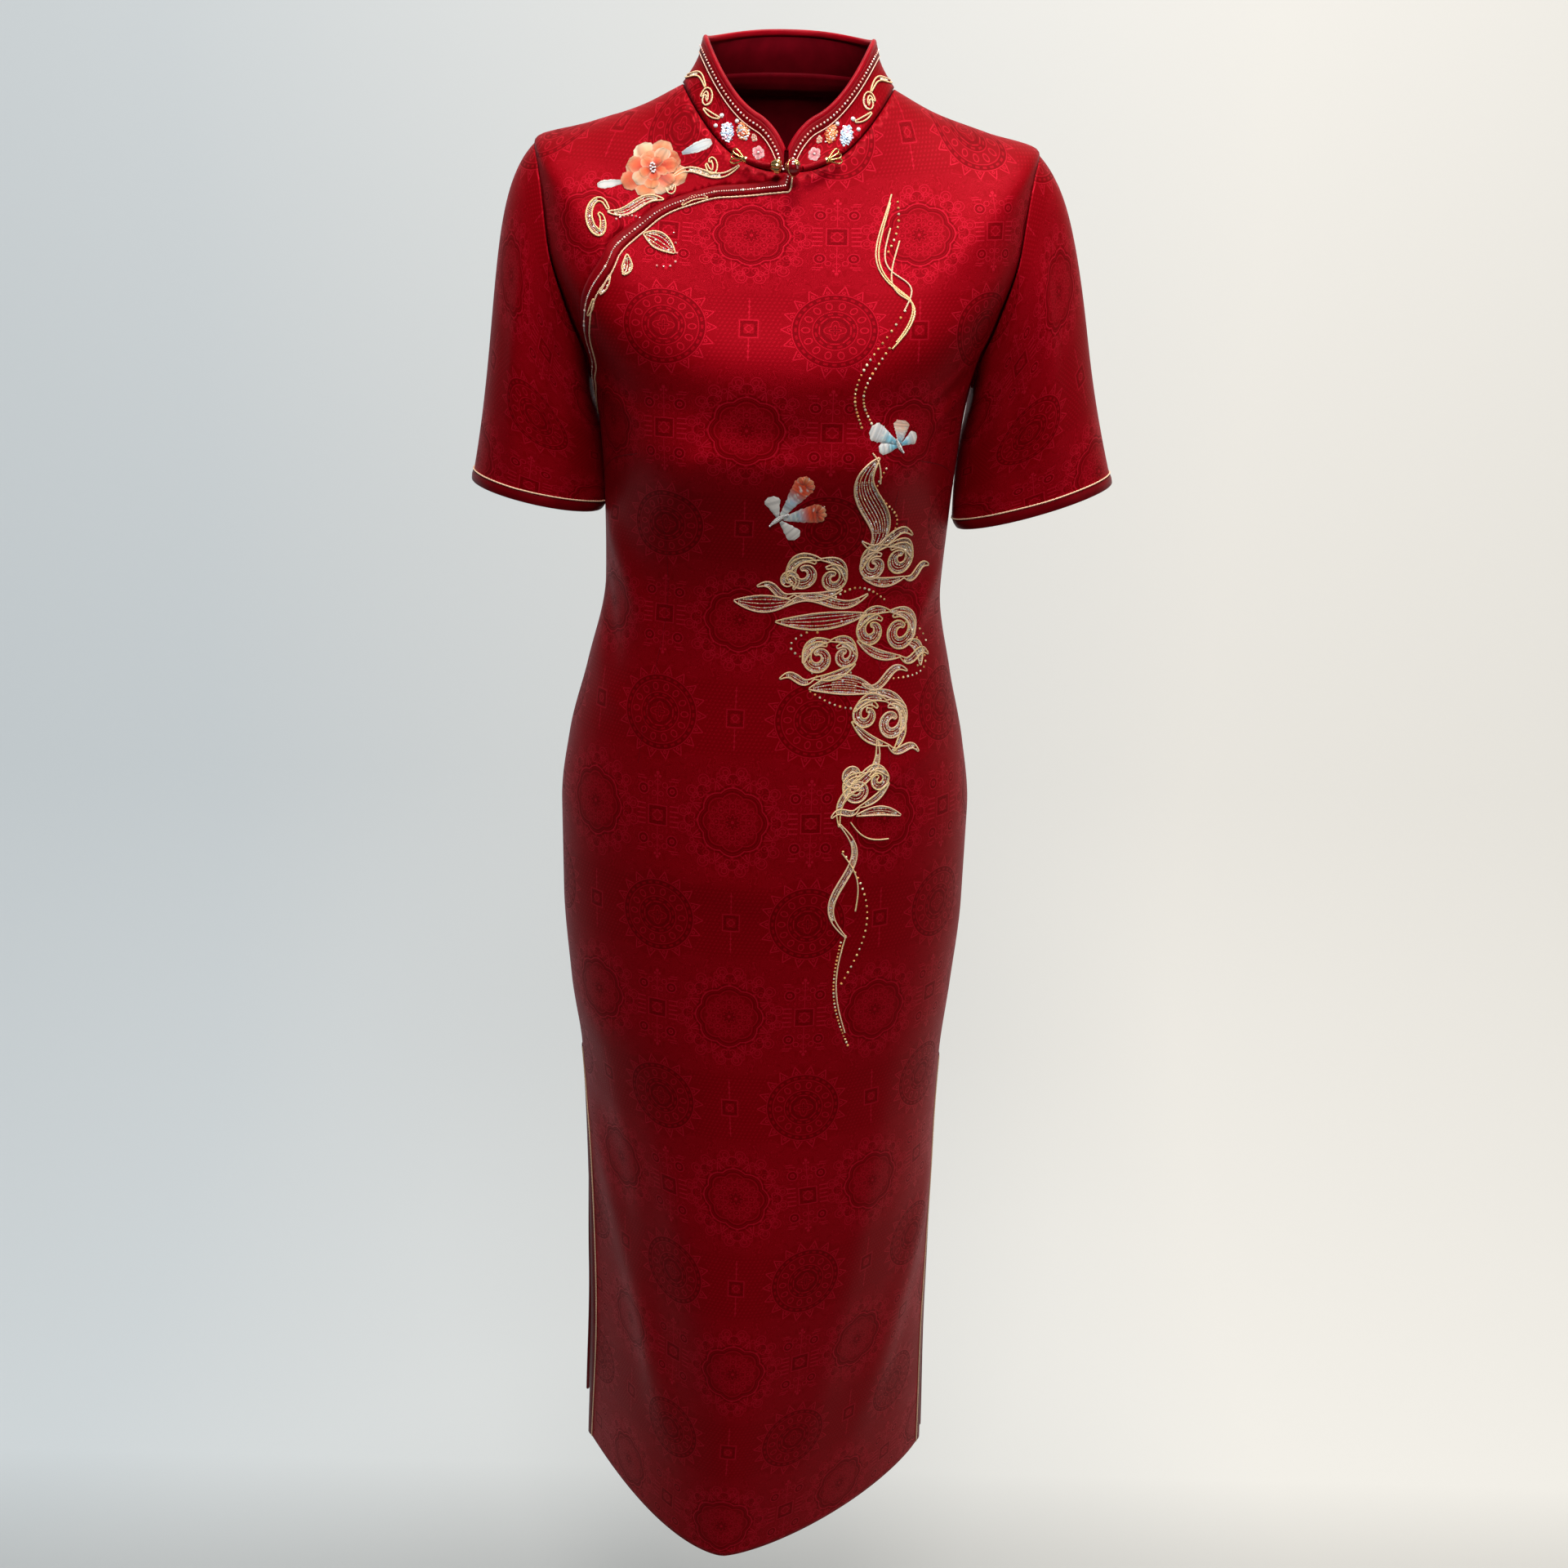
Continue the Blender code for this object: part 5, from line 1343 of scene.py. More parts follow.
def bind(name, edge, leg, out, cloth, satin, node, closed=False):
    """A satin binding folded over an edge, its legs close on both faces of the cloth, with a round fold."""
    ends = close(edge) if closed else edge
    run = unit(np.gradient(ends, axis=0))[: len(edge)]
    past = edge - leg
    past = unit(past - run * (past * run).sum(-1, keepdims=True))
    flat = np.cross(run, past)
    flat = flat * np.sign((flat * out).sum(-1, keepdims=True))
    far = cloth / 2 + SATIN_SHELL / 2 + 0.0001
    rows = [leg + unit(out) * (far - 0.00025), leg + unit(out) * far + past * 0.0006]
    middle = (leg + edge) / 2
    rows.append(middle + flat * (far + 0.00035))
    for turn in np.linspace(80, -80, 7):
        angle = math.radians(turn)
        rows.append(edge + flat * (far + 0.0001) * math.sin(angle) + past * (far + 0.0001) * math.cos(angle))
    rows += [middle - flat * (far + 0.0002), leg - unit(out) * far]
    rows = np.array(rows)
    if closed:
        rows = np.concatenate([rows, rows[:, :1]], axis=1)
    piece = thicken(sheet_of_rows(name, rows), SATIN_SHELL)
    dress(piece, satin, "satin", node)


# ---------------------------------------------------------------- collar

def neck_stations():
    """Places round the neck, closest together at the collar's two ends: how far each is from the centre
    front, in quarters of the way round, and on which side."""
    turn = np.linspace(-1, 1, COLLAR_POINTS)
    station = 2 - (2 - COLLAR_END_STATION) * (1 - (1 - np.abs(turn)) ** 1.35) * np.sign(-turn)
    return np.where(station > 2, 4 - station, station), np.where(station > 2, -1, 1)


def collar_surface():
    """Rings of points from the neck seam to the top edge. Stations run from the centre front round the
    wearer's left, the back and the right, closest together at the two rounded ends."""
    ahead, side = neck_stations()
    front = FORM.at("front", side * np.minimum(ahead, 1), 0.0)
    back = FORM.at("back", side * np.clip(2 - ahead, 0, 1), 0.0)
    base = np.where(ahead[:, None] <= 1, front, back)
    lean_in = base * (*COLLAR_TOP_SHARE, 1) + (0, 0.001, COLLAR_HEIGHT * 0.9)
    up = unit(lean_in - base)
    near_end = np.clip(1 - ahead / COLLAR_ROUNDING, 0, 1)
    grown = COLLAR_END_SHARE + (1 - COLLAR_END_SHARE) * (1 - near_end**2) ** 0.6
    height = (COLLAR_HEIGHT * grown)[:, None]
    inward = unit(base * (-1, -1, 0)) * COLLAR_HOLLOW * (height / COLLAR_HEIGHT) ** 6
    return np.array(
        [
            base + up * (COLLAR_LIFT + (height - COLLAR_LIFT) * part) + inward * math.sin(math.pi * part)
            for part in np.linspace(0, 1, COLLAR_RINGS)
        ]
    )


def collar(brocade, lining, satin, bright):
    rings = collar_surface()
    out = unit(np.cross(np.gradient(rings, axis=1), np.gradient(rings, axis=0)))
    along = distances(rings[0])
    height = np.linalg.norm(rings - rings[0], axis=2)
    uv = np.stack([along[None, :] - along[-1] / 2 + 0 * height, 0.02 - height], -1)
    piece = thicken(sheet_of_rows("collar_cloth", rings, uv), COLLAR_SHELL, inner_material=True)
    dress(piece, brocade, "brocade", "collar", inner=lining)
    leg = along_collar_edge(rings, COLLAR_ROLL)[0]
    bind("collar_edge_binding", rings[-1], leg, out[-1], COLLAR_SHELL, bright, "collar_binding")
    rows = []
    for distance, lift in ((COLLAR_ROLL - 0.0008, 0.00045), (COLLAR_ROLL + 0.0004, 0.00055),
                           (COLLAR_ROLL + COLLAR_BAND * 0.5, 0.00060), (COLLAR_ROLL + COLLAR_BAND, 0.00050),
                           (COLLAR_ROLL + COLLAR_BAND + 0.0002, 0.00015)):
        rows.append(along_collar_edge(rings, distance)[0] + unit(out[-1]) * (COLLAR_SHELL / 2 + lift))
    band = thicken(sheet_of_rows("collar_band", rows), SATIN_SHELL)
    dress(band, satin, "satin")
    return rings, out


def neck_facing(rings, lining):
    """The strip inside the neck that joins the collar's foot to the body."""
    ahead, side = neck_stations()
    rows = []
    for down in (0.0, 0.004, 0.010):
        faces = []
        at_front, at_back = side * np.minimum(ahead, 1), side * np.clip(2 - ahead, 0, 1)
        for half, across in (("front", at_front), ("back", at_back)):
            faces.append(FORM.at(half, across, down) - FORM.normals(half, across, down) * 0.0012)
        rows.append(np.where(ahead[:, None] <= 1, *faces))
    inward = unit(np.cross(np.gradient(rings, axis=0), np.gradient(rings, axis=1)))
    upper = [rings[k] + inward[k] * (COLLAR_SHELL / 2 + 0.0004) for k in (2, 1, 0)]
    piece = thicken(sheet_of_rows("neck_facing", np.array(upper + rows)), SATIN_SHELL)
    dress(piece, lining, "brocade")


# ---------------------------------------------------------------- bindings on the body

def slit_bindings(satin):
    for half in ("front", "back"):
        for side, sign in (("left", 1), ("right", -1)):
            outer, inner = slit_hem(half, sign)
            dense = np.linspace(0, len(outer) - 1, 8 * len(outer))
            outer, inner = (read_off(line, np.arange(len(line)), dense) for line in (outer, inner))
            edge, leg = FORM.at(half, *outer.T), FORM.at(half, *inner.T)
            bind(f"slit_{half}_{side}_edge_binding", edge, leg, FORM.normals(half, *inner.T), SHELL, satin,
                 f"slit_binding_{half}_{side}")
            aside = sign * CORD_BESIDE / half_girth(half, inner[:, 1])
            beside = inner - np.column_stack([aside, np.zeros(len(inner))])
            EDGE_CORDS[f"slit_{half}_{side}"] = over_form(half, beside, EDGE_CORD_LIFT)


def placket(satin):
    """The satin band along the main front's free edge: its rows lie on the cloth and roll over the edge."""
    line = free_edge()
    rows, lifts = [], (0.0002, 0.0006, 0.0007, 0.0007, 0.0006, 0.0002)
    for distance, lift in zip(np.linspace(-BAND_OVER, BAND_ON, len(lifts)), lifts):
        row = squared(shifted(line, distance))[:-1]
        row[0, 1] = 0.0006
        rows.append(over_form("front", row, lift))
    piece = thicken(sheet_of_rows("placket_band_satin", rows), SATIN_SHELL)
    dress(piece, satin, "satin", "placket_band")
    beside = squared(shifted(line, BAND_ON + CORD_BESIDE))[:-1]
    beside[0, 1] = 0.0006
    EDGE_CORDS["placket"] = over_form("front", beside, EDGE_CORD_LIFT)


EDGE_CORDS = {}


# ---------------------------------------------------------------- cords, threads and beads

class Joined:
    """Many small pieces gathered into one mesh, with a UV and a thread colour for each point."""

    def __init__(self):
        self.points, self.faces, self.uv, self.colours, self.count = [], [], [], [], 0

    def add(self, points, faces, uv, colour):
        points = np.asarray(points)
        self.points.append(points)
        self.faces.append(np.asarray(faces) + self.count)
        self.uv.append(np.asarray(uv))
        self.colours.append(np.broadcast_to(colour, (len(points), 3)))
        self.count += len(points)

    def made(self, name, smooth=True):
        return new_mesh(
            name, np.concatenate(self.points), np.concatenate(self.faces), np.concatenate(self.uv),
            np.concatenate(self.colours), smooth,
        )

    def tube(self, line, radius, colour, sides=6, out=None, lobes=0.0, pitch=0.0025, flat=1.0):
        """A tube along a line. lobes makes it a twisted cord of two strands, flat presses it down."""
        line = np.asarray(line, float)
        run = unit(np.gradient(line, axis=0))
        out = np.array([0, -1.0, 0]) if out is None else out
        side = unit(np.cross(run, out))
        over = unit(np.cross(side, run))
        along = distances(line)
        turn = np.linspace(0, 2 * math.pi, sides, endpoint=False)[None, :]
        twist = 2 * math.pi * along[:, None] / pitch
        radii = np.asarray(radius) * np.ones(len(line))
        wide = radii[:, None] * (1 + lobes * np.cos(2 * (turn - twist / 2)))
        ring = line[:, None] + side[:, None] * (np.cos(turn) * wide)[..., None]
        ring = ring + over[:, None] * (np.sin(turn) * wide * flat)[..., None]
        uv = np.stack([turn / (2 * math.pi) + 0 * twist, along[:, None] + 0 * turn], -1)
        self.add(ring.reshape(-1, 3), grid_faces(len(line), sides, closed=True), uv.reshape(-1, 2), colour)

    def beads(self, centres, outs, radius, colours, height=0.6, sides=6):
        """Faceted beads or sequins: low cut domes with flat tables, one at each centre."""
        centres, outs = np.atleast_2d(centres), unit(np.atleast_2d(outs))
        count = len(centres)
        radius = (np.zeros(count) + radius)[:, None, None, None]
        side = unit(np.cross(outs, (0.3, 0.2, 1.0)))
        over = np.cross(outs, side)
        turn = np.linspace(0, 2 * math.pi, sides, endpoint=False)[None, None, :, None]
        share = np.array([1.0, 0.94, 0.5, 0.04])[None, :, None, None]
        lift = np.array([0.0, 0.35, 1.0, 1.0])[None, :, None, None]
        around = np.cos(turn) * side[:, None, None] + np.sin(turn) * over[:, None, None]
        points = centres[:, None, None] + (around * share + outs[:, None, None] * lift * height) * radius
        faces = grid_faces(4, sides, closed=True)[None] + (np.arange(count) * 4 * sides)[:, None, None]
        colours = np.repeat(np.zeros((count, 3)) + colours, 4 * sides, axis=0)
        self.add(points.reshape(-1, 3), faces.reshape(-1, 4), np.zeros((count * 4 * sides, 2)), colours)


def evenly(line, spacing):
    """Points along a line at even distances near this spacing."""
    line = np.asarray(line, float)
    length = distances(line)
    count = max(2, round(length[-1] / spacing) + 1)
    return read_off(line, length, np.linspace(0, length[-1], count))


def edge_cords(gold):
    """The twisted gold cord couched beside each binding."""
    cords = Joined()
    for line in EDGE_CORDS.values():
        cords.tube(evenly(line, 0.0007), EDGE_CORD_RADIUS, GOLD, sides=6, lobes=0.18, pitch=0.0030)
    dress(cords.made("gold_edge_cords"), gold, "gilt")


# ---------------------------------------------------------------- embroidery

PALE_GOLD = (1.00, 0.70, 0.48)
# yellow stretches along the gold threads: painted glints of warm light
PAINTED_GLINT_GOLD = (0.96, 0.72, 0.34)
BEAD_PINK = (0.90, 0.30, 0.28)
BEAD_SILVER = (0.86, 0.80, 0.80)
GLINT = (0.98, 0.90, 0.62)
ROW_SHADES = (
    ((1.00, 0.74, 0.42), (0.96, 0.52, 0.28), (1.00, 0.96, 0.94)), ((1.00, 0.62, 0.44), (1.00, 0.84, 0.58)),
    ((1.00, 0.94, 0.94), (0.98, 0.62, 0.36), (1.00, 0.88, 0.66)),
)
OUTLINE_RADIUS = 0.00060
LINE_APART = 0.00165  # the closest that lines lie in a ribbon
CHAIN_PITCH = 0.00128

# Each shade of satin stitch: its colours at the root, the middle, the tip and the edges.
SHADES = {
    "ice": ((0.50, 0.66, 0.84), (0.74, 0.86, 0.95), (0.93, 0.97, 1.00), (0.90, 0.95, 1.00)),
    "snow": ((0.72, 0.78, 0.80), (0.88, 0.93, 0.95), (0.98, 0.98, 0.96), (0.96, 0.97, 0.97)),
    "flame": ((0.70, 0.020, 0.006), (0.98, 0.13, 0.03), (1.00, 0.36, 0.15), (1.00, 0.62, 0.42)),
    "peach": ((0.92, 0.10, 0.03), (1.00, 0.34, 0.15), (1.00, 0.62, 0.40), (1.00, 0.80, 0.64)),
    "ember": ((0.52, 0.010, 0.006), (0.86, 0.055, 0.015), (0.98, 0.20, 0.06), (1.00, 0.50, 0.30)),
    "rose": ((0.70, 0.08, 0.14), (0.90, 0.30, 0.36), (0.95, 0.52, 0.56), (0.98, 0.70, 0.72)),
    "blush": ((0.90, 0.26, 0.14), (0.98, 0.46, 0.32), (1.00, 0.68, 0.54), (1.00, 0.80, 0.70)),
    "wing_red": ((0.74, 0.84, 0.92), (0.48, 0.70, 0.86), (1.00, 0.08, 0.02), (1.00, 0.50, 0.32)),
    "silver": ((0.74, 0.80, 0.84), (0.92, 0.95, 0.96), (0.98, 0.98, 0.98), (0.94, 0.95, 0.96)),
    "wing_blue": ((0.10, 0.42, 0.62), (0.24, 0.60, 0.80), (0.78, 0.84, 0.90), (1.00, 0.64, 0.50)),
    "wing_pale": ((0.16, 0.44, 0.60), (0.62, 0.62, 0.68), (0.98, 0.64, 0.50), (0.98, 0.84, 0.76)),
}
SEQUIN_SHADES = {
    "ice": (
        (0.46, 0.62, 0.86), (0.70, 0.84, 0.96), (0.93, 0.96, 1.00), (0.90, 0.50, 0.62), (0.60, 0.74, 0.92),
    ),
    "ember": (
        (0.78, 0.16, 0.05), (0.95, 0.36, 0.14), (0.60, 0.07, 0.03), (0.62, 0.58, 0.62), (0.98, 0.52, 0.26),
    ),
}
CROSS_STITCHED = ("wing_red", "wing_blue", "wing_pale", "silver")  # their stitches run out from the spine


def gold_with_painted_glints(random, count, pale, deep):
    """Gold that drifts between two shades along a thread; its yellow stretches are painted glints, where
    metal thread would catch warm light.
    """
    drift = np.cumsum(random.standard_normal(count)) * 0.10
    share = (0.5 + 0.5 * np.sin(drift))[:, None]
    return np.array(pale) * (1 - share) + np.array(deep) * share


def stretches(shown, least):
    """The (start, stop) of each run of shown points that is at least this long."""
    cuts = np.flatnonzero(np.diff(np.concatenate([[0], shown, [0]])))
    return [(start, stop) for start, stop in zip(cuts[::2], cuts[1::2]) if stop - start >= least]


def flowing(points, step):
    """Even steps along a smooth curve through the given places, with any further columns carried along."""
    points = np.array(points, float)
    chord = distances(points[:, :2])
    at = np.linspace(0, chord[-1], 30 * len(points))
    dense = smooth_columns(np.column_stack([chord, points]), at, limit=False)[:, 1:]
    length = distances(dense[:, :2])
    return read_off(dense, length, np.linspace(0, length[-1], max(4, round(length[-1] / step))))


TRUE_STEPS = 8  # towards each place of a motif that is drawn true to shape
NECK_CLEAR = 0.003  # such a motif stays this far below the neckline
THREAD_STEP = 0.0009  # between a thread's points
SPINE_STEP = 0.0011  # between the points of a ribbon's or petal's spine
TIGHTEST = 0.85  # how far a ribbon reaches towards the middle of its bend
ROW_BEAD = (0.00060, 0.7, 5, 0.3)  # radius, height, sides and tilt of the beads in a ribbon's rows
EDGE_BEAD_PITCH, EDGE_BEAD_RADIUS = 0.0012, 0.00054
EDGE_BEAD_ASIDE = 0.0010
GOLDEN_ANGLE = 2.399963
FEELER_COLOUR = (0.92, 0.62, 0.48)


class Ground:
    """A surface that is embroidered. place(flat) gives points on its outer face and their normals."""

    def __init__(self, place):
        self.place = place

    def over(self, flat, height):
        points, normals = self.place(flat)
        return points + normals * np.asarray(height)[..., None]

    def flat_step(self, flat, vectors):
        """The flat moves that take a point along each of these vectors of the surface."""
        here, nudge = self.place(flat)[0], 1e-4
        ways = [(self.place(flat + step)[0] - here) / nudge for step in np.eye(2) * nudge]
        slope = np.stack(ways, -1)
        square = np.einsum("...ki,...kj->...ij", slope, slope)
        pull = np.einsum("...ki,...k->...i", slope, vectors)
        return np.linalg.solve(square, pull[..., None])[..., 0]

    def true_shape(self, rows, centre):
        """Rows drawn round a centre, in cm to the right and down along the cloth, as flat places."""
        rows = np.array(rows, float)
        here = np.repeat(np.array([centre]) * 0.01, len(rows), axis=0)
        step = rows[:, :2] * 0.01 / TRUE_STEPS
        for _ in range(TRUE_STEPS):
            normals = self.place(here)[1]
            right = unit(np.cross(normals, (0, 0, -1.0)))
            down = unit(np.cross(normals, right))
            down = down * -np.sign(down[:, 2:])
            here = here + step[:, :1] * self.flat_step(here, right) + step[:, 1:] * self.flat_step(here, down)
            here[:, 1] = np.maximum(here[:, 1], NECK_CLEAR)
        rows[:, :2] = here * 100
        return rows

    def sideways(self, flat):
        """The flat moves for one metre to the left of a line, seen from outside."""
        points, normals = self.place(flat)
        run = unit(np.gradient(points, axis=0))
        return self.flat_step(flat, unit(np.cross(normals, run)))


class Embroidery:
    """The stitches of one surface, gathered by kind: thick threads, fine threads, satin stitch and beads."""

    def __init__(self, seed):
        self.cords, self.fine, self.stitches, self.gems = Joined(), Joined(), Joined(), Joined()
        self.random = np.random.default_rng(seed)

    def thread(self, ground, flat, radius, colour, fine=False, sides=5):
        line = ground.over(flat, radius * 0.7)
        normals = ground.place(flat)[1]
        gathered = self.fine if fine else self.cords
        if not fine:
            # painted glints: the thread's gold drifts into yellow along its length
            colour = np.repeat(gold_with_painted_glints(self.random, len(line), colour, PAINTED_GLINT_GOLD), sides, axis=0)
        gathered.tube(line, radius, colour, sides, out=normals, lobes=0.0 if fine else 0.16, pitch=0.0022)

    def chain(self, ground, flat, pitch, radius, colours, height=0.8, sides=5, tilt=0.35):
        """Beads at even steps along a flat line, each tilted its own way."""
        flat = flat[np.isfinite(flat).all(1)]
        places = evenly(flat, pitch)
        points, normals = ground.place(places)
        count = len(points)
        lean = self.random.normal(0, tilt, (count, 3))
        shades = np.array(colours)[self.random.integers(0, len(colours), count)]
        # painted sparkle: each bead's colour is scaled at random between darker and brighter, standing in for
        # beads that catch the light and beads that don't
        shades = shades * self.random.uniform(0.55, 1.12, (count, 1))
        sizes = radius * self.random.uniform(0.85, 1.12, count)
        self.gems.beads(points, normals + lean, sizes, np.clip(shades, 0, 1), height, sides)

    def ribbon(self, ground, rows, sparkle=0.012):
        """A cloud's ribbon: a couched outline, and rows of small beads that follow it."""
        spine = flowing(np.array(rows) * (0.01, 0.01, 0.001), SPINE_STEP)
        flat, width = spine[:, :2], spine[:, 2]
        points, normals = ground.place(flat)
        run = unit(np.gradient(points, axis=0))
        steps = np.linalg.norm(np.gradient(points, axis=0), axis=1)
        bend = (np.cross(run, np.gradient(run, axis=0)) * normals).sum(1) / steps
        left = np.minimum(width, TIGHTEST / np.maximum(bend, 1))
        right = np.minimum(width, TIGHTEST / np.maximum(-bend, 1))
        aside = ground.sideways(flat)
        edges = [flat + aside * left[:, None], flat - aside * right[:, None]]
        outline = np.concatenate([edges[0], edges[1][::-1], edges[0][:2]])
        self.thread(ground, flowing(outline[:-1], THREAD_STEP), OUTLINE_RADIUS, PALE_GOLD)
        count = 2 ** math.ceil(math.log2(max(2.0, 2 * width.max() / LINE_APART)))
        for line in range(1, count):
            share = 2 * line / count - 1
            apart = (left + right) / count * (line & -line)
            tight = right < width - 1e-6 if share > 0 else left < width - 1e-6
            shown = (apart > LINE_APART) & ~tight
            offset = np.where(share > 0, -share * right, -share * left)
            inner = flat + aside * offset[:, None]
            for start, stop in stretches(shown, 5):
                radius, height, sides, tilt = ROW_BEAD
                shades = ROW_SHADES[line % len(ROW_SHADES)]
                self.chain(ground, inner[start:stop], CHAIN_PITCH, radius, shades, height, sides, tilt)
        for edge, room, turn in ((edges[0], left, -1), (edges[1], right, 1)):
            beside = edge + aside * turn * EDGE_BEAD_ASIDE
            for start, stop in stretches((room > 0.0016) & (room >= width - 1e-6), 7):
                shades = (BEAD_SILVER, PALE_GOLD, GLINT)
                self.chain(ground, beside[start:stop], EDGE_BEAD_PITCH, EDGE_BEAD_RADIUS, shades)
        stones = self.random.random(len(flat)) < sparkle * 2
        if stones.any():
            off = aside[stones] * self.random.uniform(-0.6, 0.6, (stones.sum(), 1)) * width[stones, None]
            points, normals = ground.place(flat[stones] + off)
            lean = self.random.normal(0, 0.12, points.shape)
            self.gems.beads(points, normals + lean, 0.0009, BEAD_SILVER, 0.6, 8)

    def patch(self, ground, rows, shade, lift=0.0, across=9, dome=0.0007, pitch=0.00045):
        """A petal or leaf of satin stitch: a low dome along its spine, its colour shaded from root to tip."""
        spine = flowing(np.array(rows) * (0.01, 0.01, 0.001), SPINE_STEP)
        flat, width = spine[:, :2], np.maximum(spine[:, 2], 0.0002)
        width = width * (1 + 0.05 * self.random.standard_normal(len(width)))
        aside = ground.sideways(flat)
        part = np.linspace(-1, 1, across)
        places = flat[:, None] + aside[:, None] * (part[:, None] * width[:, None, None])
        ends = np.sin(math.pi * np.linspace(0.04, 0.96, len(flat))) ** 0.5
        height = lift + dome * np.sqrt(np.maximum(1 - part**2, 0.0))[None, :] * ends[:, None] + 0.00006
        points = ground.over(places.reshape(-1, 2), height.ravel())
        along = np.linspace(0, 1, len(flat))
        root, middle, tip, edge = (np.array(colour) for colour in SHADES[shade])
        winged = shade in CROSS_STITCHED
        stops = (0.08, 0.36, 0.62) if winged else (0, 0.45, 1)
        body = np.stack([np.interp(along, stops, column) for column in zip(root, middle, tip)], -1)
        rim = np.abs(part)[None, :] ** 3 * (0.30 if winged else 0.75)
        rim = np.clip(rim + (0.2 if winged else 1.0) * np.clip(along - 0.75, 0, 1)[:, None], 0, 1)
        colour = body[:, None] * (1 - rim[..., None]) + edge * rim[..., None]
        if winged:
            streak = 1 + 0.22 * self.random.standard_normal((len(flat), 1, 1))
            stripes = np.arange(len(flat))[:, None] * 0.0011 / pitch * 0.6 + 0 * part[None, :]
        else:
            streak = 1 + 0.16 * self.random.standard_normal((1, across, 1))
            stripes = part[None, :] * width.max() / pitch + 0 * along[:, None]
        uv = np.stack([stripes, 0 * stripes], -1)
        if winged:
            pale = self.random.random((len(flat), across, 1)) < 0.07
            colour = np.where(pale, np.array([0.95, 0.93, 0.92]), colour)
        self.stitches.add(points, grid_faces(len(flat), across), uv.reshape(-1, 2),
                          np.clip(colour * streak, 0, 1).reshape(-1, 3))

    def bloom(self, ground, shade, centre, radius):
        """A small round blossom of five or six petals round a bead."""
        if radius < 0.0023:
            points, normals = ground.place(np.array([centre]))
            self.gems.beads(points, normals, radius * 0.8, SHADES[shade][2], 0.7, 8)
            return
        if shade in ("ice", "ember"):
            self.cluster(ground, shade, centre, radius)
            return
        count = 6 if radius > 0.004 else 5
        turns = self.random.uniform(0, 1) + np.arange(count) * 2 * math.pi / count
        for turn in turns:
            way = np.array([math.cos(turn), math.sin(turn)])
            rows = [
                (*((np.array(centre) + way * radius * far) * 100), radius * 1000 * wide)
                for far, wide in ((0.12, 0.14), (0.45, 0.38), (0.8, 0.40), (1.0, 0.16))
            ]
            self.patch(ground, rows, shade, across=5, dome=0.0006)
        points, normals = ground.place(np.array([centre]))
        self.gems.beads(points + normals * 0.0005, normals, radius * 0.2, BEAD_SILVER, 0.8, 7)

    def cluster(self, ground, shade, centre, radius):
        """A blossom of sequins packed in a round, its edge uneven."""
        count = int((radius / 0.00086) ** 2)
        step = np.arange(count)
        far = radius * np.sqrt((step + 0.5) / count) * self.random.uniform(0.92, 1.08, count)
        turn = step * GOLDEN_ANGLE
        places = np.array(centre) + np.column_stack([far * np.cos(turn), far * np.sin(turn)])
        points, normals = ground.place(places)
        lean = self.random.normal(0, 0.35, (count, 3))
        shades = np.array(SEQUIN_SHADES[shade])
        shades = shades[self.random.integers(0, len(shades), count)]
        points = points + normals * (0.0012 * (1 - (far / radius) ** 2).clip(0))[:, None]
        self.gems.beads(points, normals + lean, self.random.uniform(0.0008, 0.0012, count), shades, 0.35, 8)

    def made(self, name, gold, silk, gems):
        """The joined pieces, as objects."""
        for gathered, kind, material, slot in (
            (self.cords, "cords", gold, "gilt"), (self.fine, "fine_threads", gold, "gilt"),
            (self.stitches, "satin_stitch", silk, "satin"), (self.gems, "beads", gems, "gilt"),
        ):
            if gathered.count:
                piece = gathered.made(f"{name}_{kind}", smooth=gathered is not self.gems)
                dress(piece, material, slot)


def front_embroidery(gold, silk, gems):
    """Clouds, peony and butterflies on the main front and the shoulder front."""
    front = Ground(lambda flat: on_cloth("front", flat))
    work = Embroidery(7)
    for row in named(CLOUD_COLUMNS, CLOUDS):
        for rows in cloud(**row):
            work.ribbon(front, rows)
    for row in named(STREAM_COLUMNS, STREAMS):
        work.ribbon(front, stream(**row))
    for row in named(CURL_COLUMNS, CURLS):
        work.ribbon(front, curl(**row))
    for row in named(COUCHED_COLUMNS, COUCHED_LINES):
        work.thread(front, flowing(stream(**row)[:, :2] * 0.01, THREAD_STEP), OUTLINE_RADIUS, PALE_GOLD)
    for row in named(BEAD_COLUMNS, BEAD_ROWS):
        colours, size = BEAD_SHADES[row.pop("shade")]
        spacing = row.pop("spacing_mm") * 0.001
        work.chain(front, flowing(stream(**row)[:, :2] * 0.01, 0.001), spacing, size, colours, 0.8, 7, 0.15)
    peony(work, front)
    for row in named(BUTTERFLY_COLUMNS, BUTTERFLIES):
        butterfly(work, front, **row)
    work.made("front_embroidery", gold, silk, gems)


def peony(work, ground):
    """Rings of satin-stitch petals, each ring over the last, with two leaves and a beaded eye."""
    for shade, right, down, way, length, wide in LEAVES:
        work.patch(ground, ground.true_shape(petal(right, down, way, length, wide), PEONY_AT), shade)
    lift = 0.0
    for ring in named(PETAL_RING_COLUMNS, PETAL_RINGS):
        for index in range(ring["count"]):
            way = ring["first"] + index * 360 / ring["count"]
            grown = ring["length"] * (0.90 + 0.10 * math.cos(2.3 * index))
            lift += 0.00008
            rows = ground.true_shape(petal(0, 0, way, grown, ring["wide"]), PEONY_AT)
            work.patch(ground, rows, ring["shades"][index % len(ring["shades"])], lift=lift)
    turns = np.linspace(0, 2 * math.pi, 9, endpoint=False)
    eye = np.array(PEONY_AT) * 0.01 + 0.0028 * np.column_stack([np.cos(turns), np.sin(turns) * 0.8])
    points, normals = ground.place(np.concatenate([eye, np.array([PEONY_AT]) * 0.01]))
    work.gems.beads(points + normals * 0.0026, normals, 0.00085, BEAD_SILVER, 0.5, 8)


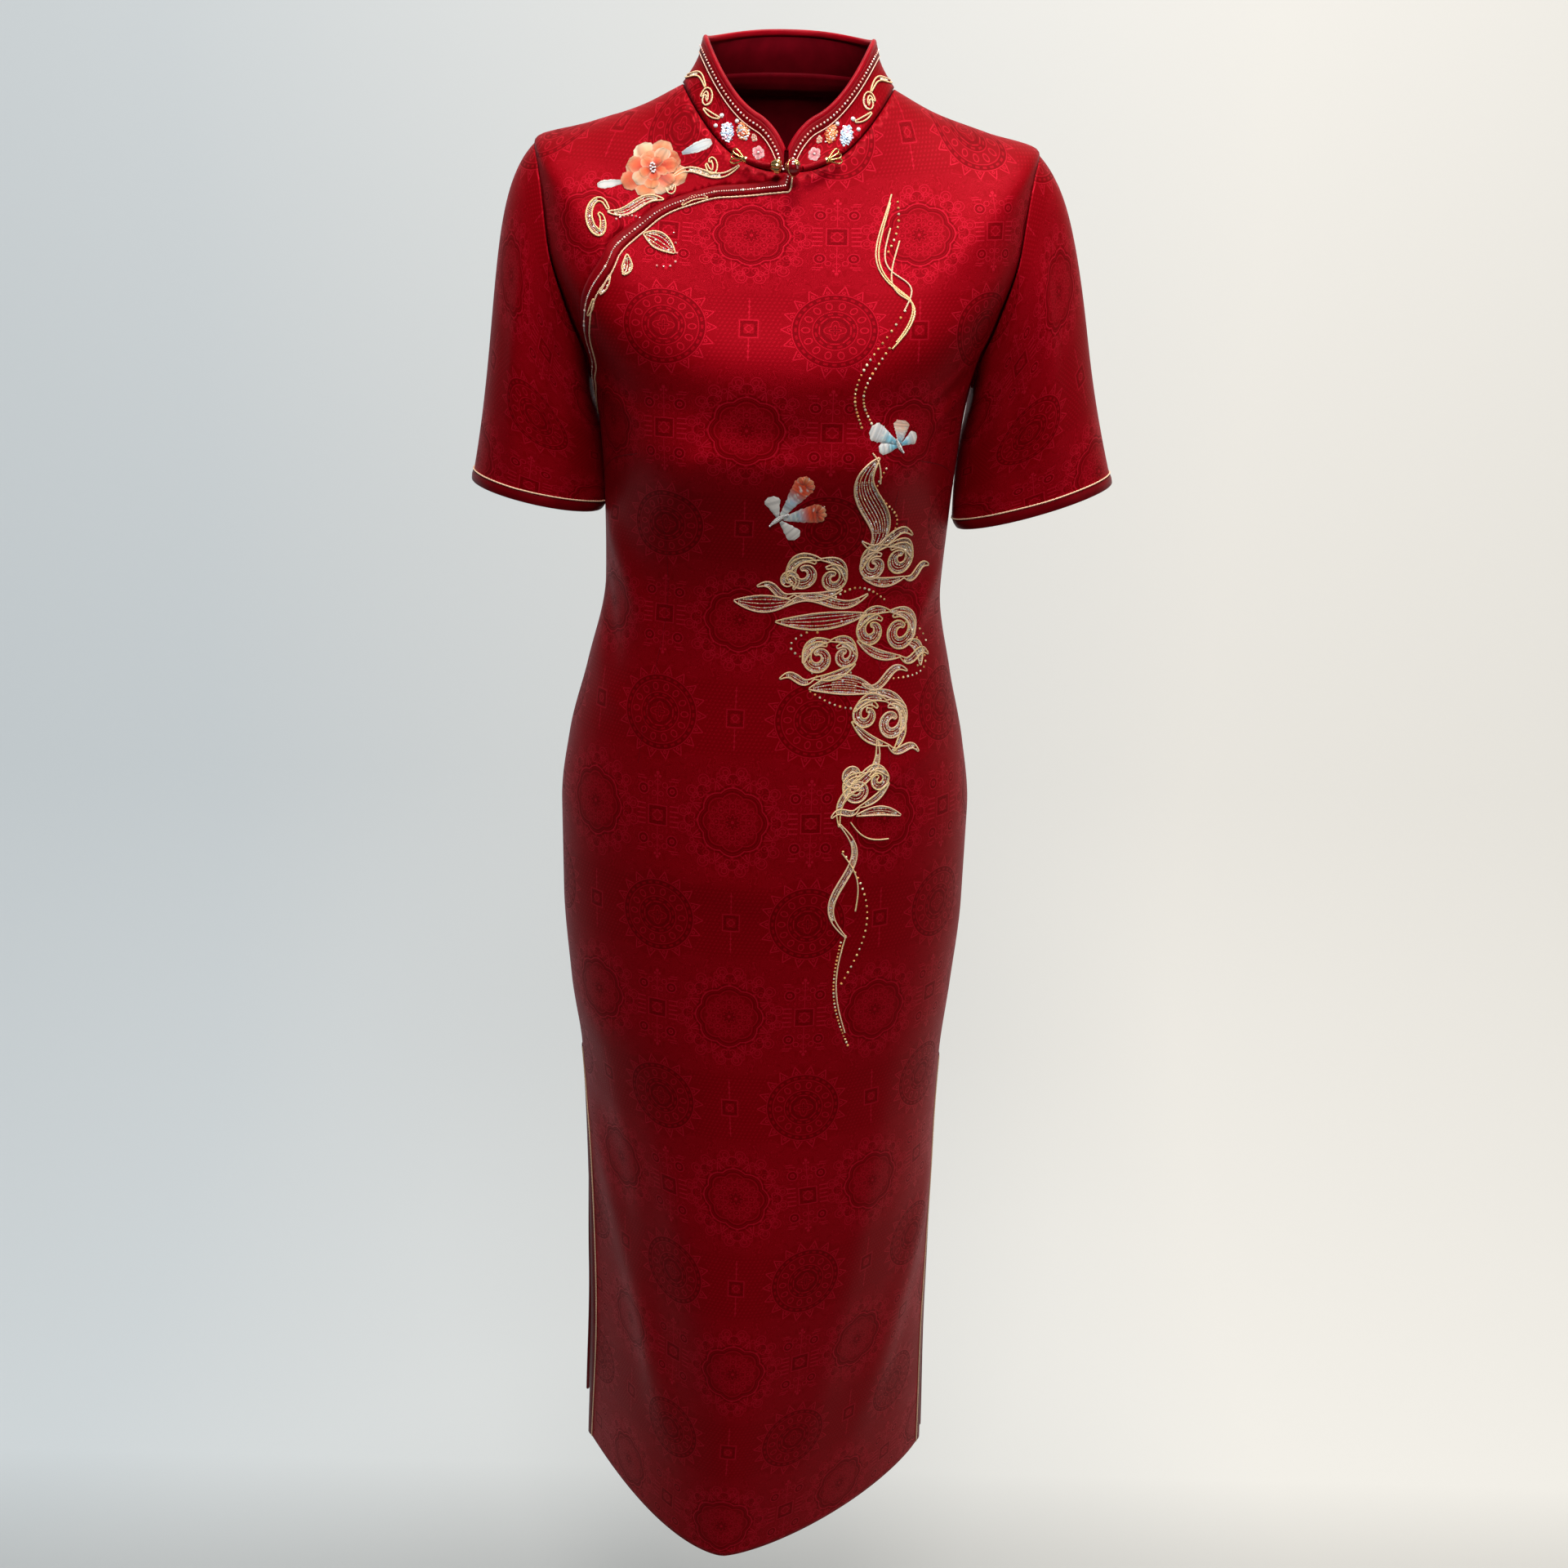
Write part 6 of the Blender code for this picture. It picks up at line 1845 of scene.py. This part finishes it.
def butterfly(work, ground, u, v, facing, size, fore, hind):
    """Two long fore wings with scalloped tips, two round hind wings, a beaded body and two feelers."""
    shades = {"fore": list(fore), "hind": [hind, hind]}
    for index, (turn, length, wide, kind) in enumerate(WINGS):
        rows = petal(u, v, facing + turn, size * length, size * wide * 5, winged=True)
        work.patch(ground, rows, shades[kind].pop(0), lift=0.0001 * (index % 3))
        if kind == "hind" or hind != "silver":
            continue
        for spread, shade in ((-58, "ember"), (-20, "flame"), (20, "flame"), (58, "ember")):
            tip = rows[2, :2] * 0.25 + rows[3, :2] * 0.75
            lobe = petal(*tip, facing + turn + spread, size * 0.18, size * 0.52)
            work.patch(ground, lobe, shade, lift=0.0004)
    heading = np.array([math.cos(math.radians(facing)), math.sin(math.radians(facing))])
    tail, head = np.array([u, v]) - heading * 0.8, np.array([u, v]) + heading * 0.8
    body = stream(*tail, *head, 0.06, 1, 1.7)
    work.patch(ground, body, "silver", lift=0.0004)
    raised = Ground(lambda flat: (ground.over(flat, 0.0010), ground.place(flat)[1]))
    work.chain(raised, body[:, :2] * 0.01, 0.0013, 0.00074, (BEAD_SILVER, (0.96, 0.97, 1.0)), 0.8, 6, 0.25)
    for turn, sway in ((-14, 0.5), (24, -0.4)):
        way = math.radians(facing + turn)
        end = head + np.array([math.cos(way), math.sin(way)]) * size * 0.62
        line = flowing(stream(*head, *end, sway, 1)[:, :2] * 0.01, 0.0008)
        work.thread(ground, line, 0.00026, FEELER_COLOUR, fine=True, sides=4)
        points, normals = ground.place(line[-1:])
        work.gems.beads(points, normals, 0.0006, FEELER_COLOUR, 0.8, 6)


BEAD_SHADES = {  # the colours of a row of beads, and their radius
    "orange": (((0.98, 0.46, 0.16), (0.96, 0.62, 0.26), GLINT), 0.00098),
    "pink": ((BEAD_PINK, (0.96, 0.52, 0.46)), 0.00090),
}


def collar_embroidery(rings, out, gold, silk, gems):
    """Waves, blossoms, the row of stones along the edge band and the gold cord under it."""
    along = distances(rings[0])
    rise = distances_down(rings)

    def place(flat):
        flat = np.atleast_2d(flat)
        station = np.interp(np.where(flat[:, 0] < 0, flat[:, 0] + along[-1], flat[:, 0]), along,
                            np.arange(len(along)))
        column = np.minimum(station.astype(int), len(along) - 2)
        part = (station - column)[:, None]
        found = []
        for grid in (rings, out):
            ends = []
            for step in (0, 1):
                levels = rise[:, column + step]
                at = enumerate(flat[:, 1])
                ring = np.array([np.interp(h, levels[:, i], np.arange(len(rings))) for i, h in at])
                low = np.minimum(ring.astype(int), len(rings) - 2)
                share = (ring - low)[:, None]
                ends.append(grid[low, column + step] * (1 - share) + grid[low + 1, column + step] * share)
            found.append(ends[0] * (1 - part) + ends[1] * part)
        normals = unit(found[1])
        return found[0] + normals * COLLAR_SHELL / 2, normals

    work = Embroidery(11)
    ground = Ground(place)
    ribbons = [curl(*row) for row in COLLAR_CURLS]
    ribbons += [stream(*row) for row in (*COLLAR_STREAMS, COLLAR_BACK_STREAM)]
    for side in (-1, 1):
        for rows in ribbons:
            work.ribbon(ground, rows * (side, 1, 1), sparkle=0.0)
        for shade, s, h, radius in COLLAR_BLOOMS:
            work.bloom(ground, shade, (side * s * 0.01, h * 0.01), radius * 0.001)
    cord = along_collar_edge(rings, COLLAR_ROLL + COLLAR_BAND + 0.0006)
    clear = cord[1] > 0.0012
    line = cord[0][clear] + unit(out[-1][clear]) * (COLLAR_SHELL / 2 + 0.0006)
    work.cords.tube(evenly(line, 0.0007), 0.00044, (1.0, 0.66, 0.52), lobes=0.16)
    stones = along_collar_edge(rings, COLLAR_ROLL + COLLAR_BAND * 0.48)[0]
    stones = stones + unit(out[-1]) * (COLLAR_SHELL / 2 + SATIN_SHELL + 0.0006)
    even = evenly(stones, STONE_PITCH)
    normals = np.array([out[-1][np.argmin(((stones - p) ** 2).sum(1))] for p in even])
    work.gems.beads(even, normals, 0.00082, stone_shades(work.random, len(even)), 0.8, 8)
    work.made("collar_embroidery", gold, silk, gems)


STONE_PITCH = 0.0030


def stone_shades(random, count):
    """Pinkish gold stones with a brighter one here and there."""
    pinks = np.array([(0.98, 0.66, 0.54), (1.00, 0.80, 0.70), (0.92, 0.50, 0.40)])
    shades = pinks[random.integers(0, 3, count)]
    shades[random.random(count) < 0.14] = (0.97, 0.94, 0.93)
    return shades


def along_collar_edge(rings, distance):
    """The line this far below the collar's top edge, and how high over the neck seam it runs."""
    tall = np.linalg.norm(rings[-1] - rings[0], axis=1)
    slope = np.gradient(tall, distances(rings[0]))
    down = np.minimum(distance * np.sqrt(1 + slope**2), tall - 0.0004)
    line = np.array([leg_line(rings[::-1, [i]], d)[0] for i, d in enumerate(down)])
    return line, tall - down


def placket_stones(gems):
    """The row of stones along the middle of the closing's band."""
    stones = Joined()
    random = np.random.default_rng(3)
    row = squared(shifted(free_edge(), (BAND_ON - BAND_OVER) / 2 + 0.0006))[1:-1]
    row = evenly(row * (HALF_GIRTH / 2, 1), STONE_PITCH * 0.75)
    row = row / (HALF_GIRTH / 2, 1)
    normals = FORM.normals("front", *row.T)
    points = FORM.at("front", *row.T) + normals * (SHELL / 2 + SATIN_SHELL + 0.0006)
    sizes = random.choice([0.00052, 0.00066, 0.00095], len(points), p=[0.55, 0.35, 0.10])
    stones.beads(points, normals, sizes, stone_shades(random, len(points)), 0.8, 8)
    dress(stones.made("placket_stones", smooth=False), gems, "gilt")


# ---------------------------------------------------------------- knot fastening and darts

def before_neck(x, z, stand_off):
    """A point this far in front of the neckline, at this place in the front view."""
    across = FORM.locate("front", x, FORM.at("front", x / FORM.level["half"][0], 0.0)[2])[0]
    return np.array([x, FORM.at("front", across, 0.0)[1] - stand_off, z])


def knot(bright, gilt, enamel):
    """The ball button in its gold cage, its two satin cords, their looped gilt ends and the fluted bell."""
    cage, plain = Joined(), (0.9, 0.6, 0.3)
    ball = before_neck(*BUTTON_AT, BUTTON_STAND_OFF)
    turn = np.linspace(0, 2 * math.pi, 41)
    axis = unit(np.array([0.80, -0.60, 0.10]))
    side = unit(np.cross(axis, (0.1, 0.2, 1.0)))
    ring_line = np.cos(turn)[:, None] * side + np.sin(turn)[:, None] * np.cross(axis, side)
    cage.tube(ball + ring_line * BUTTON_RADIUS, 0.00034, plain, 6, out=axis)
    leaf = unit(np.array([0.42, -0.62, 0.52]))
    aside = unit(np.cross(leaf, (0, 0, 1.0)))
    for angle in np.arange(6) * math.pi / 3:
        way = math.cos(angle) * aside + math.sin(angle) * np.cross(leaf, aside)
        petal = [ball + unit(leaf + way * far) * (BUTTON_RADIUS + 0.0003) for far in (0.02, 0.16, 0.30, 0.44)]
        cage.tube(np.array(petal), np.array([0.0004, 0.0008, 0.0009, 0.0003]), plain, 6, out=leaf, flat=0.5)
    for side, run in CORD_RUNS.items():
        smooth = spaced([before_neck(x, z, CORD_STAND_OFF) for x, z in run], 40)
        cord = Joined()
        cord.tube(smooth, CORD_RADIUS * 0.98, plain, 16)
        dress(cord.made(f"knot_{side}_satin_cord"), bright, "satin", "knot_cord_" + side)
        outward = unit(smooth[-1] - smooth[-4])
        start = smooth[-1] - outward * 0.0008
        up = unit(np.cross(outward, (0, -1.0, 0)))
        for lean in (-0.36, 0.0, 0.36):
            along = unit(outward + up * lean)
            across = unit(np.cross(along, (0, -1.0, 0)))
            part = np.linspace(0, 1, 31)
            width = 0.0019 * np.sin(2 * math.pi * part) * np.sin(math.pi * part) ** 0.6
            length = CAP_LENGTH * np.sin(math.pi * part)
            loop = start + along * length[:, None] + across * width[:, None] - (0, 0.0006, 0)
            cage.tube(loop, 0.00052, plain, 7)
        collar_line = start + outward * np.array([[-0.0010], [0.0], [0.0016], [0.0022]])
        cage.tube(collar_line, np.array([0.0021, 0.0024, 0.0022, 0.0010]), plain, 12)
        if side == "right":
            inward = unit(smooth[0] - smooth[3])
            reach = np.linspace(0, BELL_LENGTH, 9)
            radii = np.interp(reach / BELL_LENGTH, np.linspace(0, 1, 4), BELL_RADII)
            radii[0], radii[-1] = 0.0008, 0.0008
            fluted(cage, smooth[0] + reach[:, None] * inward, radii, plain)
    dress(cage.made("knot_gilt_fittings"), gilt, "gilt", "knot_cap_left", "knot_cap_right", "knot_bell")
    radius = BUTTON_RADIUS * 0.97
    bpy.ops.mesh.primitive_uv_sphere_add(segments=40, ring_count=24, radius=radius, location=ball)
    button = bpy.context.object
    button.name = "knot_ball_button"
    button.data.shade_smooth()
    dress(button, enamel, "enamel", "knot_button")


def fluted(gathered, line, radii, colour):
    """A body turned round a line, with eight soft flutes."""
    run = unit(line[-1] - line[0])
    side = unit(np.cross(run, (0, -1.0, 0)))
    over = np.cross(side, run)
    turn = np.linspace(0, 2 * math.pi, 48, endpoint=False)
    swell = radii[:, None] * (1 + 0.10 * np.cos(8 * turn))
    rings = line[:, None] + (np.cos(turn) * swell)[..., None] * side
    rings = rings + (np.sin(turn) * swell)[..., None] * over
    flat = np.zeros((rings.size // 3, 2))
    gathered.add(rings.reshape(-1, 3), grid_faces(len(line), 48, closed=True), flat, colour)


def darts(satin):
    """The seam lines of the bust and waist darts: thin dark satin tubes, partly the seams and partly painted
    shade in the darts' folds.
    """
    seams = Joined()
    for half, *ends in DARTS:
        line = flowing(np.array(ends), 0.004)
        points = over_form(half, line, -SEAM_SUNK)
        seams.tube(points, SEAM_RADIUS, SEAM_AND_SHADE_COLOUR, 5, out=FORM.normals(half, *line.T))
    dress(seams.made("dart_seams"), satin, "brocade")


SEAM_RADIUS, SEAM_SUNK = 0.00030, 0.00012
# dark: partly the seam's thread, partly painted shade of the dart's fold
SEAM_AND_SHADE_COLOUR = (0.2, 0.0, 0.0)

# Darts as (across, down) places from tip to end.
DARTS = (
    ("front", (-0.44, 0.340), (-0.45, 0.431), (-0.46, 0.560)),
    ("front", (0.44, 0.340), (0.45, 0.431), (0.46, 0.560)),
    ("front", (-0.97, 0.352), (-0.72, 0.330), (-0.52, 0.318)),
    ("front", (0.97, 0.352), (0.72, 0.330), (0.52, 0.318)),
    ("back", (-0.42, 0.270), (-0.43, 0.431), (-0.45, 0.600)),
    ("back", (0.42, 0.270), (0.43, 0.431), (0.45, 0.600)),
)


# ---------------------------------------------------------------- camera, lights and stage

CAMERA_AT = (0.010, -1.250, -0.105)
CAMERA_PITCH = 19.0  # degrees down from level
CAMERA_ROLL = 1.5
LENS, SENSOR = 36.0, 36.0
FLOOR = -1.62
WALL = 1.15


def camera():
    data = bpy.data.cameras.new("camera")
    data.lens, data.sensor_width = LENS, SENSOR
    data.clip_end = 50
    made = bpy.data.objects.new("camera", data)
    bpy.context.scene.collection.objects.link(made)
    pitch, roll = math.radians(CAMERA_PITCH), math.radians(CAMERA_ROLL)
    right, level_up = Vector((1, 0, 0)), Vector((0, math.sin(pitch), math.cos(pitch)))
    forward = Vector((0, math.cos(pitch), -math.sin(pitch)))
    turned_right = right * math.cos(roll) + level_up * math.sin(roll)
    turned_up = level_up * math.cos(roll) - right * math.sin(roll)
    made.matrix_world = Matrix((
        (turned_right.x, turned_up.x, -forward.x, CAMERA_AT[0]),
        (turned_right.y, turned_up.y, -forward.y, CAMERA_AT[1]),
        (turned_right.z, turned_up.z, -forward.z, CAMERA_AT[2]),
        (0, 0, 0, 1),
    ))
    bpy.context.scene.camera = made


def studio():
    """A pale floor that curves up into a wall, whose paint glows with painted light, a soft light from above,
    and weak ones from the sides.
    """
    profile = [(-4.0, FLOOR), (WALL - 0.7, FLOOR)]
    for turn in np.linspace(0, math.pi / 2, 16)[1:]:
        profile.append((WALL - 0.7 + 0.7 * math.sin(turn), FLOOR + 0.7 * (1 - math.cos(turn))))
    profile.append((WALL, 3.2))
    rows = [[(x, y, z) for x in np.linspace(-4.0, 4.0, 9)] for y, z in profile]
    sweep = sheet_of_rows("backdrop", rows)
    sweep.data.materials.append(backdrop_material())
    world = bpy.data.worlds.new("studio")
    world.use_nodes = True
    world.node_tree.nodes["Background"].inputs[0].default_value = (0.96, 0.97, 1.0, 1)
    world.node_tree.nodes["Background"].inputs[1].default_value = WORLD_LIGHT
    bpy.context.scene.world = world
    for name, at, aim, size, power, colour in LIGHTS:
        data = bpy.data.lights.new(name, "AREA")
        data.shape = "RECTANGLE"
        data.size, data.size_y = size
        data.energy = power
        data.color = colour
        lamp = bpy.data.objects.new(name, data)
        bpy.context.scene.collection.objects.link(lamp)
        lamp.location = at
        lamp.rotation_mode = "QUATERNION"
        lamp.rotation_quaternion = (Vector(aim) - Vector(at)).to_track_quat("-Z", "Y")
    bpy.context.scene.view_settings.view_transform = "Standard"


def backdrop_material():
    """Matt paint that glows with painted light in place of the wall's lighting: cool on the left, warm on the
    right, and fading out over the floor in front.
    """
    material, tree, shader = shader_of("backdrop_paint")
    place = object_vector(tree)
    parts = tree.nodes.new("ShaderNodeSeparateXYZ")
    tree.links.new(place, parts.inputs[0])
    across = Field(tree, parts.outputs[0])
    mottle = noise(tree, place, 1.3, 2.0)
    painted_light = ramp(tree, across * 0.45 + 0.5 + (mottle - 0.5) * 0.05, BACKDROP_PAINTED_LIGHT)
    tree.links.new(painted_light, shader.inputs["Emission Color"])
    # painted light: the glow fades out over the floor towards the front
    painted_light_share = (Field(tree, parts.outputs[1]) * 2.0 + 0.2).max(0.0).min(1.0)
    tree.links.new((painted_light_share * 0.58).socket, shader.inputs["Emission Strength"])
    settle(shader, Base_Color=(0.28, 0.28, 0.27, 1), Roughness=0.9)
    return material


WORLD_LIGHT = 0.03
# the backdrop's glow from left to right, painted light
BACKDROP_PAINTED_LIGHT = ((0.1, (0.62, 0.70, 0.75)), (0.5, (0.78, 0.80, 0.79)), (0.8, (1.00, 0.97, 0.90)))
LIGHTS = (
    ("light_above", (0.14, -0.27, 1.85), (0, -0.05, -0.25), (1.0, 0.45), 62, (1.0, 0.97, 0.94)),
    ("light_front", (0.05, -1.7, 1.7), (0, 0, -0.4), (1.0, 0.5), 42, (1.0, 0.98, 0.95)),
    ("light_left", (-2.0, -1.3, 0.4), (0, 0, -0.6), (1.0, 1.8), 0.8, (0.88, 0.94, 1.0)),
    ("light_right", (2.1, -0.9, 0.2), (0, 0, -0.6), (1.0, 1.8), 9.5, (1.0, 0.95, 0.88)),
)


# ---------------------------------------------------------------- the dress


def main():
    camera()
    brocade = brocade_material()
    satin = satin_material("binding_satin", (0.150, 0.0006, 0.0036), 0.40)
    band = satin_material("band_satin", (0.200, 0.0006, 0.0036), 0.46)
    bright = satin_material("edge_satin", (0.300, 0.0015, 0.0075), 0.32)
    lining = satin_material("lining_satin", (0.190, 0.0018, 0.008), 0.50)
    gold = thread_material("gold_cord", 0.0, 0.30)
    silk = thread_material("silk_thread", 0.0, 0.42, twist_pitch=1.0)
    gems = gem_material()
    gilt = gilt_material()
    body_panels(brocade, lining)
    sleeves(brocade, lining, satin)
    rings, out = collar(brocade, lining, band, bright)
    neck_facing(rings, lining)
    slit_bindings(satin)
    placket(band)
    edge_cords(gold)
    placket_stones(gems)
    front_embroidery(gold, silk, gems)
    collar_embroidery(rings, out, gold, silk, gems)
    knot(bright, gilt, enamel_material())
    darts(satin)
    studio()


main()
